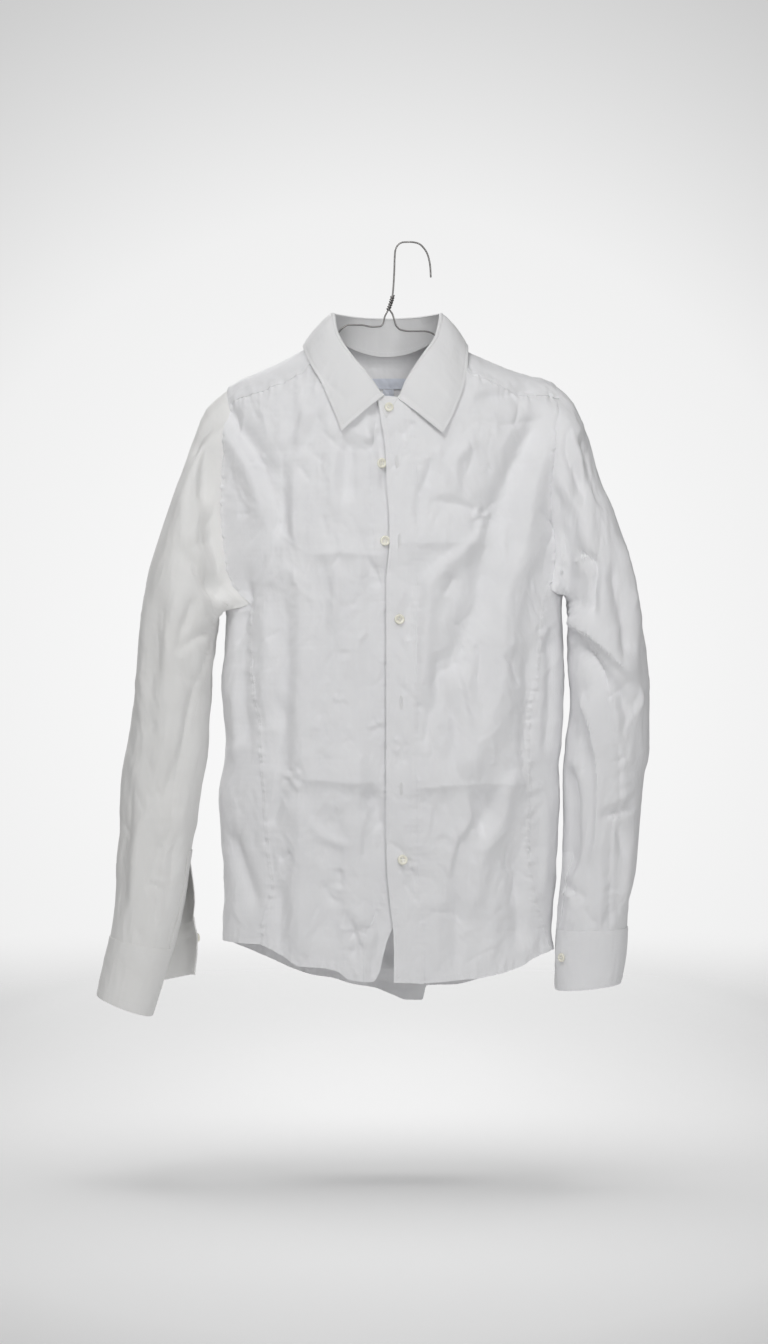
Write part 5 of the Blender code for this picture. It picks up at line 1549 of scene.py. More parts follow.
@dataclass(frozen=True)
class Poplin:
    """White cotton poplin, plain-woven from fine yarn, washed and left crumpled.

    It is matt, with a soft bloom where it turns away. Its yarns are too fine for the picture, so
    the unevenness of the weave is drawn as a faint wave both ways, 6 mm long.
    """

    name: str
    light: str = "F1F1F2"
    dark: str = "E9E9EB"
    weave_height: float = 0.00007
    crinkle_height: float = 0.0013
    roughness: float = 0.86
    unevenness: float = 0.07

    def make(self) -> bpy.types.Material:
        """Make the material.

        Returns:
            The material.
        """
        material, tree = new_material(self.name)
        place = add_node(tree, "ShaderNodeUVMap", uv_map="cloth").outputs["UV"]
        clouds = {"Vector": place, "Scale": 21.0, "Detail": 3.0}
        cloudy = add_node(tree, "ShaderNodeTexNoise", clouds).outputs["Fac"]
        mixed = {0: cloudy, 6: linear(self.light), 7: linear(self.dark)}
        tint = add_node(tree, "ShaderNodeMix", mixed, data_type="RGBA").outputs[2]
        ribs = {"Vector": place, "Scale": 50.0, "Distortion": 0.6, "Detail Scale": 3.0}
        warp = add_node(tree, "ShaderNodeTexWave", ribs, bands_direction="X").outputs["Fac"]
        weft = add_node(tree, "ShaderNodeTexWave", ribs, bands_direction="Y").outputs["Fac"]
        weave = add_node(tree, "ShaderNodeMath", {0: warp, 1: weft}, operation="MULTIPLY").outputs[0]
        woven = {"Height": weave, "Strength": 1.0, "Distance": self.weave_height}
        fine = add_node(tree, "ShaderNodeBump", woven).outputs["Normal"]
        ridges = {"Vector": place, "Scale": 62.0, "Detail": 5.0, "Roughness": 0.52, "Distortion": 0.35}
        creases = add_node(tree, "ShaderNodeTexNoise", ridges, noise_type="RIDGED_MULTIFRACTAL")
        # the small creases lie in patches
        patchy = add_node(tree, "ShaderNodeTexNoise", {"Vector": place, "Scale": 17.0, "Detail": 2.0})
        strength = {"From Min": 0.38, "From Max": 0.66, "To Min": 0.15, "To Max": 0.62}
        patches = add_node(tree, "ShaderNodeMapRange", {"Value": patchy.outputs["Fac"], **strength})
        both = {0: creases.outputs["Fac"], 1: patches.outputs["Result"]}
        crinkle = add_node(tree, "ShaderNodeMath", both, operation="MULTIPLY").outputs[0]
        crinkled = {"Height": crinkle, "Strength": 0.8, "Distance": self.crinkle_height, "Normal": fine}
        smoother, rougher = self.roughness - self.unevenness, self.roughness + self.unevenness
        uneven = {"Value": cloudy, "To Min": smoother, "To Max": rougher}
        return finish_material(
            material,
            {
                "Base Color": tint,
                "Normal": add_node(tree, "ShaderNodeBump", crinkled).outputs["Normal"],
                "Roughness": add_node(tree, "ShaderNodeMapRange", uneven).outputs["Result"],
                "Sheen Weight": 0.12,
                "Sheen Roughness": 0.5,
                "Specular IOR Level": 0.25,
            },
        )


@dataclass(frozen=True)
class Thread:
    """Spun polyester sewing thread, a shade whiter and glossier than the cloth."""

    name: str = "sewing_thread"
    colour: str = "F3F3F3"

    def make(self) -> bpy.types.Material:
        """Make the material.

        Returns:
            The material.
        """
        material, tree = new_material(self.name)
        place = add_node(tree, "ShaderNodeTexCoord").outputs["Object"]
        # a slow twist breaks up the gloss
        turns = {"Vector": place, "Scale": 150.0, "Distortion": 1.0}
        twist = add_node(tree, "ShaderNodeTexWave", turns, bands_direction="DIAGONAL").outputs["Fac"]
        raised = add_node(tree, "ShaderNodeBump", {"Height": twist, "Strength": 0.4, "Distance": 0.0001})
        return finish_material(
            material,
            {
                "Base Color": linear(self.colour),
                "Roughness": 0.6,
                "Normal": raised.outputs["Normal"],
            },
        )


@dataclass(frozen=True)
class Pearl:
    """Polyester button blank with pearl flakes: cream, cloudy and glossy, turned and tumbled."""

    name: str = "pearl_polyester"
    light: str = "FBF9EE"
    dark: str = "EEEAD8"

    def make(self) -> bpy.types.Material:
        """Make the material.

        Returns:
            The material.
        """
        material, tree = new_material(self.name)
        place = add_node(tree, "ShaderNodeTexCoord").outputs["Object"]
        # the flakes lie in wisps about 2 mm across
        flakes = {"Vector": place, "Scale": 420.0, "Detail": 3.0, "Distortion": 1.6}
        wisps = add_node(tree, "ShaderNodeTexNoise", flakes).outputs["Fac"]
        mixed = {0: wisps, 6: linear(self.light), 7: linear(self.dark)}
        worn = add_node(tree, "ShaderNodeMapRange", {"Value": wisps, "To Min": 0.16, "To Max": 0.3})
        return finish_material(
            material,
            {
                "Base Color": add_node(tree, "ShaderNodeMix", mixed, data_type="RGBA").outputs[2],
                "Roughness": worn.outputs["Result"],
                "IOR": 1.56,
                "Coat Weight": 0.3,
            },
        )


@dataclass(frozen=True)
class DrawnWire:
    """Mild steel wire, drawn, lacquered and handled: grey, dull and scuffed."""

    name: str = "drawn_steel_wire"
    light: str = "ACAAA8"
    dark: str = "848281"

    def make(self) -> bpy.types.Material:
        """Make the material.

        Returns:
            The material.
        """
        material, tree = new_material(self.name)
        place = add_node(tree, "ShaderNodeTexCoord").outputs["Object"]
        # scuffs about 4 mm apart
        handled = {"Vector": place, "Scale": 240.0, "Detail": 4.0}
        scuffs = add_node(tree, "ShaderNodeTexNoise", handled).outputs["Fac"]
        mixed = {0: scuffs, 6: linear(self.light), 7: linear(self.dark)}
        worn = add_node(tree, "ShaderNodeMapRange", {"Value": scuffs, "To Min": 0.34, "To Max": 0.6})
        raised = add_node(tree, "ShaderNodeBump", {"Height": scuffs, "Strength": 0.3, "Distance": 0.0001})
        return finish_material(
            material,
            {
                "Base Color": add_node(tree, "ShaderNodeMix", mixed, data_type="RGBA").outputs[2],
                "Roughness": worn.outputs["Result"],
                "Normal": raised.outputs["Normal"],
                "Metallic": 1.0,
            },
        )


@dataclass(frozen=True)
class Tape:
    """Woven polyester label tape, close and slightly glossy, left bare."""

    name: str = "label_tape"
    light: str = "E4E8F1"
    dark: str = "D5DAE6"

    def make(self) -> bpy.types.Material:
        """Make the material.

        Returns:
            The material.
        """
        material, tree = new_material(self.name)
        place = add_node(tree, "ShaderNodeUVMap", uv_map="cloth").outputs["UV"]
        # ribs 1 mm apart
        close = {"Vector": place, "Scale": 314.0, "Distortion": 0.4}
        ribs = add_node(tree, "ShaderNodeTexWave", close, bands_direction="X").outputs["Fac"]
        mixed = {0: ribs, 6: linear(self.light), 7: linear(self.dark)}
        raised = add_node(tree, "ShaderNodeBump", {"Height": ribs, "Strength": 0.5, "Distance": 0.0001})
        return finish_material(
            material,
            {
                "Base Color": add_node(tree, "ShaderNodeMix", mixed, data_type="RGBA").outputs[2],
                "Normal": raised.outputs["Normal"],
                "Roughness": 0.55,
            },
        )


class Line(Enum):
    """The direction that puckers of a seam are counted along."""

    ACROSS = 0
    DOWN = 2


@dataclass
class Panel:
    """A cloth piece cut from a surface, inside an outline of its flat pattern."""

    node: str
    stretches: list[Stretch]
    surface: Surface
    centre: tuple[float, float, float]
    cut: Cut
    wall: float = CLOTH_WALL
    cell: float = CLOTH_CELL
    raised: float = 0.0
    sunk: float = 0.3
    pucker: Noise = field(default_factory=lambda: Noise(SEED + 40))

    # how far each edge is cut back, and how wide a felled seam and a hem are
    trims = {Edge.OVER: 0.0, Edge.UNDER: -1.8, Edge.HEM: 0.0, Edge.PLAIN: 0.2}
    fell = 7.0
    hem = 9.0
    # how far from a seam or a hem its puckers fade, and how wide the step beside it is
    seam_fade = 6.5
    hem_fade = 10.0
    ease = 1.5

    def finish_edges(self, flat: Array, base: Array) -> tuple[Array, Array]:
        """Work out the puckers, steps and extra thickness along the seams and hems.

        Args:
            flat: The places in the flat pattern.
            base: The same places in space.

        Returns:
            How far each place is lifted, and how thick the cloth is there.
        """
        above = np.full(len(flat), self.raised)
        wall = np.full(len(flat), self.wall)
        for stretch in self.stretches:
            if stretch.edge is Edge.PLAIN:
                continue
            gap = np.abs(gaps_to(stretch.route, flat)[0])
            line = Line.DOWN if stretch.runs_down else Line.ACROSS
            along, off = base[:, line.value], base[:, 2 - line.value]
            wave = self.pucker.at(along / 4.2, off / 30.0)
            wave += 0.6 * self.pucker.at(along / 9.0 + 20.5, off / 40.0)
            if stretch.edge is Edge.HEM:
                above += 1.1 * wave * np.exp(-gap / self.hem_fade)
                wall += 0.7 * smooth((self.hem - gap) / self.ease + 0.5)
                continue
            # the side seams pucker more than the seams of the placket
            aside = smooth((np.abs(base[:, 0] - NECK_X) - 50.0) / 60.0)
            height = PLACKET_PUCKER + (SIDE_PUCKER - PLACKET_PUCKER) * aside
            above += height * wave * np.exp(-gap / self.seam_fade)
            if stretch.edge is Edge.OVER:
                band = smooth((self.fell - gap) / self.ease + 0.5)
                above += 0.3 * band
                wall += 0.4 * band
            else:
                above -= self.sunk * (1.0 - smooth(gap / 4.0))
        return above, wall

    def outline(self) -> Array:
        """Give the corners of the whole outline."""
        return np.concatenate([stretch.route[:-1] for stretch in self.stretches])

    def build(self, finish: bpy.types.Material) -> None:
        """Cut, fold and thicken the piece.

        Args:
            finish: The cloth's material.
        """
        trims = np.concatenate(
            [np.full(len(stretch.route) - 1, self.trims[stretch.edge]) for stretch in self.stretches]
        )
        flat, faces = filled(inset(self.outline(), trims), self.cell)
        above, wall = self.finish_edges(flat, self.surface.base(*flat.T))
        points = self.surface.at(*flat.T, above)
        add_cloth(self.node, (points, faces, flat), self.centre, wall, finish)

    def rows_inside(self, offset: float, stretch: int) -> Array:
        """Give a stitch line inside one stretch of the outline, in the flat pattern.

        Args:
            offset: How far inside the line lies, in millimetres.
            stretch: The number of the stretch.

        Returns:
            The places, a row of u and v for each.
        """
        route = self.stretches[stretch].route
        legs = unit(np.gradient(route, axis=0))
        aside = np.stack([-legs[:, 1], legs[:, 0]], axis=-1)
        middle = len(route) // 2
        probe = route[middle : middle + 1] + aside[middle : middle + 1] * 2.0
        sign = 1.0 if inside(self.outline(), probe)[0] else -1.0
        return route + aside * sign * offset


BODY_CENTRE = (-25.0, 0.0, -500.0)
YOKE_CENTRE = (-25.0, 0.0, -260.0)
# x and height of the buttonholes down the placket
PLACKET_HOLES = (
    (-15.4, -258.6),
    (-13.0, -347.0),
    (-13.2, -434.3),
    (-11.0, -526.8),
    (-11.0, -622.6),
    (-9.8, -702.9),
)


@dataclass
class SeamLines:
    """Where the sewing machine ran: lines in space, each with the way the cloth faces."""

    lines: list[tuple[Array, Array]] = field(default_factory=list)

    def sew(self, surface: Surface, flat: Array, above: float) -> None:
        """Add a line given in a surface's flat pattern."""
        places = surface.at(*flat.T, above)
        self.lines.append((places, surface.facing(*flat.T)))

    def sew_panel(self, panel: Panel, stretch: int, offsets: Sequence[float]) -> None:
        """Add lines inside one stretch of a panel's outline, lying on its outer face.

        Args:
            panel: The panel.
            stretch: The number of the stretch.
            offsets: How far inside each line lies, in millimetres.
        """
        for offset in offsets:
            flat = panel.rows_inside(offset, stretch)
            flat = flat[2:-2]
            base = panel.surface.base(*flat.T)
            above, wall = panel.finish_edges(flat, base)
            places = panel.surface.at(*flat.T, above + wall / 2 + THREAD_LIFT)
            self.lines.append((places, panel.surface.facing(*flat.T)))


class BodyCloth:
    """The two fronts, the placket, the button stand, the back and the yoke."""

    def __init__(self, body: Body, neck: Neck) -> None:
        """Lay out the sewing lines that the pieces share.

        Args:
            body: The form of the body.
            neck: The neckline and the collar's fold.
        """
        self.body = body
        self.neck = neck
        self.under = UnderBody(body)
        self.yoke = Yoke(body)
        self.back_seam = self.spread(
            [RIGHT_ARMHOLE_BACK[-1], (NECK_X, YOKE_SEAM_HEIGHT - 4.0), LEFT_ARMHOLE_BACK[-1]], 90
        )

    @staticmethod
    def spread(points: Rows, count: int) -> Array:
        """Spread places evenly along a smooth route.

        Args:
            points: x and height of points on the route.
            count: How many places there are.

        Returns:
            The places, a row for each.
        """
        given = np.array(points, float)
        reach = reach_along(given)
        return curve(reach, given, np.linspace(0.0, reach[-1], count))

    def front_seam(self, side: int) -> Array:
        """Give x and height along a front yoke seam, from the armhole to the neckline.

        Args:
            side: -1 for the wearer's right and 1 for the left.

        Returns:
            x and height, a row for each place.
        """
        start = np.array(RIGHT_ARMHOLE_FRONT[0] if side < 0 else LEFT_ARMHOLE_FRONT[0])
        end = self.neck.line(np.array([side * YOKE_CORNER]))[0]
        share = np.linspace(0.0, 1.0, 50)
        x = start[0] + (end[0] - start[0]) * share
        drops = [float(self.body.ridge.at(spot[0])[0]) - spot[1] for spot in (start, end)]
        drop = drops[0] + (drops[1] - drops[0]) * share + 9.0 * np.sin(math.pi * share)
        return np.stack([x, self.body.ridge.at(x) - drop], axis=-1)

    def seam_down(self, rows: Rows) -> Array:
        """Give x and height down a side seam."""
        heights = np.linspace(max(row[0] for row in rows), min(row[0] for row in rows), 60)
        return np.stack([Table(rows).at(heights), heights], axis=-1)

    def neck_line(self, start: float, end: float) -> Array:
        """Give x and height of the neckline between two turns."""
        return self.neck.line(np.linspace(start, end, 12))

    def front(self, points: Rows | Array, edge: Edge, runs_down: bool = False) -> Stretch:
        """Make a stretch of outline from x and height on the front."""
        return Stretch(route_through(self.body.pattern(points), 2.7), edge, runs_down)

    def stand_seam(self) -> Array:
        """Give x and height down the seam between the right front and its button stand.

        Returns:
            x and height, a row for each place.
        """
        heights = np.array([row[0] for row in STAND_EDGE if row[0] > -720], float)
        stand = Table(STAND_EDGE).at(heights) - STAND_WIDTH
        seam = [(x, z) for x, z in zip(stand, heights)]
        seam += [(-28.0, -735.0), (-40.0, -765.0), (-53.0, -795.0), (-53.0, -840.0)]
        seam[0] = tuple(self.neck.line(np.array([self.neck.turn_of(seam[0][0])]))[0])
        return np.array(seam)

    def right_front(self) -> Panel:
        """Lay out the wearer's right front.

        Returns:
            The panel.
        """
        seam = self.stand_seam()
        return Panel(
            "front_right",
            [
                self.front(self.front_seam(-1), Edge.UNDER),
                self.front(self.neck_line(-YOKE_CORNER, self.neck.turn_of(seam[0][0])), Edge.PLAIN),
                self.front(seam, Edge.UNDER, True),
                self.front(RIGHT_FRONT_HEM[::-1], Edge.HEM),
                self.front(self.seam_down(RIGHT_SIDE_SEAM)[::-1], Edge.OVER, True),
                self.front(RIGHT_ARMHOLE_FRONT[::-1], Edge.OVER, True),
            ],
            self.under,
            BODY_CENTRE,
            Cut(215.0, 680.0, ("yoke_cloth",), share=0.78),
            cell=FRONT_CELL,
        )

    def button_stand(self) -> Panel:
        """Lay out the button stand along the right front's edge.

        Returns:
            The panel.
        """
        seam = self.stand_seam()
        start, end = self.neck.turn_of(seam[0][0]), self.neck.turn_of(STAND_EDGE[0][1])
        edge = [(x, z) for z, x in STAND_EDGE]
        edge[0] = tuple(self.neck.line(np.array([end]))[0])
        return Panel(
            "button_stand",
            [
                self.front(self.neck_line(start, end), Edge.PLAIN),
                self.front(edge, Edge.PLAIN, True),
                self.front(STAND_HEM[::-1], Edge.HEM),
                self.front(seam[::-1], Edge.OVER, True),
            ],
            self.under,
            BODY_CENTRE,
            Cut(30.0, 640.0, ("front_right_cloth",)),
            wall=STIFF_WALL,
        )

    def placket_lines(self) -> tuple[Array, Array]:
        """Give x and height down the placket's front edge and down its seam.

        Returns:
            The line down the edge, then the line down the seam.
        """
        heights = np.linspace(PLACKET_EDGE[0][0], PLACKET_EDGE[-1][0], 50)
        edge = np.stack([self.body.placket_edge.at(heights), heights], axis=-1)
        seam = edge + np.array([PLACKET_WIDTH, 0.0])
        edge[0] = self.neck.line(np.array([self.neck.turn_of(edge[0][0])]))[0]
        seam[0] = self.neck.line(np.array([self.neck.turn_of(seam[0][0])]))[0]
        seam[-1] = LEFT_FRONT_HEM[-1]
        return edge, seam

    def left_front(self) -> Panel:
        """Lay out the wearer's left front.

        Returns:
            The panel.
        """
        seam = self.placket_lines()[1]
        return Panel(
            "front_left",
            [
                self.front(self.front_seam(1), Edge.UNDER),
                self.front(self.neck_line(YOKE_CORNER, self.neck.turn_of(seam[0][0])), Edge.PLAIN),
                self.front(seam, Edge.UNDER, True),
                self.front(LEFT_FRONT_HEM[::-1], Edge.HEM),
                self.front(self.seam_down(LEFT_SIDE_SEAM)[::-1], Edge.OVER, True),
                self.front(LEFT_ARMHOLE_FRONT[::-1], Edge.OVER, True),
            ],
            self.body,
            BODY_CENTRE,
            Cut(210.0, 685.0, ("yoke_cloth",), share=0.76),
            cell=FRONT_CELL,
        )

    def placket(self) -> Panel:
        """Lay out the placket, which lies on top.

        Returns:
            The panel.
        """
        edge, seam = self.placket_lines()
        start, end = (self.neck.turn_of(line[0][0]) for line in (edge, seam))
        return Panel(
            "placket",
            [
                self.front(self.neck_line(start, end), Edge.PLAIN),
                self.front(seam, Edge.OVER, True),
                self.front([seam[-1], edge[-1]], Edge.HEM),
                self.front(edge[::-1], Edge.PLAIN, True),
            ],
            self.body,
            BODY_CENTRE,
            Cut(35.0, 650.0, ("front_left_cloth",)),
            wall=STIFF_WALL,
            raised=0.15,
            cell=FRONT_CELL,
        )

    def back(self) -> Panel:
        """Lay out the back, which wraps round to the side seams.

        Returns:
            The panel.
        """
        body = self.body
        turned = np.array([2.0 * math.pi * TURN_SCALE, 0.0])
        right_seam = body.pattern(self.seam_down(RIGHT_SIDE_SEAM))
        left_seam = body.pattern(self.seam_down(LEFT_SIDE_SEAM)) - turned
        start = body.pattern([RIGHT_ARMHOLE_FRONT[-1]])
        right = np.concatenate(
            [start, body.turned(RIGHT_UNDERARM), body.pattern(RIGHT_ARMHOLE_BACK, back=True)]
        )
        left = np.concatenate(
            [
                body.pattern(LEFT_ARMHOLE_BACK[::-1], back=True),
                body.turned(LEFT_UNDERARM[::-1], -360.0),
                left_seam[:1],
            ]
        )
        tail = np.concatenate(
            [left_seam[-1:], body.pattern(BACK_TAIL[::-1], back=True), right_seam[-1:]]
        )
        return Panel(
            "back",
            [
                Stretch(route_through(right, 2.9), Edge.OVER, True),
                Stretch(route_through(body.pattern(self.back_seam, back=True), 2.9), Edge.UNDER),
                Stretch(route_through(left, 2.9), Edge.OVER, True),
                Stretch(route_through(left_seam, 2.9), Edge.UNDER, True),
                Stretch(route_through(tail, 2.9), Edge.HEM),
                Stretch(route_through(right_seam[::-1], 2.9), Edge.UNDER, True),
            ],
            body,
            BODY_CENTRE,
            Cut(530.0, 670.0, ("yoke_cloth",), share=0.88),
            cell=BACK_CELL,
            sunk=0.8,
        )

    def yoke_panel(self) -> Panel:
        """Lay out the yoke over the shoulders, which rests on the hanger.

        Returns:
            The panel.
        """
        yoke = self.yoke
        right = yoke.pattern(self.front_seam(-1), False)
        left = yoke.pattern(self.front_seam(1), False)
        turns = np.linspace(-YOKE_CORNER, YOKE_CORNER - 360.0, 160)
        line = self.neck.line(turns)
        ahead = np.cos(np.radians(turns))[:, None]
        neck = np.where(ahead >= 0.0, yoke.pattern(line, False), yoke.pattern(line, True))
        across = yoke.pattern(self.back_seam, True)
        left_side = np.array([left[0], (LEFT_SHOULDER_X, 0.0), across[-1]])
        right_side = np.array([across[0], (RIGHT_SHOULDER_X, 0.0), right[0]])
        return Panel(
            "yoke",
            [
                Stretch(route_through(right, 2.7), Edge.OVER),
                Stretch(route_through(neck, 2.7), Edge.PLAIN),
                Stretch(route_through(left[::-1], 2.7), Edge.OVER),
                Stretch(route_through(left_side, 2.7), Edge.OVER),
                Stretch(route_through(across[::-1], 2.7), Edge.OVER),
                Stretch(route_through(right_side, 2.7), Edge.OVER),
            ],
            yoke,
            YOKE_CENTRE,
            Cut(380.0, 165.0, ("hanger_bent_wire",), share=0.84),
        )

    def armhole(self, side: int) -> Array:
        """Place the edge of an armhole in space, from its top down the front and up the back.

        Args:
            side: -1 for the wearer's right and 1 for the left.

        Returns:
            The points in millimetres.
        """
        body, yoke = self.body, self.yoke
        shoulder = RIGHT_SHOULDER_X if side < 0 else LEFT_SHOULDER_X
        front = RIGHT_ARMHOLE_FRONT if side < 0 else LEFT_ARMHOLE_FRONT
        back = RIGHT_ARMHOLE_BACK if side < 0 else LEFT_ARMHOLE_BACK
        underarm = RIGHT_UNDERARM if side < 0 else LEFT_UNDERARM
        if side > 0:
            underarm = tuple((turn - 360.0, z) for turn, z in underarm)
        low_front = body.pattern([front[-1]])
        if side > 0:
            low_front = low_front - np.array([2.0 * math.pi * TURN_SCALE, 0.0])
        rear = np.concatenate([low_front, body.turned(underarm), body.pattern(back, back=True)])
        corner = yoke.pattern([front[0]], False)[0]
        heel = yoke.pattern([back[-1]], True)[0]
        over_front = route_through([(shoulder, 0.0), corner], 2.5)
        over_back = route_through([heel, (shoulder, 0.0)], 2.5)
        down = route_through(body.pattern(front), 2.5)
        up = route_through(rear, 2.5)
        return np.concatenate(
            [
                yoke.at(*over_front[:-1].T),
                body.at(*down[:-1].T),
                body.at(*up[:-1].T),
                yoke.at(*over_back[:-1].T),
            ]
        )

    def build(self, cotton: bpy.types.Material, seams: SeamLines) -> None:
        """Make the six pieces and sew their seams.

        Args:
            cotton: The cloth's material.
            seams: The sewing lines, which are added to.
        """
        right, stand = self.right_front(), self.button_stand()
        left, placket = self.left_front(), self.placket()
        back, yoke = self.back(), self.yoke_panel()
        for panel in (right, stand, left, placket, back, yoke):
            panel.build(cotton)
        for panel in (right, left):
            seams.sew_panel(panel, 3, (7.5,))
            seams.sew_panel(panel, 4, (1.5, 6.0))
            seams.sew_panel(panel, 5, (6.0,))
        seams.sew_panel(back, 0, (6.0,))
        seams.sew_panel(back, 2, (6.0,))
        seams.sew_panel(back, 4, (7.5,))
        for stretch in (0, 2, 4):
            seams.sew_panel(yoke, stretch, (1.6,))
        seams.sew_panel(placket, 1, (4.5,))
        seams.sew_panel(placket, 3, (4.5,))
        seams.sew_panel(placket, 2, (6.0,))
        seams.sew_panel(stand, 3, (1.6,))


class SleeveSurface(Surface):
    """A sleeve with its cuff; u is the angle in degrees (0 outer, 90 front), v the row, down."""

    row_size = 30.0
    degree = 0.9
    # height and reach of the puckers beside the seam and of the groove along it, then the height of the
    # cuff's gathers and how fast they fade
    puckers = (2.3, 7.5)
    groove = (1.3, 2.6)
    gathers = (0.8, 1.4)

    def __init__(self, side: int, hole: Array) -> None:
        """Keep the sections, the armhole's edge and the folds.

        Args:
            side: -1 for the wearer's right and 1 for the left.
            hole: The armhole's edge in space, from its top.
        """
        right = side < 0
        self.side = side
        self.sense = 1.0 if right else -1.0
        self.sections = np.array(RIGHT_SLEEVE + RIGHT_CUFF if right else LEFT_SLEEVE + LEFT_CUFF)
        self.last = float(len(self.sections) - 3)
        self.spread = Table(RIGHT_SPREAD if right else LEFT_SPREAD)
        self.slit = RIGHT_SLIT if right else LEFT_SLIT
        self.slit_row = RIGHT_SLIT_ROW if right else LEFT_SLIT_ROW
        closed = np.concatenate([hole, hole[:1]])
        reach = reach_along(closed)
        self.hole = closed
        self.hole_angles = 360.0 * reach / reach[-1]
        folds = RIGHT_SLEEVE_FOLDS if right else LEFT_SLEEVE_FOLDS
        stars = RIGHT_SLEEVE_STARS if right else LEFT_SLEEVE_STARS
        behind = RIGHT_SLEEVE_BACK_FOLDS if right else LEFT_SLEEVE_BACK_FOLDS
        self.front = Relief(folds, stars, SEED + 7 + side)
        self.back = Relief(behind)
        sides = (-335.0, -205.0, -790.0, -210.0) if right else (160.0, 275.0, -790.0, -200.0)
        self.front.scatter(sides, 55, SEED + 21 + side)
        self.back.scatter(sides, 45, SEED + 24 + side)
        self.grain = Crumple(SEED + 11 + side, 0.85)
        self.seam = route_through(RIGHT_SLEEVE_SEAM if right else LEFT_SLEEVE_SEAM, 4.0)
        self.pucker = Noise(SEED + 60 + side)
        self.deepen = 0.9 if right else 1.5

    def section(self, row: Array) -> Array:
        """Read the sizes of sections, also between two rows."""
        numbers = np.arange(len(self.sections), dtype=float)
        return curve(numbers, self.sections, row)

    @staticmethod
    def ring(sizes: Array, angle: Array) -> Array:
        """Place points on sections at angles.

        Args:
            sizes: The sizes of the section that each point lies on.
            angle: The angle of each point in degrees.

        Returns:
            The points in millimetres.
        """
        outer_x, outer_z, inner_x, inner_z, girth, middle_y = sizes.T
        half = np.hypot(outer_x - inner_x, outer_z - inner_z) / 2
        least = LEAST_SLEEVE_DEPTH**2
        depth = np.sqrt(np.maximum((girth / math.pi) ** 2 / 2 - half**2, least))
        across, ahead = np.cos(np.radians(angle)), np.sin(np.radians(angle))
        # a hanging sleeve lies flatter than a round tube
        ahead = np.sign(ahead) * np.abs(ahead) ** SLEEVE_POWER
        return np.stack(
            [
                (outer_x + inner_x) / 2 + (outer_x - inner_x) / 2 * across,
                middle_y - depth * ahead,
                (outer_z + inner_z) / 2 + (outer_z - inner_z) / 2 * across,
            ],
            axis=-1,
        )

    def base(self, u: Array, v: Array) -> Array:
        """Place points in space without their folds; v is minus the row times its size.

        Args:
            u: Each place's u in the flat pattern.
            v: Each place's v in the flat pattern.

        Returns:
            The points in millimetres.
        """
        row = -v / self.row_size
        places = self.ring(self.section(row), u)
        fade = (1.0 - smooth(row / 5.0)) ** 1.5
        turned = np.mod(u, 360.0)
        hole = np.stack(
            [np.interp(turned, self.hole_angles, self.hole[:, axis]) for axis in range(3)], axis=-1
        )
        top = self.ring(self.section(np.zeros_like(row)), u)
        places += (hole - top) * fade[:, None]
        share = np.where(u > self.slit - 45.0, 1.0 - smooth((u - self.slit) / 150.0), 0.0)
        aside = self.spread.at(row, 0) * share
        places[:, 0] += aside
        places[:, 1] += 0.3 * aside
        places[:, 2] += self.spread.at(row, 1) * share
        return places

    def facing(self, u: Array, v: Array) -> Array:
        """Tell which way the outer side faces.

        Args:
            u: Each place's u in the flat pattern.
            v: Each place's v in the flat pattern.

        Returns:
            A unit vector for each place.
        """
        across = self.base(u + 1.0, v) - self.base(u - 1.0, v)
        along = self.base(u, v + 1.5) - self.base(u, v - 1.5)
        return self.sense * unit(np.cross(across, along))

    def lift(self, u: Array, v: Array) -> Array:
        """Tell how far the folds, the creases and the puckered seam stand out.

        Args:
            u: Each place's u in the flat pattern.
            v: Each place's v in the flat pattern.

        Returns:
            The height at each place, in millimetres.
        """
        row = -v / self.row_size
        places = self.base(u, v)
        x, z = places[:, 0], places[:, 2]
        ahead = np.sin(np.radians(u))
        free = smooth(row / 0.9) * smooth((self.last + 0.1 - row) / 0.7)
        front = self.front.at(x, z) * smooth(2.5 * ahead)
        back = self.back.at(x, z) * smooth(-2.5 * ahead)
        # the creases meet where the sleeve's underarm seam closes the round
        blend = smooth((u - self.slit - 310.0) / 50.0)
        first = self.grain.at(u * self.degree, v)
        second = self.grain.at((u - 360.0) * self.degree, v)
        grain = first * (1.0 - blend) + second * blend
        gap, way = gaps_to(self.seam, np.stack([x, z], axis=-1))
        near = smooth(3.0 * ahead) * (np.abs(gap) < 40.0)
        wave = self.pucker.at(way / 4.2, gap / 26.0) + 0.5 * self.pucker.at(way / 10.0, gap / 40.0)
        sewn = self.puckers[0] * wave * np.exp(-np.abs(gap) / self.puckers[1])
        sewn += 0.5 * smooth((6.5 - gap) / 2.0) * smooth((gap + 0.5) / 2.0)
        sewn -= self.groove[0] * np.exp(-(((gap + 1.5) / self.groove[1]) ** 2))
        gathered = self.gathers[0] * self.pucker.at(u / 5.5, v / 60.0)
        gathered = gathered * np.exp(-(self.last - row) * self.gathers[1])
        gathered = gathered * smooth((self.last + 0.3 - row) / 0.2)
        return (self.deepen * (front + back) + grain) * free + sewn * near * free + gathered * smooth(row)


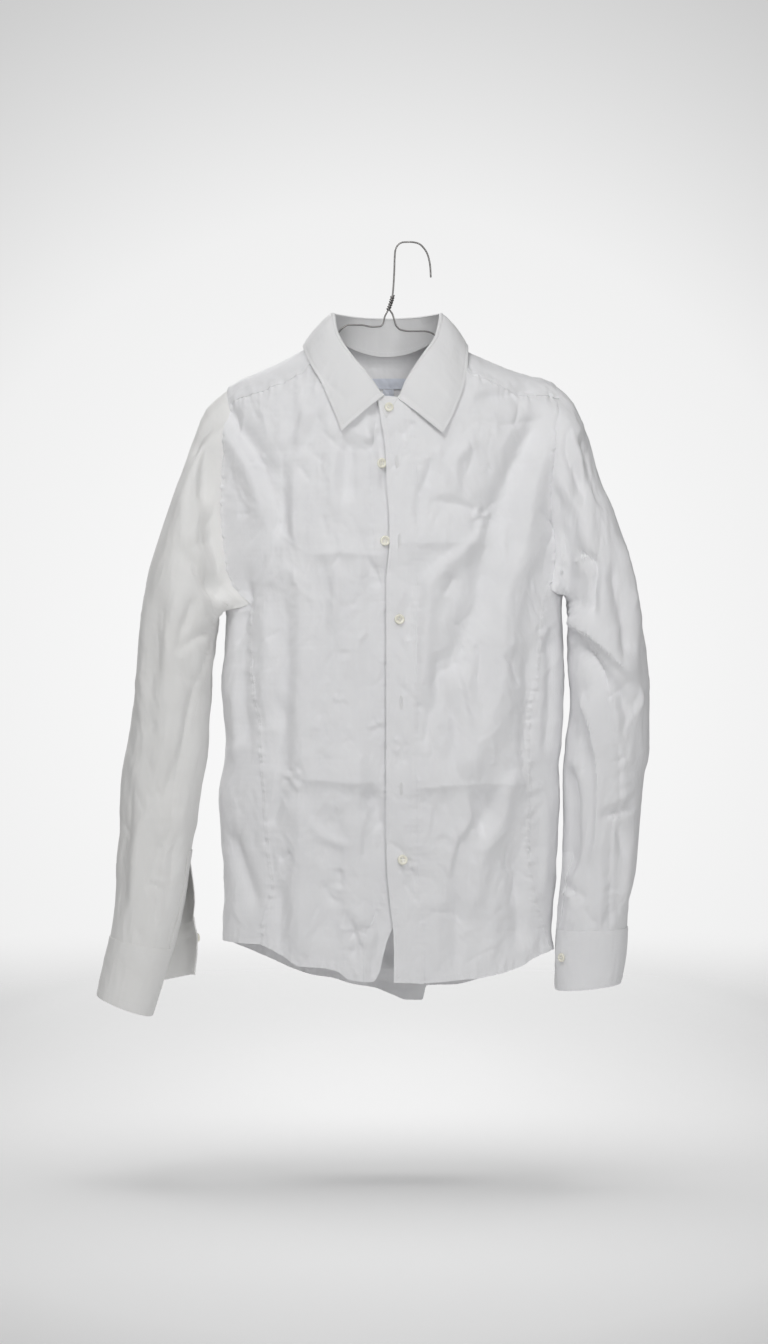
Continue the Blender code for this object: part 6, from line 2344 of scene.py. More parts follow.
@dataclass
class Sleeve:
    """A sleeve, its cuff and the strip along its slit."""

    name: str
    side: int
    surface: SleeveSurface
    cut: Cut
    cuff_cut: Cut
    strip_cut: Cut
    cuff_wall: float = 1.5
    cuff_above: float = 0.9

    def angles(self) -> Array:
        """List the angles of the sleeve's columns."""
        return self.surface.slit + np.linspace(0.0, 360.0, SLEEVE_COLUMNS + 1)

    def middle(self, row: float) -> Array:
        """Give the middle of the sleeve at a row."""
        ends = np.array([0.0, 180.0])
        return self.surface.ring(self.surface.section(row), ends).mean(axis=0)

    def build_tube(self, cotton: bpy.types.Material) -> None:
        """Make the sleeve, closed down to its slit.

        Args:
            cotton: The cloth's material.
        """
        surface = self.surface
        step = SLEEVE_ROW_STEP / surface.row_size
        rows = np.linspace(0.0, surface.last + 0.12, round(surface.last / step))
        angles = self.angles()
        row, angle = np.meshgrid(rows, angles, indexing="ij")
        slit = row > surface.slit_row
        angle = np.where(slit & (angle == angles[0]), angle + SLIT_GAP, angle)
        flat_u, flat_v = angle.ravel(), -row.ravel() * surface.row_size
        # the head is caught under the body, and the end is caught in the cuff
        sunk = -CAUGHT_DEPTH * (1.0 - smooth(row.ravel() / 0.16))
        sunk -= CAUGHT_DEPTH * smooth((row.ravel() - surface.last + 0.1) / 0.15)
        points = surface.at(flat_u, flat_v, sunk)
        head = surface.at(angles, np.zeros_like(angles), -1.0)
        head[:, 0] -= self.side * HEAD_TUCK
        index = np.arange(row.size).reshape(row.shape)
        closed = rows <= surface.slit_row
        index[closed, -1] = index[closed, 0]
        top = row.size + np.arange(len(angles))
        top[-1] = top[0]
        index = np.concatenate([top[None], index])
        points = np.concatenate([points, head])
        flat = np.stack([flat_u * surface.degree, flat_v], axis=-1)
        brim = np.stack([angles * surface.degree, 0.0 * angles + HEAD_TUCK], axis=-1)
        used, faces = np.unique(grid_faces(index), return_inverse=True)
        cloth = (points[used], faces.reshape(-1, 3), np.concatenate([flat, brim])[used])
        add_cloth(f"sleeve_{self.name}", cloth, self.middle(7.0), CLOTH_WALL, cotton)

    def cuff_points(self, share: Array, angle: Array, above: Array | float = 0.0) -> Array:
        """Place points of the cuff, from its seam (0) to its edge (1).

        Args:
            share: How far down the cuff each point is.
            angle: The angle of each point in degrees.
            above: How far each point stands off the middle of the wall.

        Returns:
            The points in millimetres.
        """
        surface = self.surface
        row = surface.last + 2.0 * share
        lapped = 1.0 - smooth((angle - surface.slit + 8.0) / 26.0)
        lap = CUFF_STEP * lapped if self.side > 0 else np.zeros_like(angle)
        bend = surface.grain.at(angle * 0.8, row * 40.0) * 0.55
        bend += surface.front.at(*surface.base(angle, -row * surface.row_size)[:, [0, 2]].T)
        wave = 0.35 * surface.pucker.at(angle / 5.0, share * 2.0)
        rise = bend * smooth(0.35 + 0.65 * share) + wave + self.cuff_above - lap + above
        spots = surface.base(angle, -row * surface.row_size)
        return spots + surface.facing(angle, -row * surface.row_size) * rise[:, None]

    def cuff_span(self) -> tuple[float, float]:
        """Give the angles of the cuff's under end and top end."""
        start = self.surface.slit + 1.0 if self.side < 0 else self.surface.slit - CUFF_LAP
        return start, self.surface.slit + 359.0

    def build_cuff(self, cotton: bpy.types.Material, seams: SeamLines) -> None:
        """Make the cuff, buttoned on the wearer's left and open on the right.

        Args:
            cotton: The cloth's material.
            seams: The sewing lines, which are added to.
        """
        angles = np.linspace(*self.cuff_span(), 112)
        share, angle, faces = net(np.linspace(-CUFF_TUCK, 1.0, 30), angles)
        points = self.cuff_points(share, angle)
        edge = np.minimum(share + CUFF_TUCK, 1.0 - share) * CUFF_HEIGHT
        ends = np.minimum(angle - angles[0], angles[-1] - angle) * 0.65
        wall = self.cuff_wall - 0.7 * (1.0 - smooth(np.minimum(edge, ends) / 2.2))
        flat = np.stack([angle * 0.68, -share * CUFF_HEIGHT], axis=-1)
        cloth = (points, faces, flat)
        add_cloth(f"cuff_{self.name}", cloth, points.mean(axis=0), wall, cotton)
        first, last = angles[0] + 8.0, angles[-1] - 8.0
        high, low = CUFF_STITCHES
        for level in CUFF_STITCHES:
            self.sew_cuff(seams, np.full(150, level), np.linspace(first, last, 150))
        for end in (first, last):
            self.sew_cuff(seams, np.linspace(high, low, 40), np.full(40, end))

    def sew_cuff(self, seams: SeamLines, share: Array, angle: Array) -> None:
        """Sew a line on the outer side of the cuff."""
        places = self.cuff_points(share, angle, self.cuff_wall / 2 + THREAD_LIFT)
        seams.lines.append((places, self.cuff_facing(share, angle)))

    def cuff_facing(self, share: Array, angle: Array) -> Array:
        """Tell which way the cuff's outer side faces."""
        row = self.surface.last + 2.0 * share
        return self.surface.facing(angle, -row * self.surface.row_size)

    def build_strip(self, cotton: bpy.types.Material, seams: SeamLines) -> None:
        """Make the strip sewn on the front side of the slit.

        Args:
            cotton: The cloth's material.
            seams: The sewing lines, which are added to.
        """
        surface = self.surface
        width = RIGHT_STRIP if self.side < 0 else LEFT_STRIP
        rows = np.linspace(surface.slit_row - 0.35, surface.last, 34)
        row, angle, faces = net(rows, surface.slit + 360.0 - np.linspace(width, 0.4, 9))
        flat_v = -row * surface.row_size
        flat = np.stack([angle * surface.degree, flat_v], axis=-1)
        cloth = (surface.at(angle, flat_v, STRIP_LIFT), faces, flat)
        node = f"sleeve_placket_{self.name}"
        add_cloth(node, cloth, self.middle(13.0), STRIP_WALL, cotton)
        for from_slit in (width - 2.5, 3.0):
            down = np.linspace(surface.slit_row - 0.2, surface.last - 0.2, 40)
            along = np.full(40, surface.slit + 360.0 - from_slit)
            seams.sew(surface, np.stack([along, -down * surface.row_size], axis=-1), 1.5)

    def sew_seam(self, seams: SeamLines) -> None:
        """Sew the felled seam that runs down the front of the sleeve.

        Args:
            seams: The sewing lines, which are added to.
        """
        surface = self.surface
        angles = np.linspace(20.0, 160.0, 141)
        for offset in (-1.5, 5.5):
            spots = []
            for row in np.arange(6.2, surface.last - 0.1, 0.12):
                ring = surface.base(angles, np.full(141, -row * surface.row_size))
                gap = gaps_to(surface.seam, ring[:, [0, 2]])[0] - offset
                order = np.nonzero(np.diff(np.sign(gap)))[0]
                if len(order):
                    low = int(order[0])
                    part = gap[low] / (gap[low] - gap[low + 1])
                    spots.append((angles[low] + part, -row * surface.row_size))
            if len(spots) > 4:
                seams.sew(surface, np.array(spots), CLOTH_WALL / 2 + THREAD_LIFT)

    def build(self, cotton: bpy.types.Material, seams: SeamLines) -> None:
        """Make all of the sleeve.

        Args:
            cotton: The cloth's material.
            seams: The sewing lines, which are added to.
        """
        self.build_tube(cotton)
        self.build_cuff(cotton, seams)
        self.build_strip(cotton, seams)
        self.sew_seam(seams)


@dataclass
class Collar:
    """The collar: a stand round the neck and the leaf that turns down over it."""

    neck: Neck
    body: Body
    wall: float = 1.5
    roll: float = 1.7
    roll_start: float = 15.0
    bulge: float = 2.6
    roll_rows: int = 9
    leaf_rows: int = 36
    stitch_in: float = 3.6

    def __post_init__(self) -> None:
        """Draw the leaf's folds and creases."""
        self.relief = Relief(COLLAR_FOLDS)
        self.grain = Crumple(SEED + 90, 0.36)

    def stand_at(self, turn: Array, share: Array) -> Array:
        """Place points of the stand, from the neckline (0) to the fold (1).

        Args:
            turn: The turn round the neck in degrees.
            share: How far up the stand each point is.

        Returns:
            The points in millimetres.
        """
        low = self.neck.low(turn)
        high = self.neck.fold(turn) - self.neck.square(turn) * FOLD_GAP
        high[:, 1] += self.neck.step_in(turn)
        places = low + (high - low) * share[:, None]
        flat = (turn * STAND_DEGREE, share * STAND_HEIGHT)
        bend = self.grain.at(*flat) * smooth(4.0 * share) * smooth(4.0 - 4.0 * share)
        return places + self.neck.out(turn) * (bend + 0.8 * np.sin(math.pi * share))[:, None]

    def build_stand(self, cotton: bpy.types.Material, seams: SeamLines) -> None:
        """Make the collar stand, whose end on the wearer's left lies on top.

        Args:
            cotton: The cloth's material.
            seams: The sewing lines, which are added to.
        """
        turns = np.linspace(STAND_START, STAND_END, 220)
        share, turn, faces = net(np.linspace(-0.02, 1.0, 14), turns)
        flat = np.stack([turn * STAND_DEGREE, share * STAND_HEIGHT], axis=-1)
        cloth = (self.stand_at(turn, share), faces, flat)
        centre = (NECK_X, FOLD_Y, -110.0)
        add_cloth("collar_stand", cloth, centre, self.wall, cotton, "collar_band")
        along = np.linspace(STAND_START - 3.0, STAND_END + 3.0, 260)
        places = self.stand_at(along, np.full(260, 0.1))
        for sign in (1.0, -1.0):
            out = self.neck.out(along) * sign
            seams.lines.append((places + out * (self.wall / 2 + THREAD_LIFT), out))

    def leaf_at(self, turn: Array, share: Array, above: Array) -> Array:
        """Place points of the leaf. Share runs from -1 to 0 over the fold, then to 1 at its edge.

        Args:
            turn: The turn round the neck in degrees.
            share: How far over the fold or down the leaf each point is.
            above: How far each point stands off the middle of the wall.

        Returns:
            The points in millimetres.
        """
        fold, out = self.neck.fold(turn), self.neck.out(turn)
        square = self.neck.square(turn)
        centre = fold + out * (self.roll - 0.6) - square * 1.4
        opened = self.roll_start + (180.0 - self.roll_start) * (share + 1.0)
        angle = np.radians(np.clip(opened, self.roll_start, 180.0))
        over = -out * np.cos(angle)[:, None] + square * np.sin(angle)[:, None]
        rolled = centre + over * (self.roll + above)[:, None]
        edge = np.stack([self.neck.edge.at(turn, column) for column in range(3)], axis=-1)
        ahead = np.cos(np.radians(turn))
        front = self.body.pattern(edge[:, [0, 2]])
        back = self.body.pattern(edge[:, [0, 2]], back=True)
        front_y = self.body.at(*front.T)[:, 1]
        back_y = self.body.at(*back.T)[:, 1]
        edge[:, 1] = np.where(
            ahead > LEAF_RESTS, np.minimum(edge[:, 1], front_y - LEAF_LIFT + 1.8), edge[:, 1]
        )
        edge[:, 1] = np.where(
            ahead < -LEAF_RESTS, np.maximum(edge[:, 1], back_y + LEAF_LIFT - 1.8), edge[:, 1]
        )
        start = centre + out * self.roll
        part = np.maximum(share, 0.0)
        size = np.linalg.norm(edge - start, axis=1)
        bend = self.relief.at(turn, part * size) + self.grain.at(turn * LEAF_DEGREE, part * size)
        bend = bend * smooth(3.0 * part) + self.bulge * np.sin(math.pi * part**0.8)
        # the line of stitches pulls a narrow groove round the leaf
        low_edge = (1.0 - part) * size
        ends = np.minimum(COLLAR_EDGE[0][0] - turn, turn - COLLAR_EDGE[-1][0]) * LEAF_END_DEGREE
        inset_by = np.minimum(low_edge, ends) - self.stitch_in
        bend = bend - 0.55 * np.exp(-((inset_by / 1.3) ** 2))
        hung = start + (edge - start) * part[:, None]
        away = unit(np.cross(self.leaf_step(turn, 1.0) - self.leaf_step(turn, -1.0), edge - start))
        away *= np.where((away * out).sum(axis=1) < 0.0, -1.0, 1.0)[:, None]
        hung = hung + away * (bend + above)[:, None]
        return np.where(share[:, None] <= 0.0, rolled, hung)

    def leaf_step(self, turn: Array, step: float) -> Array:
        """Place the middle of the leaf a little way round.

        Args:
            turn: The turn round the neck in degrees.
            step: How far round, in degrees.

        Returns:
            The points in millimetres.
        """
        held = np.clip(turn + step, COLLAR_EDGE[-1][0], COLLAR_EDGE[0][0])
        edge = np.stack([self.neck.edge.at(held, column) for column in range(3)], axis=-1)
        return (edge + self.neck.fold(held)) / 2

    def build_leaf(self, cotton: bpy.types.Material, seams: SeamLines) -> None:
        """Make the leaf with its two points.

        Args:
            cotton: The cloth's material.
            seams: The sewing lines, which are added to.
        """
        turns = np.linspace(COLLAR_EDGE[0][0], COLLAR_EDGE[-1][0], 330)
        shares = np.concatenate(
            [np.linspace(-1.0, 0.0, self.roll_rows), np.linspace(0.0, 1.0, self.leaf_rows)[1:]]
        )
        share, turn, faces = net(shares, turns)
        edge = np.minimum(1.0 - share, 1.0) * LEAF_HEIGHT
        ends = np.minimum(turns[0] - turn, turn - turns[-1]) * LEAF_END_DEGREE
        wall = self.wall - 0.6 * (1.0 - smooth(np.minimum(edge, ends) / 1.8))
        flat = np.stack([turn * LEAF_DEGREE, share * LEAF_HEIGHT], axis=-1)
        cloth = (self.leaf_at(turn, share, np.zeros(len(turn))), faces, flat)
        add_cloth("collar", cloth, (NECK_X, FOLD_Y, -150.0), wall, cotton, "collar_leaf")
        self.sew_leaf(seams)

    def sew_leaf(self, seams: SeamLines) -> None:
        """Sew round the leaf, a little way in from its edge.

        Args:
            seams: The sewing lines, which are added to.
        """
        first, last = COLLAR_EDGE[0][0] - self.stitch_in, COLLAR_EDGE[-1][0] + self.stitch_in
        around = np.concatenate(
            [np.full(30, first), np.linspace(first, last, 200)[1:-1], np.full(30, last)]
        )
        low = 1.0 - self.stitch_in / 46.0
        down = np.concatenate([np.linspace(0.05, low, 30), np.full(198, low), np.linspace(low, 0.05, 30)])
        above = np.full(len(around), self.wall / 2 + THREAD_LIFT)
        places = self.leaf_at(around, down, above)
        below = self.leaf_at(around, down, above * 0.0)
        seams.lines.append((places, unit(places - below)))


@dataclass(frozen=True)
class Label:
    """A plain label sewn inside the back of the yoke."""

    name: str
    node: str
    left: float
    right: float
    high: float
    low: float
    wall: float = 0.5

    def build(self, yoke: Yoke, tape: bpy.types.Material, seams: SeamLines) -> None:
        """Make the label and sew its ends.

        Args:
            yoke: The surface of the yoke.
            tape: The tape's material.
            seams: The sewing lines, which are added to.
        """
        across, down = np.linspace(self.left, self.right, 24), np.linspace(self.high, self.low, 12)
        x, z, faces = net(across, down)
        flat = yoke.pattern(np.stack([x, z], axis=-1), True)
        bow = 0.5 * np.sin(math.pi * (x - self.left) / (self.right - self.left))
        cloth = (yoke.at(*flat.T, -1.25 - bow), faces, flat)
        add_cloth(self.node, cloth, (-25.0, 300.0, -155.0), self.wall, tape, self.name)
        for end in (self.left + 1.2, self.right - 1.2):
            spots = np.stack([np.full(8, end), np.linspace(self.high - 1.0, self.low + 1.0, 8)], -1)
            place = yoke.pattern(spots, True)
            seams.lines.append((yoke.at(*place.T, -1.65), -yoke.facing(*place.T)))


@dataclass(frozen=True)
class Spot:
    """Where a button sits: its middle, the way it faces and its turn about that."""

    place: Array
    facing: Array
    spin: float
    radius: float


@dataclass
class Buttons:
    """The shirt's four-hole buttons and the threads that hold them."""

    thick: float = BUTTON_THICK
    hole: float = 0.13
    hole_place: float = 0.235
    thread: float = 0.32
    nodes: list[str] = field(default_factory=list)
    spots: list[Spot] = field(default_factory=list)

    # share of the radius and of the thickness, from the middle to the rim
    profile = (
        (0.0, 0.62),
        (0.34, 0.62),
        (0.5, 0.64),
        (0.6, 0.74),
        (0.68, 0.9),
        (0.76, 0.99),
        (0.84, 1.0),
        (0.92, 0.93),
        (0.975, 0.78),
        (1.0, 0.55),
    )

    def add(self, node: str, place: Array, facing: Array, spin: float, radius: float) -> None:
        """Note a button."""
        self.nodes.append(node)
        self.spots.append(Spot(place, unit(facing), spin, radius))

    @staticmethod
    def circle(radius: float, count: int, middle: tuple[float, float] = (0.0, 0.0)) -> Array:
        """List the points of a circle."""
        angle = np.linspace(0.0, 2.0 * math.pi, count, endpoint=False)
        return np.stack([np.cos(angle), np.sin(angle)], axis=-1) * radius + np.array(middle)

    def blank(self) -> tuple[Array, Array, Array]:
        """Make one button flat, of radius 1.

        Returns:
            Its flat points, their height as a share of the thickness, and its top triangles.
        """
        spots = [(a * self.hole_place, b * self.hole_place) for a in (-1, 1) for b in (-1, 1)]
        holes = [self.circle(self.hole, 10, spot) for spot in spots]
        rings = [self.circle(share, 40) for share, _ in self.profile[1:]]
        loops = rings + holes
        places, edges = [], []
        for loop in loops:
            start, count = len(places), len(loop)
            places += [tuple(point) for point in loop]
            edges += [(start + i, start + (i + 1) % count) for i in range(count)]
        found, _, faces, _, _, _ = delaunay_2d_cdt(places, edges, [], 0, 1e-6, False)
        flat = np.array([tuple(point) for point in found])
        faces = np.array(faces)
        middles = flat[faces].mean(axis=1)
        keep = inside(rings[-1], middles)
        for hole in holes:
            keep &= ~inside(hole, middles)
        heights = Table(self.profile).at(np.linalg.norm(flat, axis=1))
        return flat, heights, faces[keep]

    def frame_of(self, spot: Spot) -> tuple[Array, Array]:
        """Give the two ways that lie flat in a button.

        Args:
            spot: Where the button sits.

        Returns:
            Two unit vectors.
        """
        across = unit(np.cross(spot.facing, np.array([0.0, 0.0, 1.0])))
        upwards = np.cross(across, spot.facing)
        turned = across * math.cos(spot.spin) + upwards * math.sin(spot.spin)
        return turned, np.cross(turned, spot.facing)

    def build(self, pearl: bpy.types.Material, thread: bpy.types.Material) -> None:
        """Make all buttons as one piece and their threads as another.

        Args:
            pearl: The buttons' material.
            thread: The thread's material.
        """
        flat, heights, top = self.blank()
        count = len(flat)
        pairs = {tuple(pair) for pair in face_edges(top).tolist()}
        rim = [(a, b) for a, b in pairs if (b, a) not in pairs]
        rim_faces = [face for a, b in sorted(rim) for face in ((b, a, count + a), (b, count + a, count + b))]
        one = np.concatenate([top, count + top[:, ::-1], np.array(rim_faces)])
        points, faces, strands = [], [], []
        for number, spot in enumerate(self.spots):
            across, upwards = self.frame_of(spot)
            level = spot.place + (flat[:, :1] * across + flat[:, 1:] * upwards) * spot.radius
            rise = np.concatenate([heights, np.where(np.linalg.norm(flat, axis=1) > 0.96, 0.16, 0.0)])
            both = np.concatenate([level, level]) + spot.facing * (rise * self.thick)[:, None]
            points.append(both)
            faces.append(one + number * 2 * count)
            strands.append(self.strands(spot))
        points_all, faces_all = np.concatenate(points), np.concatenate(faces)
        normal = face_ways(points_all, faces_all[: len(top)]).sum(axis=0)
        if float(normal @ self.spots[0].facing) < 0.0:
            faces_all = faces_all[:, ::-1]
        obj = add_mesh("buttons", points_all, faces_all, pearl, crease=38.0)
        dress(obj, self.nodes)
        add_strands("button_threads", [strand for group in strands for strand in group], thread)

    def strands(self, spot: Spot) -> list[tuple[Array, float]]:
        """Lay two bars of thread through the holes of a button.

        Args:
            spot: Where the button sits.

        Returns:
            The middle line and the radius of each bar.
        """
        across, upwards = self.frame_of(spot)
        reach = self.hole_place * spot.radius
        found = []
        for side in (-1.0, 1.0):
            for shift in (-0.2, 0.2):
                share = np.linspace(-1.0, 1.0, 9)
                rise = self.thick * 0.62 + 0.34 * np.sqrt(np.maximum(1.0 - share**4, 0.0)) - 0.22
                line = spot.place + across * (side * reach + shift) + upwards * (share * reach)[:, None]
                line = line + spot.facing * (rise - 0.9 * (np.abs(share) > 0.99))[:, None]
                found.append((line, self.thread / 2))
        return found


def add_strands(
    name: str, strands: Sequence[tuple[Array, float]], finish: bpy.types.Material, sides: int = 6
) -> None:
    """Make short threads as one piece.

    Args:
        name: The name of the piece.
        strands: The middle line and the radius of each thread.
        finish: Its material.
        sides: How many sides a thread has.
    """
    points, faces = [], []
    total = 0
    angle = np.linspace(0.0, 2.0 * math.pi, sides, endpoint=False)
    for line, radius in strands:
        way = unit(np.gradient(line, axis=0))
        # any way that no thread runs along
        side = unit(np.cross(way, np.array([0.13, 0.31, 0.94])))
        third = np.cross(way, side)
        ring = side[:, None] * np.cos(angle)[:, None] + third[:, None] * np.sin(angle)[:, None]
        tube = (line[:, None] + radius * ring).reshape(-1, 3)
        index = np.arange(len(tube)).reshape(len(line), sides)
        wrapped = np.concatenate([index, index[:, :1]], axis=1)
        last = len(tube) - sides
        ends = [(0, i + 1, i) for i in range(1, sides - 1)]
        ends += [(last, last + i, last + i + 1) for i in range(1, sides - 1)]
        points.append(tube)
        faces.append(np.concatenate([grid_faces(wrapped)[:, ::-1], np.array(ends)]) + total)
        total += len(tube)
    obj = add_mesh(name, np.concatenate(points), np.concatenate(faces), finish)
    dress(obj, [])


def add_line(name: str, points: Array, edges: Sequence[tuple[int, int]]) -> bpy.types.Object:
    """Make an object of bare lines from points in metres.

    Args:
        name: The name of the object.
        points: The points in metres.
        edges: The two point numbers of each edge.

    Returns:
        The object.
    """
    mesh = bpy.data.meshes.new(name)
    mesh.from_pydata(points.tolist(), edges, [])
    obj = bpy.data.objects.new(name, mesh)
    bpy.context.scene.collection.objects.link(obj)
    return obj


def add_socket(tree: bpy.types.NodeTree, name: str, kind: str, in_out: str = "INPUT") -> str:
    """Add a named socket to a node group and give its identifier."""
    return tree.interface.new_socket(name=name, in_out=in_out, socket_type=kind).identifier


def finish_mesh(tree: bpy.types.NodeTree, shape: Socket, material: Socket) -> None:
    """End a geometry tree: make its instances real, give them a material and hand them out.

    Args:
        tree: The node tree.
        shape: The output that gives the shape.
        material: The output that gives the material.
    """
    real = add_node(tree, "GeometryNodeRealizeInstances", {"Geometry": shape}).outputs["Geometry"]
    coloured = add_node(tree, "GeometryNodeSetMaterial", {"Geometry": real, "Material": material})
    add_node(tree, "NodeGroupOutput", {0: coloured.outputs["Geometry"]})


class StitchTree:
    """A node tree that sews threads along lines, turned with the cloth under them."""

    def __init__(self) -> None:
        """Build the tree with its named inputs."""
        tree = bpy.data.node_groups.new("sewn_stitches", "GeometryNodeTree")
        self.tree = tree
        add_socket(tree, "Lines", "NodeSocketGeometry")
        self.spacing = add_socket(tree, "Stitch spacing", "NodeSocketFloat")
        self.size = add_socket(tree, "Stitch half size", "NodeSocketVector")
        self.material = add_socket(tree, "Thread", "NodeSocketMaterial")
        add_socket(tree, "Stitches", "NodeSocketGeometry", "OUTPUT")
        given = add_node(tree, "NodeGroupInput").outputs
        lines = add_node(tree, "GeometryNodeMeshToCurve", {"Mesh": given["Lines"]})
        spread = {"Curve": lines.outputs["Curve"], "Length": given["Stitch spacing"]}
        evenly = add_node(tree, "GeometryNodeResampleCurve", spread, mode="LENGTH")
        up = add_node(tree, "GeometryNodeInputNamedAttribute", {"Name": "up"}, data_type="FLOAT_VECTOR")
        tangent = add_node(tree, "GeometryNodeInputTangent").outputs["Tangent"]
        along = add_node(tree, "FunctionNodeAlignRotationToVector", {"Vector": tangent}, axis="X")
        turned = {"Rotation": along.outputs["Rotation"], "Vector": up.outputs["Attribute"]}
        upright = add_node(
            tree, "FunctionNodeAlignRotationToVector", turned, axis="Z", pivot_axis="X"
        )
        ball = {"Segments": 6, "Rings": 4, "Radius": 1.0}
        stitch = add_node(tree, "GeometryNodeMeshUVSphere", ball).outputs["Mesh"]
        rounded = add_node(tree, "GeometryNodeSetShadeSmooth", {"Geometry": stitch})
        placed = add_node(
            tree,
            "GeometryNodeInstanceOnPoints",
            {
                "Points": evenly.outputs["Curve"],
                "Instance": rounded.outputs["Geometry"],
                "Rotation": upright.outputs["Rotation"],
                "Scale": given["Stitch half size"],
            },
        )
        finish_mesh(tree, placed.outputs["Instances"], given["Thread"])

    def sew(
        self,
        name: str,
        lines: Sequence[tuple[Array, Array]],
        spacing: float,
        half_size: tuple[float, float, float],
        thread: bpy.types.Material,
    ) -> None:
        """Sew all given lines as one piece.

        Args:
            name: The name of the piece.
            lines: The points of each line and the way the cloth faces there.
            spacing: The distance between two stitches in millimetres.
            half_size: Half of a stitch's length, width and height in millimetres.
            thread: The thread's material.
        """
        points = np.concatenate([places for places, _ in lines]) * MM
        ups = np.concatenate([facing for _, facing in lines])
        edges, start = [], 0
        for places, _ in lines:
            edges += [(start + i, start + i + 1) for i in range(len(places) - 1)]
            start += len(places)
        obj = add_line(name, points, edges)
        obj.data.attributes.new("up", "FLOAT_VECTOR", "POINT")
        obj.data.attributes["up"].data.foreach_set("vector", ups.astype(np.float32).ravel())
        values = {
            self.spacing: spacing * MM,
            self.size: [size * MM for size in half_size],
            self.material: thread,
        }
        to_plain_mesh(obj, self.tree, values)
        dress(obj, [])


def to_plain_mesh(obj: bpy.types.Object, tree: bpy.types.NodeTree, values: dict) -> None:
    """Run a node tree on an object and keep only the mesh that it makes.

    Args:
        obj: The object, whose mesh is replaced.
        tree: The node tree.
        values: The tree's input values by socket identifier.
    """
    modifier = obj.modifiers.new("made", "NODES")
    modifier.node_group = tree
    for identifier, value in values.items():
        modifier[identifier] = value
    bpy.context.view_layer.update()
    graph = bpy.context.evaluated_depsgraph_get()
    mesh = bpy.data.meshes.new_from_object(obj.evaluated_get(graph))
    obj.modifiers.remove(modifier)
    obj.data = mesh
    log.info("%s: %d faces", obj.name, len(mesh.polygons))


@dataclass(frozen=True)
class Hanger:
    """The bent wire hanger, one wire from the hook's tip round to its twist."""

    ridge: Table
    radius: float = WIRE_RADIUS - 0.2
    sides: int = 12

    def route(self) -> Array:
        """Lay the middle line of the wire.

        Returns:
            The points in millimetres.
        """
        spots = [(x, 0.0, z) for x, z in HOOK]
        for x in ARM_RIGHT:
            spots.append((x, 0.0, float(self.ridge.at(x)[0]) - WIRE_DROP))
        spots += [(x, 0.0, z) for x, z in WIRE_RIGHT_END + WIRE_LEFT_END]
        for x in ARM_LEFT:
            spots.append((x, 0.0, float(self.ridge.at(x)[0]) - WIRE_DROP))
        spots += [(x, 0.0, z) for x, z in HANGER_RETURN]
        shaft = Table([(z, x) for x, z in HOOK[9:15]])
        share = np.linspace(0.0, 1.0, 60)
        height = TWIST_BOTTOM + (TWIST_TOP - TWIST_BOTTOM) * share
        angle = 2.0 * math.pi * TWIST_TURNS * share
        reach = 2.0 * self.radius - 0.2
        coil = np.stack(
            [shaft.at(height) + reach * np.cos(angle), -reach * np.sin(angle), height], axis=-1
        )
        return np.concatenate([route_through(spots + [tuple(coil[0])], 2.0), coil[1:]])

    def tree(self) -> tuple[bpy.types.NodeTree, str, str]:
        """Build the node tree that gives the wire its thickness, with its two inputs.

        Returns:
            The tree, and the identifiers of its inputs for the radius and the material.
        """
        tree = bpy.data.node_groups.new("round_wire", "GeometryNodeTree")
        add_socket(tree, "Line", "NodeSocketGeometry")
        radius = add_socket(tree, "Wire radius", "NodeSocketFloat")
        material = add_socket(tree, "Steel", "NodeSocketMaterial")
        add_socket(tree, "Wire", "NodeSocketGeometry", "OUTPUT")
        given = add_node(tree, "NodeGroupInput").outputs
        line = add_node(tree, "GeometryNodeMeshToCurve", {"Mesh": given["Line"]}).outputs["Curve"]
        size = {"Resolution": self.sides, "Radius": given["Wire radius"]}
        ring = add_node(tree, "GeometryNodeCurvePrimitiveCircle", size).outputs["Curve"]
        swept = {"Curve": line, "Profile Curve": ring, "Fill Caps": True}
        drawn = add_node(tree, "GeometryNodeCurveToMesh", swept).outputs["Mesh"]
        rounded = add_node(tree, "GeometryNodeSetShadeSmooth", {"Geometry": drawn})
        finish_mesh(tree, rounded.outputs["Geometry"], given["Steel"])
        return tree, radius, material

    def build(self, steel: bpy.types.Material) -> None:
        """Bend the wire.

        Args:
            steel: The wire's material.
        """
        line = self.route() * MM
        obj = add_line("hanger_bent_wire", line, [(i, i + 1) for i in range(len(line) - 1)])
        tree, radius, material = self.tree()
        to_plain_mesh(obj, tree, {radius: self.radius * MM, material: steel})
        dress(obj, ["hanger_wire"])


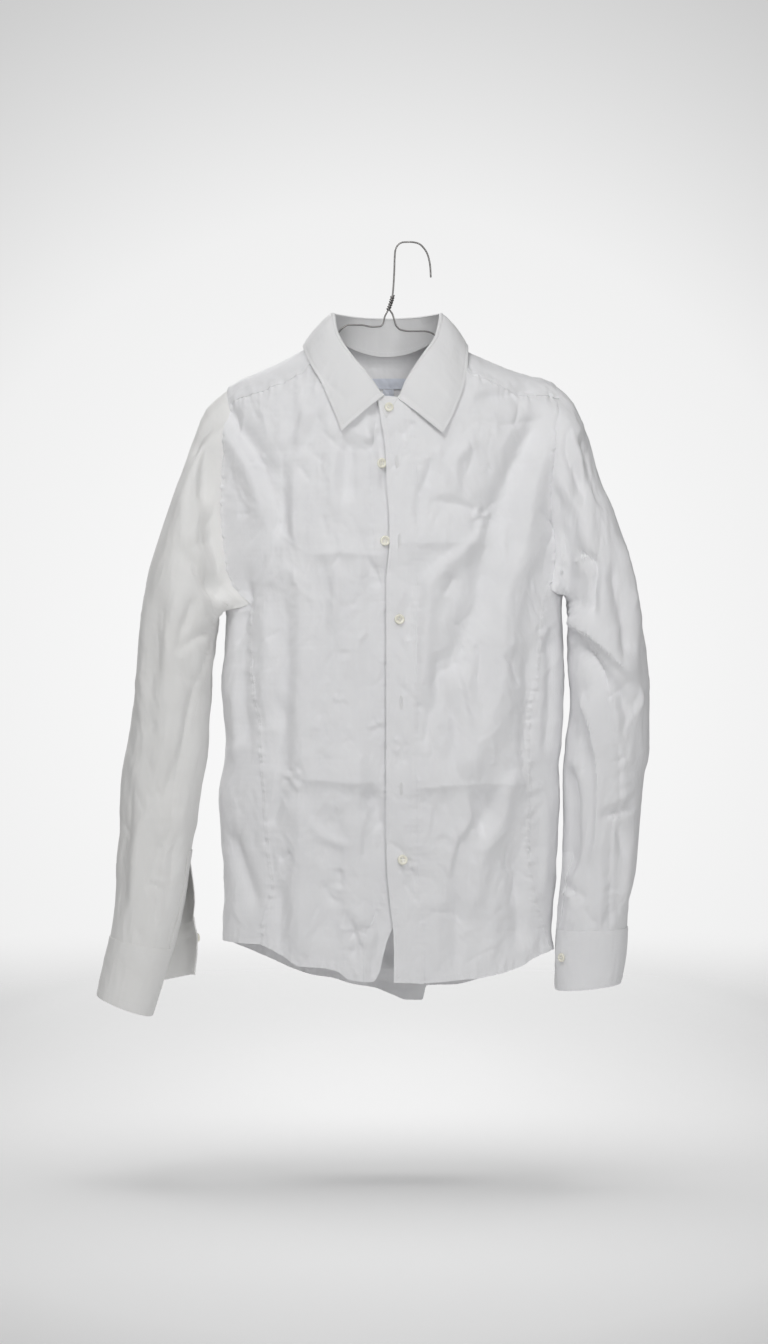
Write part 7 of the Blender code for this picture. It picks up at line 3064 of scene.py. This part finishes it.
class Shirt:
    """The whole shirt on its hanger."""

    def __init__(self) -> None:
        """Lay out the forms that the pieces are cut from."""
        self.body = Body()
        self.neck = Neck(self.body)
        self.cloth = BodyCloth(self.body, self.neck)
        self.seams = SeamLines()
        self.buttons = Buttons()
        self.holes: list[tuple[Array, Array]] = []
        self.sleeves = [
            Sleeve(
                "right",
                -1,
                SleeveSurface(-1, self.cloth.armhole(-1)),
                Cut(400.0, 560.0, ("yoke_cloth",), share=0.78),
                Cut(245.0, 74.0, ("sleeve_right_cloth",)),
                Cut(23.0, 92.0, ("sleeve_right_cloth",)),
            ),
            Sleeve(
                "left",
                1,
                SleeveSurface(1, self.cloth.armhole(1)),
                Cut(400.0, 560.0, ("yoke_cloth",), share=0.76),
                Cut(245.0, 74.0, ("sleeve_left_cloth",)),
                Cut(22.0, 64.0, ("sleeve_left_cloth",)),
            ),
        ]
        self.collar = Collar(self.neck, self.body)
        self.labels = (
            Label("neck_tape", "neck_label", -46.0, -4.5, -149.5, -162.0),
            Label("size_tape", "size_tab", -31.0, -18.5, -162.5, -171.5),
        )

    def place_buttons(self) -> None:
        """Put the buttons on the right front and on the cuffs, and on the collar stand."""
        under = self.cloth.under
        for index, (name, (x, z, fastened)) in enumerate(BUTTONS.items()):
            surface, wall = (self.body, STIFF_WALL + 0.7) if fastened else (under, STIFF_WALL)
            spot = self.body.pattern([(x, z)])
            ways = ((1, 0), (-1, 0), (0, 1), (0, -1))
            ring = self.body.pattern([(x + a * BUTTON_REACH, z + b * BUTTON_REACH) for a, b in ways])
            around = surface.at(*ring.T)
            facing = unit(np.cross(around[0] - around[1], around[2] - around[3]))
            here = surface.at(*spot.T)[0]
            lift = max(0.0, float((around.mean(axis=0) - here) @ facing)) + wall / 2 + BUTTON_LIFT
            self.buttons.add(name, here + facing * lift, facing, 0.3 * index, BUTTON_RADIUS)
        turn = np.array([COLLAR_BUTTON_TURN])
        low, high = (self.collar.stand_at(turn, np.array([share]))[0] for share in (0.0, 1.0))
        here = low + (high - low) * (COLLAR_BUTTON_HEIGHT - low[2]) / (high[2] - low[2])
        here = here + np.array([0.0, -self.collar.wall / 2 - 0.9, 0.0])
        ahead = np.array([0.0, -1.0, 0.0])
        radius = BUTTON_RADIUS * COLLAR_BUTTON_SIZE
        self.buttons.add("collar_button", here, ahead, 0.4, radius)
        for sleeve, angle, share in zip(
            self.sleeves, (RIGHT_SLIT + 16.0, LEFT_SLIT + 360.0 - 32.0), (0.5, 0.52)
        ):
            spot = sleeve.cuff_points(np.array([share]), np.array([angle]))[0]
            facing = sleeve.cuff_facing(np.array([share]), np.array([angle]))[0]
            place = spot + facing * (sleeve.cuff_wall / 2 + BUTTON_LIFT)
            self.buttons.add(f"cuff_button_{sleeve.name}", place, facing, 0.2, CUFF_BUTTON_RADIUS)

    def sew_buttonholes(self) -> None:
        """Sew the upright buttonholes down the placket."""
        body = self.body
        for x, z in PLACKET_HOLES:
            around = np.linspace(0.0, 2.0 * math.pi, 41)
            side, end = HOLE_HALF_WIDTH * np.cos(around), HOLE_HALF_LENGTH * np.sin(around)
            oval = np.stack([x + side, z + end], axis=-1)
            place = body.pattern(oval)
            above = 0.3 + STIFF_WALL / 2 + 0.1
            self.holes.append(
                (body.at(*place.T, above), body.facing(*place.T))
            )

    def build(self) -> None:
        """Make every piece and sew them together."""
        cotton = Poplin("cotton_poplin").make()
        warm = Poplin("cotton_poplin_warm", light="F0F0EF", dark="E9E8E6").make()
        fused = Poplin("cotton_poplin_fused", light="ECECEC", dark="E6E6E7").make()
        pearl, thread = Pearl().make(), Thread().make()
        steel, tape = DrawnWire().make(), Tape().make()
        self.cloth.build(cotton, self.seams)
        for sleeve, finish in zip(self.sleeves, (warm, cotton)):
            sleeve.build(finish, self.seams)
        self.collar.build_stand(fused, self.seams)
        self.collar.build_leaf(fused, self.seams)
        for label in self.labels:
            label.build(self.cloth.yoke, tape, self.seams)
        self.place_buttons()
        self.buttons.build(pearl, thread)
        self.sew_buttonholes()
        stitches = StitchTree()
        stitches.sew("seam_stitches", self.seams.lines, 2.9, (1.15, 0.2, 0.16), thread)
        stitches.sew("buttonhole_stitches", self.holes, 0.55, (0.24, 0.75, 0.16), thread)
        Hanger(self.body.ridge).build(steel)


MIDDLE_X = -0.03
FLOOR_NAME = "pale_floor"


@dataclass(frozen=True)
class Lamp:
    """A soft light that looks at the middle line of the shirt, in metres, watts and degrees."""

    name: str
    place: tuple[float, float, float]
    power: float
    size: tuple[float, float]
    lights_floor: bool = False
    looks_at: float = -0.45
    fan: float = 180.0

    def hang(self) -> None:
        """Hang the lamp, which lights either only the floor or all but the floor."""
        data = bpy.data.lights.new(self.name, "AREA")
        data.shape = "RECTANGLE"
        data.size, data.size_y = self.size
        data.energy = self.power
        data.color = (1.0, 1.0, 1.0)
        data.spread = math.radians(self.fan)
        obj = bpy.data.objects.new(self.name, data)
        obj.location = self.place
        target = Vector((MIDDLE_X, 0.0, self.looks_at))
        obj.rotation_euler = (target - obj.location).to_track_quat("-Z", "Y").to_euler()
        bpy.context.scene.collection.objects.link(obj)
        reach = bpy.data.collections.new(f"{self.name}_reach")
        reach.objects.link(bpy.data.objects[FLOOR_NAME])
        state = "INCLUDE" if self.lights_floor else "EXCLUDE"
        reach.collection_objects[0].light_linking.link_state = state
        obj.light_linking.receiver_collection = reach


LAMPS = (
    Lamp("soft_key", (-0.6, -1.5, 1.4), 19.5, (0.7, 0.7)),
    Lamp("soft_front", (0.85, -2.2, 0.35), 12.0, (0.6, 0.6)),
    # the low lamp reaches into the open neck
    Lamp("soft_low", (0.0, -2.7, -0.5), 0.27, (0.4, 0.4), looks_at=-0.16, fan=40.0),
    Lamp("soft_back", (-1.0, 1.8, 1.1), 27.0, (0.8, 0.8)),
    # the lamp overhead throws the shirt's shadow on the floor
    Lamp("soft_overhead", (MIDDLE_X, 0.0, 3.5), 112.0, (3.6, 2.6), lights_floor=True),
)


@dataclass(frozen=True)
class Studio:
    """A pale floor and a pale surround, both with painted light and shade, and soft light from above in
    front, in metres.
    """

    floor_height: float = -1.075
    floor_radius: float = 3.2
    floor_painted_glow: float = 0.25
    fill: float = 0.24
    camera_place: tuple[float, float, float] = (-0.030, -2.6, -0.493)
    lens: float = 60.6

    # painted light and shade: how far from the brightest place, and the tone painted there, darker outwards
    floor_painted_light_tones = ((0.0, "F7F7F7"), (0.18, "F5F5F5"), (0.56, "E8E8E8"), (0.8, "DBDBDB"), (0.9, "CECECE"))
    surround_painted_shade_tones = (
        (0.0, "F8F8F8"), (0.1, "F7F7F7"), (0.2, "F0F0F0"), (0.225, "EAEAEA"), (0.277, "DBDBDB"),
        (0.32, "CECECE"), (1.0, "C8C8C8"),
    )

    @staticmethod
    def set_stops(ramp: bpy.types.Node, stops: Sequence[tuple[float, str]]) -> Socket:
        """Set the tones of a ramp and give its colour.

        Args:
            ramp: The node of the ramp.
            stops: Where each tone lies, and the tone.

        Returns:
            The ramp's output.
        """
        elements = ramp.color_ramp.elements
        while len(elements) < len(stops):
            elements.new(0.5)
        for element, (place, colour) in zip(elements, stops):
            element.position = place
            element.color = linear(colour)
        return ramp.outputs["Color"]

    def floor(self) -> None:
        """Lay a round floor whose edge fades away, painted with a pool of light that also glows."""
        material, tree = new_material("painted_floor")
        place = add_node(tree, "ShaderNodeTexCoord").outputs["Object"]
        level = {0: place, 1: (1.0, 1.0, 0.0)}
        flat = add_node(tree, "ShaderNodeVectorMath", level, operation="MULTIPLY").outputs["Vector"]
        away = add_node(tree, "ShaderNodeVectorMath", {0: flat}, operation="LENGTH").outputs["Value"]
        fading = {"Value": away, "From Min": 0.5, "From Max": 2.6, "To Min": 1.0, "To Max": 0.0}
        fade = add_node(tree, "ShaderNodeMapRange", fading, interpolation_type="SMOOTHSTEP")
        # painted light: the floor's tone is painted brightest a little behind the shirt, as the surround is,
        # and darker outwards
        moved = {"Vector": place, "Location": (0.036, -0.42, 0.0), "Scale": (1.2, 0.6, 0.0)}
        shifted = add_node(tree, "ShaderNodeMapping", moved, vector_type="POINT").outputs[0]
        reach = add_node(tree, "ShaderNodeVectorMath", {0: shifted}, operation="LENGTH")
        ramp = add_node(tree, "ShaderNodeValToRGB", {"Fac": reach.outputs["Value"]})
        tone = self.set_stops(ramp, self.floor_painted_light_tones)
        finish_material(
            material,
            {
                "Alpha": fade.outputs["Result"],
                "Base Color": tone,
                "Roughness": 0.9,
                "Specular IOR Level": 0.1,
                # painted light: the floor glows in its own painted tone, though it is no lamp
                "Emission Color": tone,
                "Emission Strength": self.floor_painted_glow,
            },
        )
        rim = [
            (self.floor_radius * math.cos(a), self.floor_radius * math.sin(a), self.floor_height)
            for a in np.linspace(0.0, 2.0 * math.pi, 64, endpoint=False)
        ]
        mesh = bpy.data.meshes.new(FLOOR_NAME)
        mesh.from_pydata(rim, [], [tuple(range(len(rim)))])
        mesh.materials.append(material)
        obj = bpy.data.objects.new(FLOOR_NAME, mesh)
        bpy.context.scene.collection.objects.link(obj)

    def surround(self) -> None:
        """Make a pale surround with painted shade that darkens it a little upwards, and that lights softly.
        """
        world = bpy.data.worlds.new("pale_surround")
        bpy.context.scene.world = world
        world.use_nodes = True
        tree = world.node_tree
        tree.nodes.clear()
        way = add_node(tree, "ShaderNodeTexCoord").outputs["Generated"]
        squares = add_node(tree, "ShaderNodeVectorMath", {0: way, 1: way}, operation="MULTIPLY")
        parts = add_node(tree, "ShaderNodeSeparateXYZ", {"Vector": squares.outputs["Vector"]}).outputs
        # painted shade: the corners darken a little, alike from all four sides
        least = add_node(tree, "ShaderNodeMath", {0: parts["X"], 1: parts["Y"]}, operation="MINIMUM")
        aside = add_node(tree, "ShaderNodeMath", {0: least.outputs[0], 1: 0.03}, operation="MINIMUM")
        total = add_node(tree, "ShaderNodeMath", {0: parts["Z"], 1: aside.outputs[0]}, operation="ADD")
        reach = add_node(tree, "ShaderNodeMath", {0: total.outputs[0]}, operation="SQRT")
        ramp = add_node(tree, "ShaderNodeValToRGB", {"Fac": reach.outputs[0]})
        tone = self.set_stops(ramp, self.surround_painted_shade_tones)
        # the camera sees the painted shade of the surround; all other rays get the even soft light
        seen = add_node(tree, "ShaderNodeBackground", {"Color": tone, "Strength": 1.0})
        glow = {"Color": linear("F9F9F9"), "Strength": self.fill}
        lit = add_node(tree, "ShaderNodeBackground", glow)
        ray = add_node(tree, "ShaderNodeLightPath").outputs["Is Camera Ray"]
        both = {0: ray, 1: lit.outputs["Background"], 2: seen.outputs["Background"]}
        mixed = add_node(tree, "ShaderNodeMixShader", both)
        add_node(tree, "ShaderNodeOutputWorld", {"Surface": mixed.outputs["Shader"]})

    def camera(self) -> None:
        """Stand the camera level in front of the shirt's middle."""
        data = bpy.data.cameras.new("camera")
        data.lens = self.lens
        data.sensor_width = 36.0
        data.clip_start = 0.05
        data.clip_end = 30.0
        obj = bpy.data.objects.new("camera", data)
        obj.location = self.camera_place
        obj.rotation_euler = (math.radians(90.0), 0.0, 0.0)
        bpy.context.scene.collection.objects.link(obj)
        bpy.context.scene.camera = obj
        bpy.context.scene.view_settings.view_transform = "Standard"

    def build(self) -> None:
        """Set up the floor, the surround, the lamps and the camera."""
        self.floor()
        self.surround()
        for lamp in LAMPS:
            lamp.hang()
        self.camera()


def main() -> None:
    """Build the shirt, then the studio round it."""
    logging.basicConfig(level=logging.INFO, format="%(message)s")
    Shirt().build()
    Studio().build()


if __name__ == "__main__":
    main()
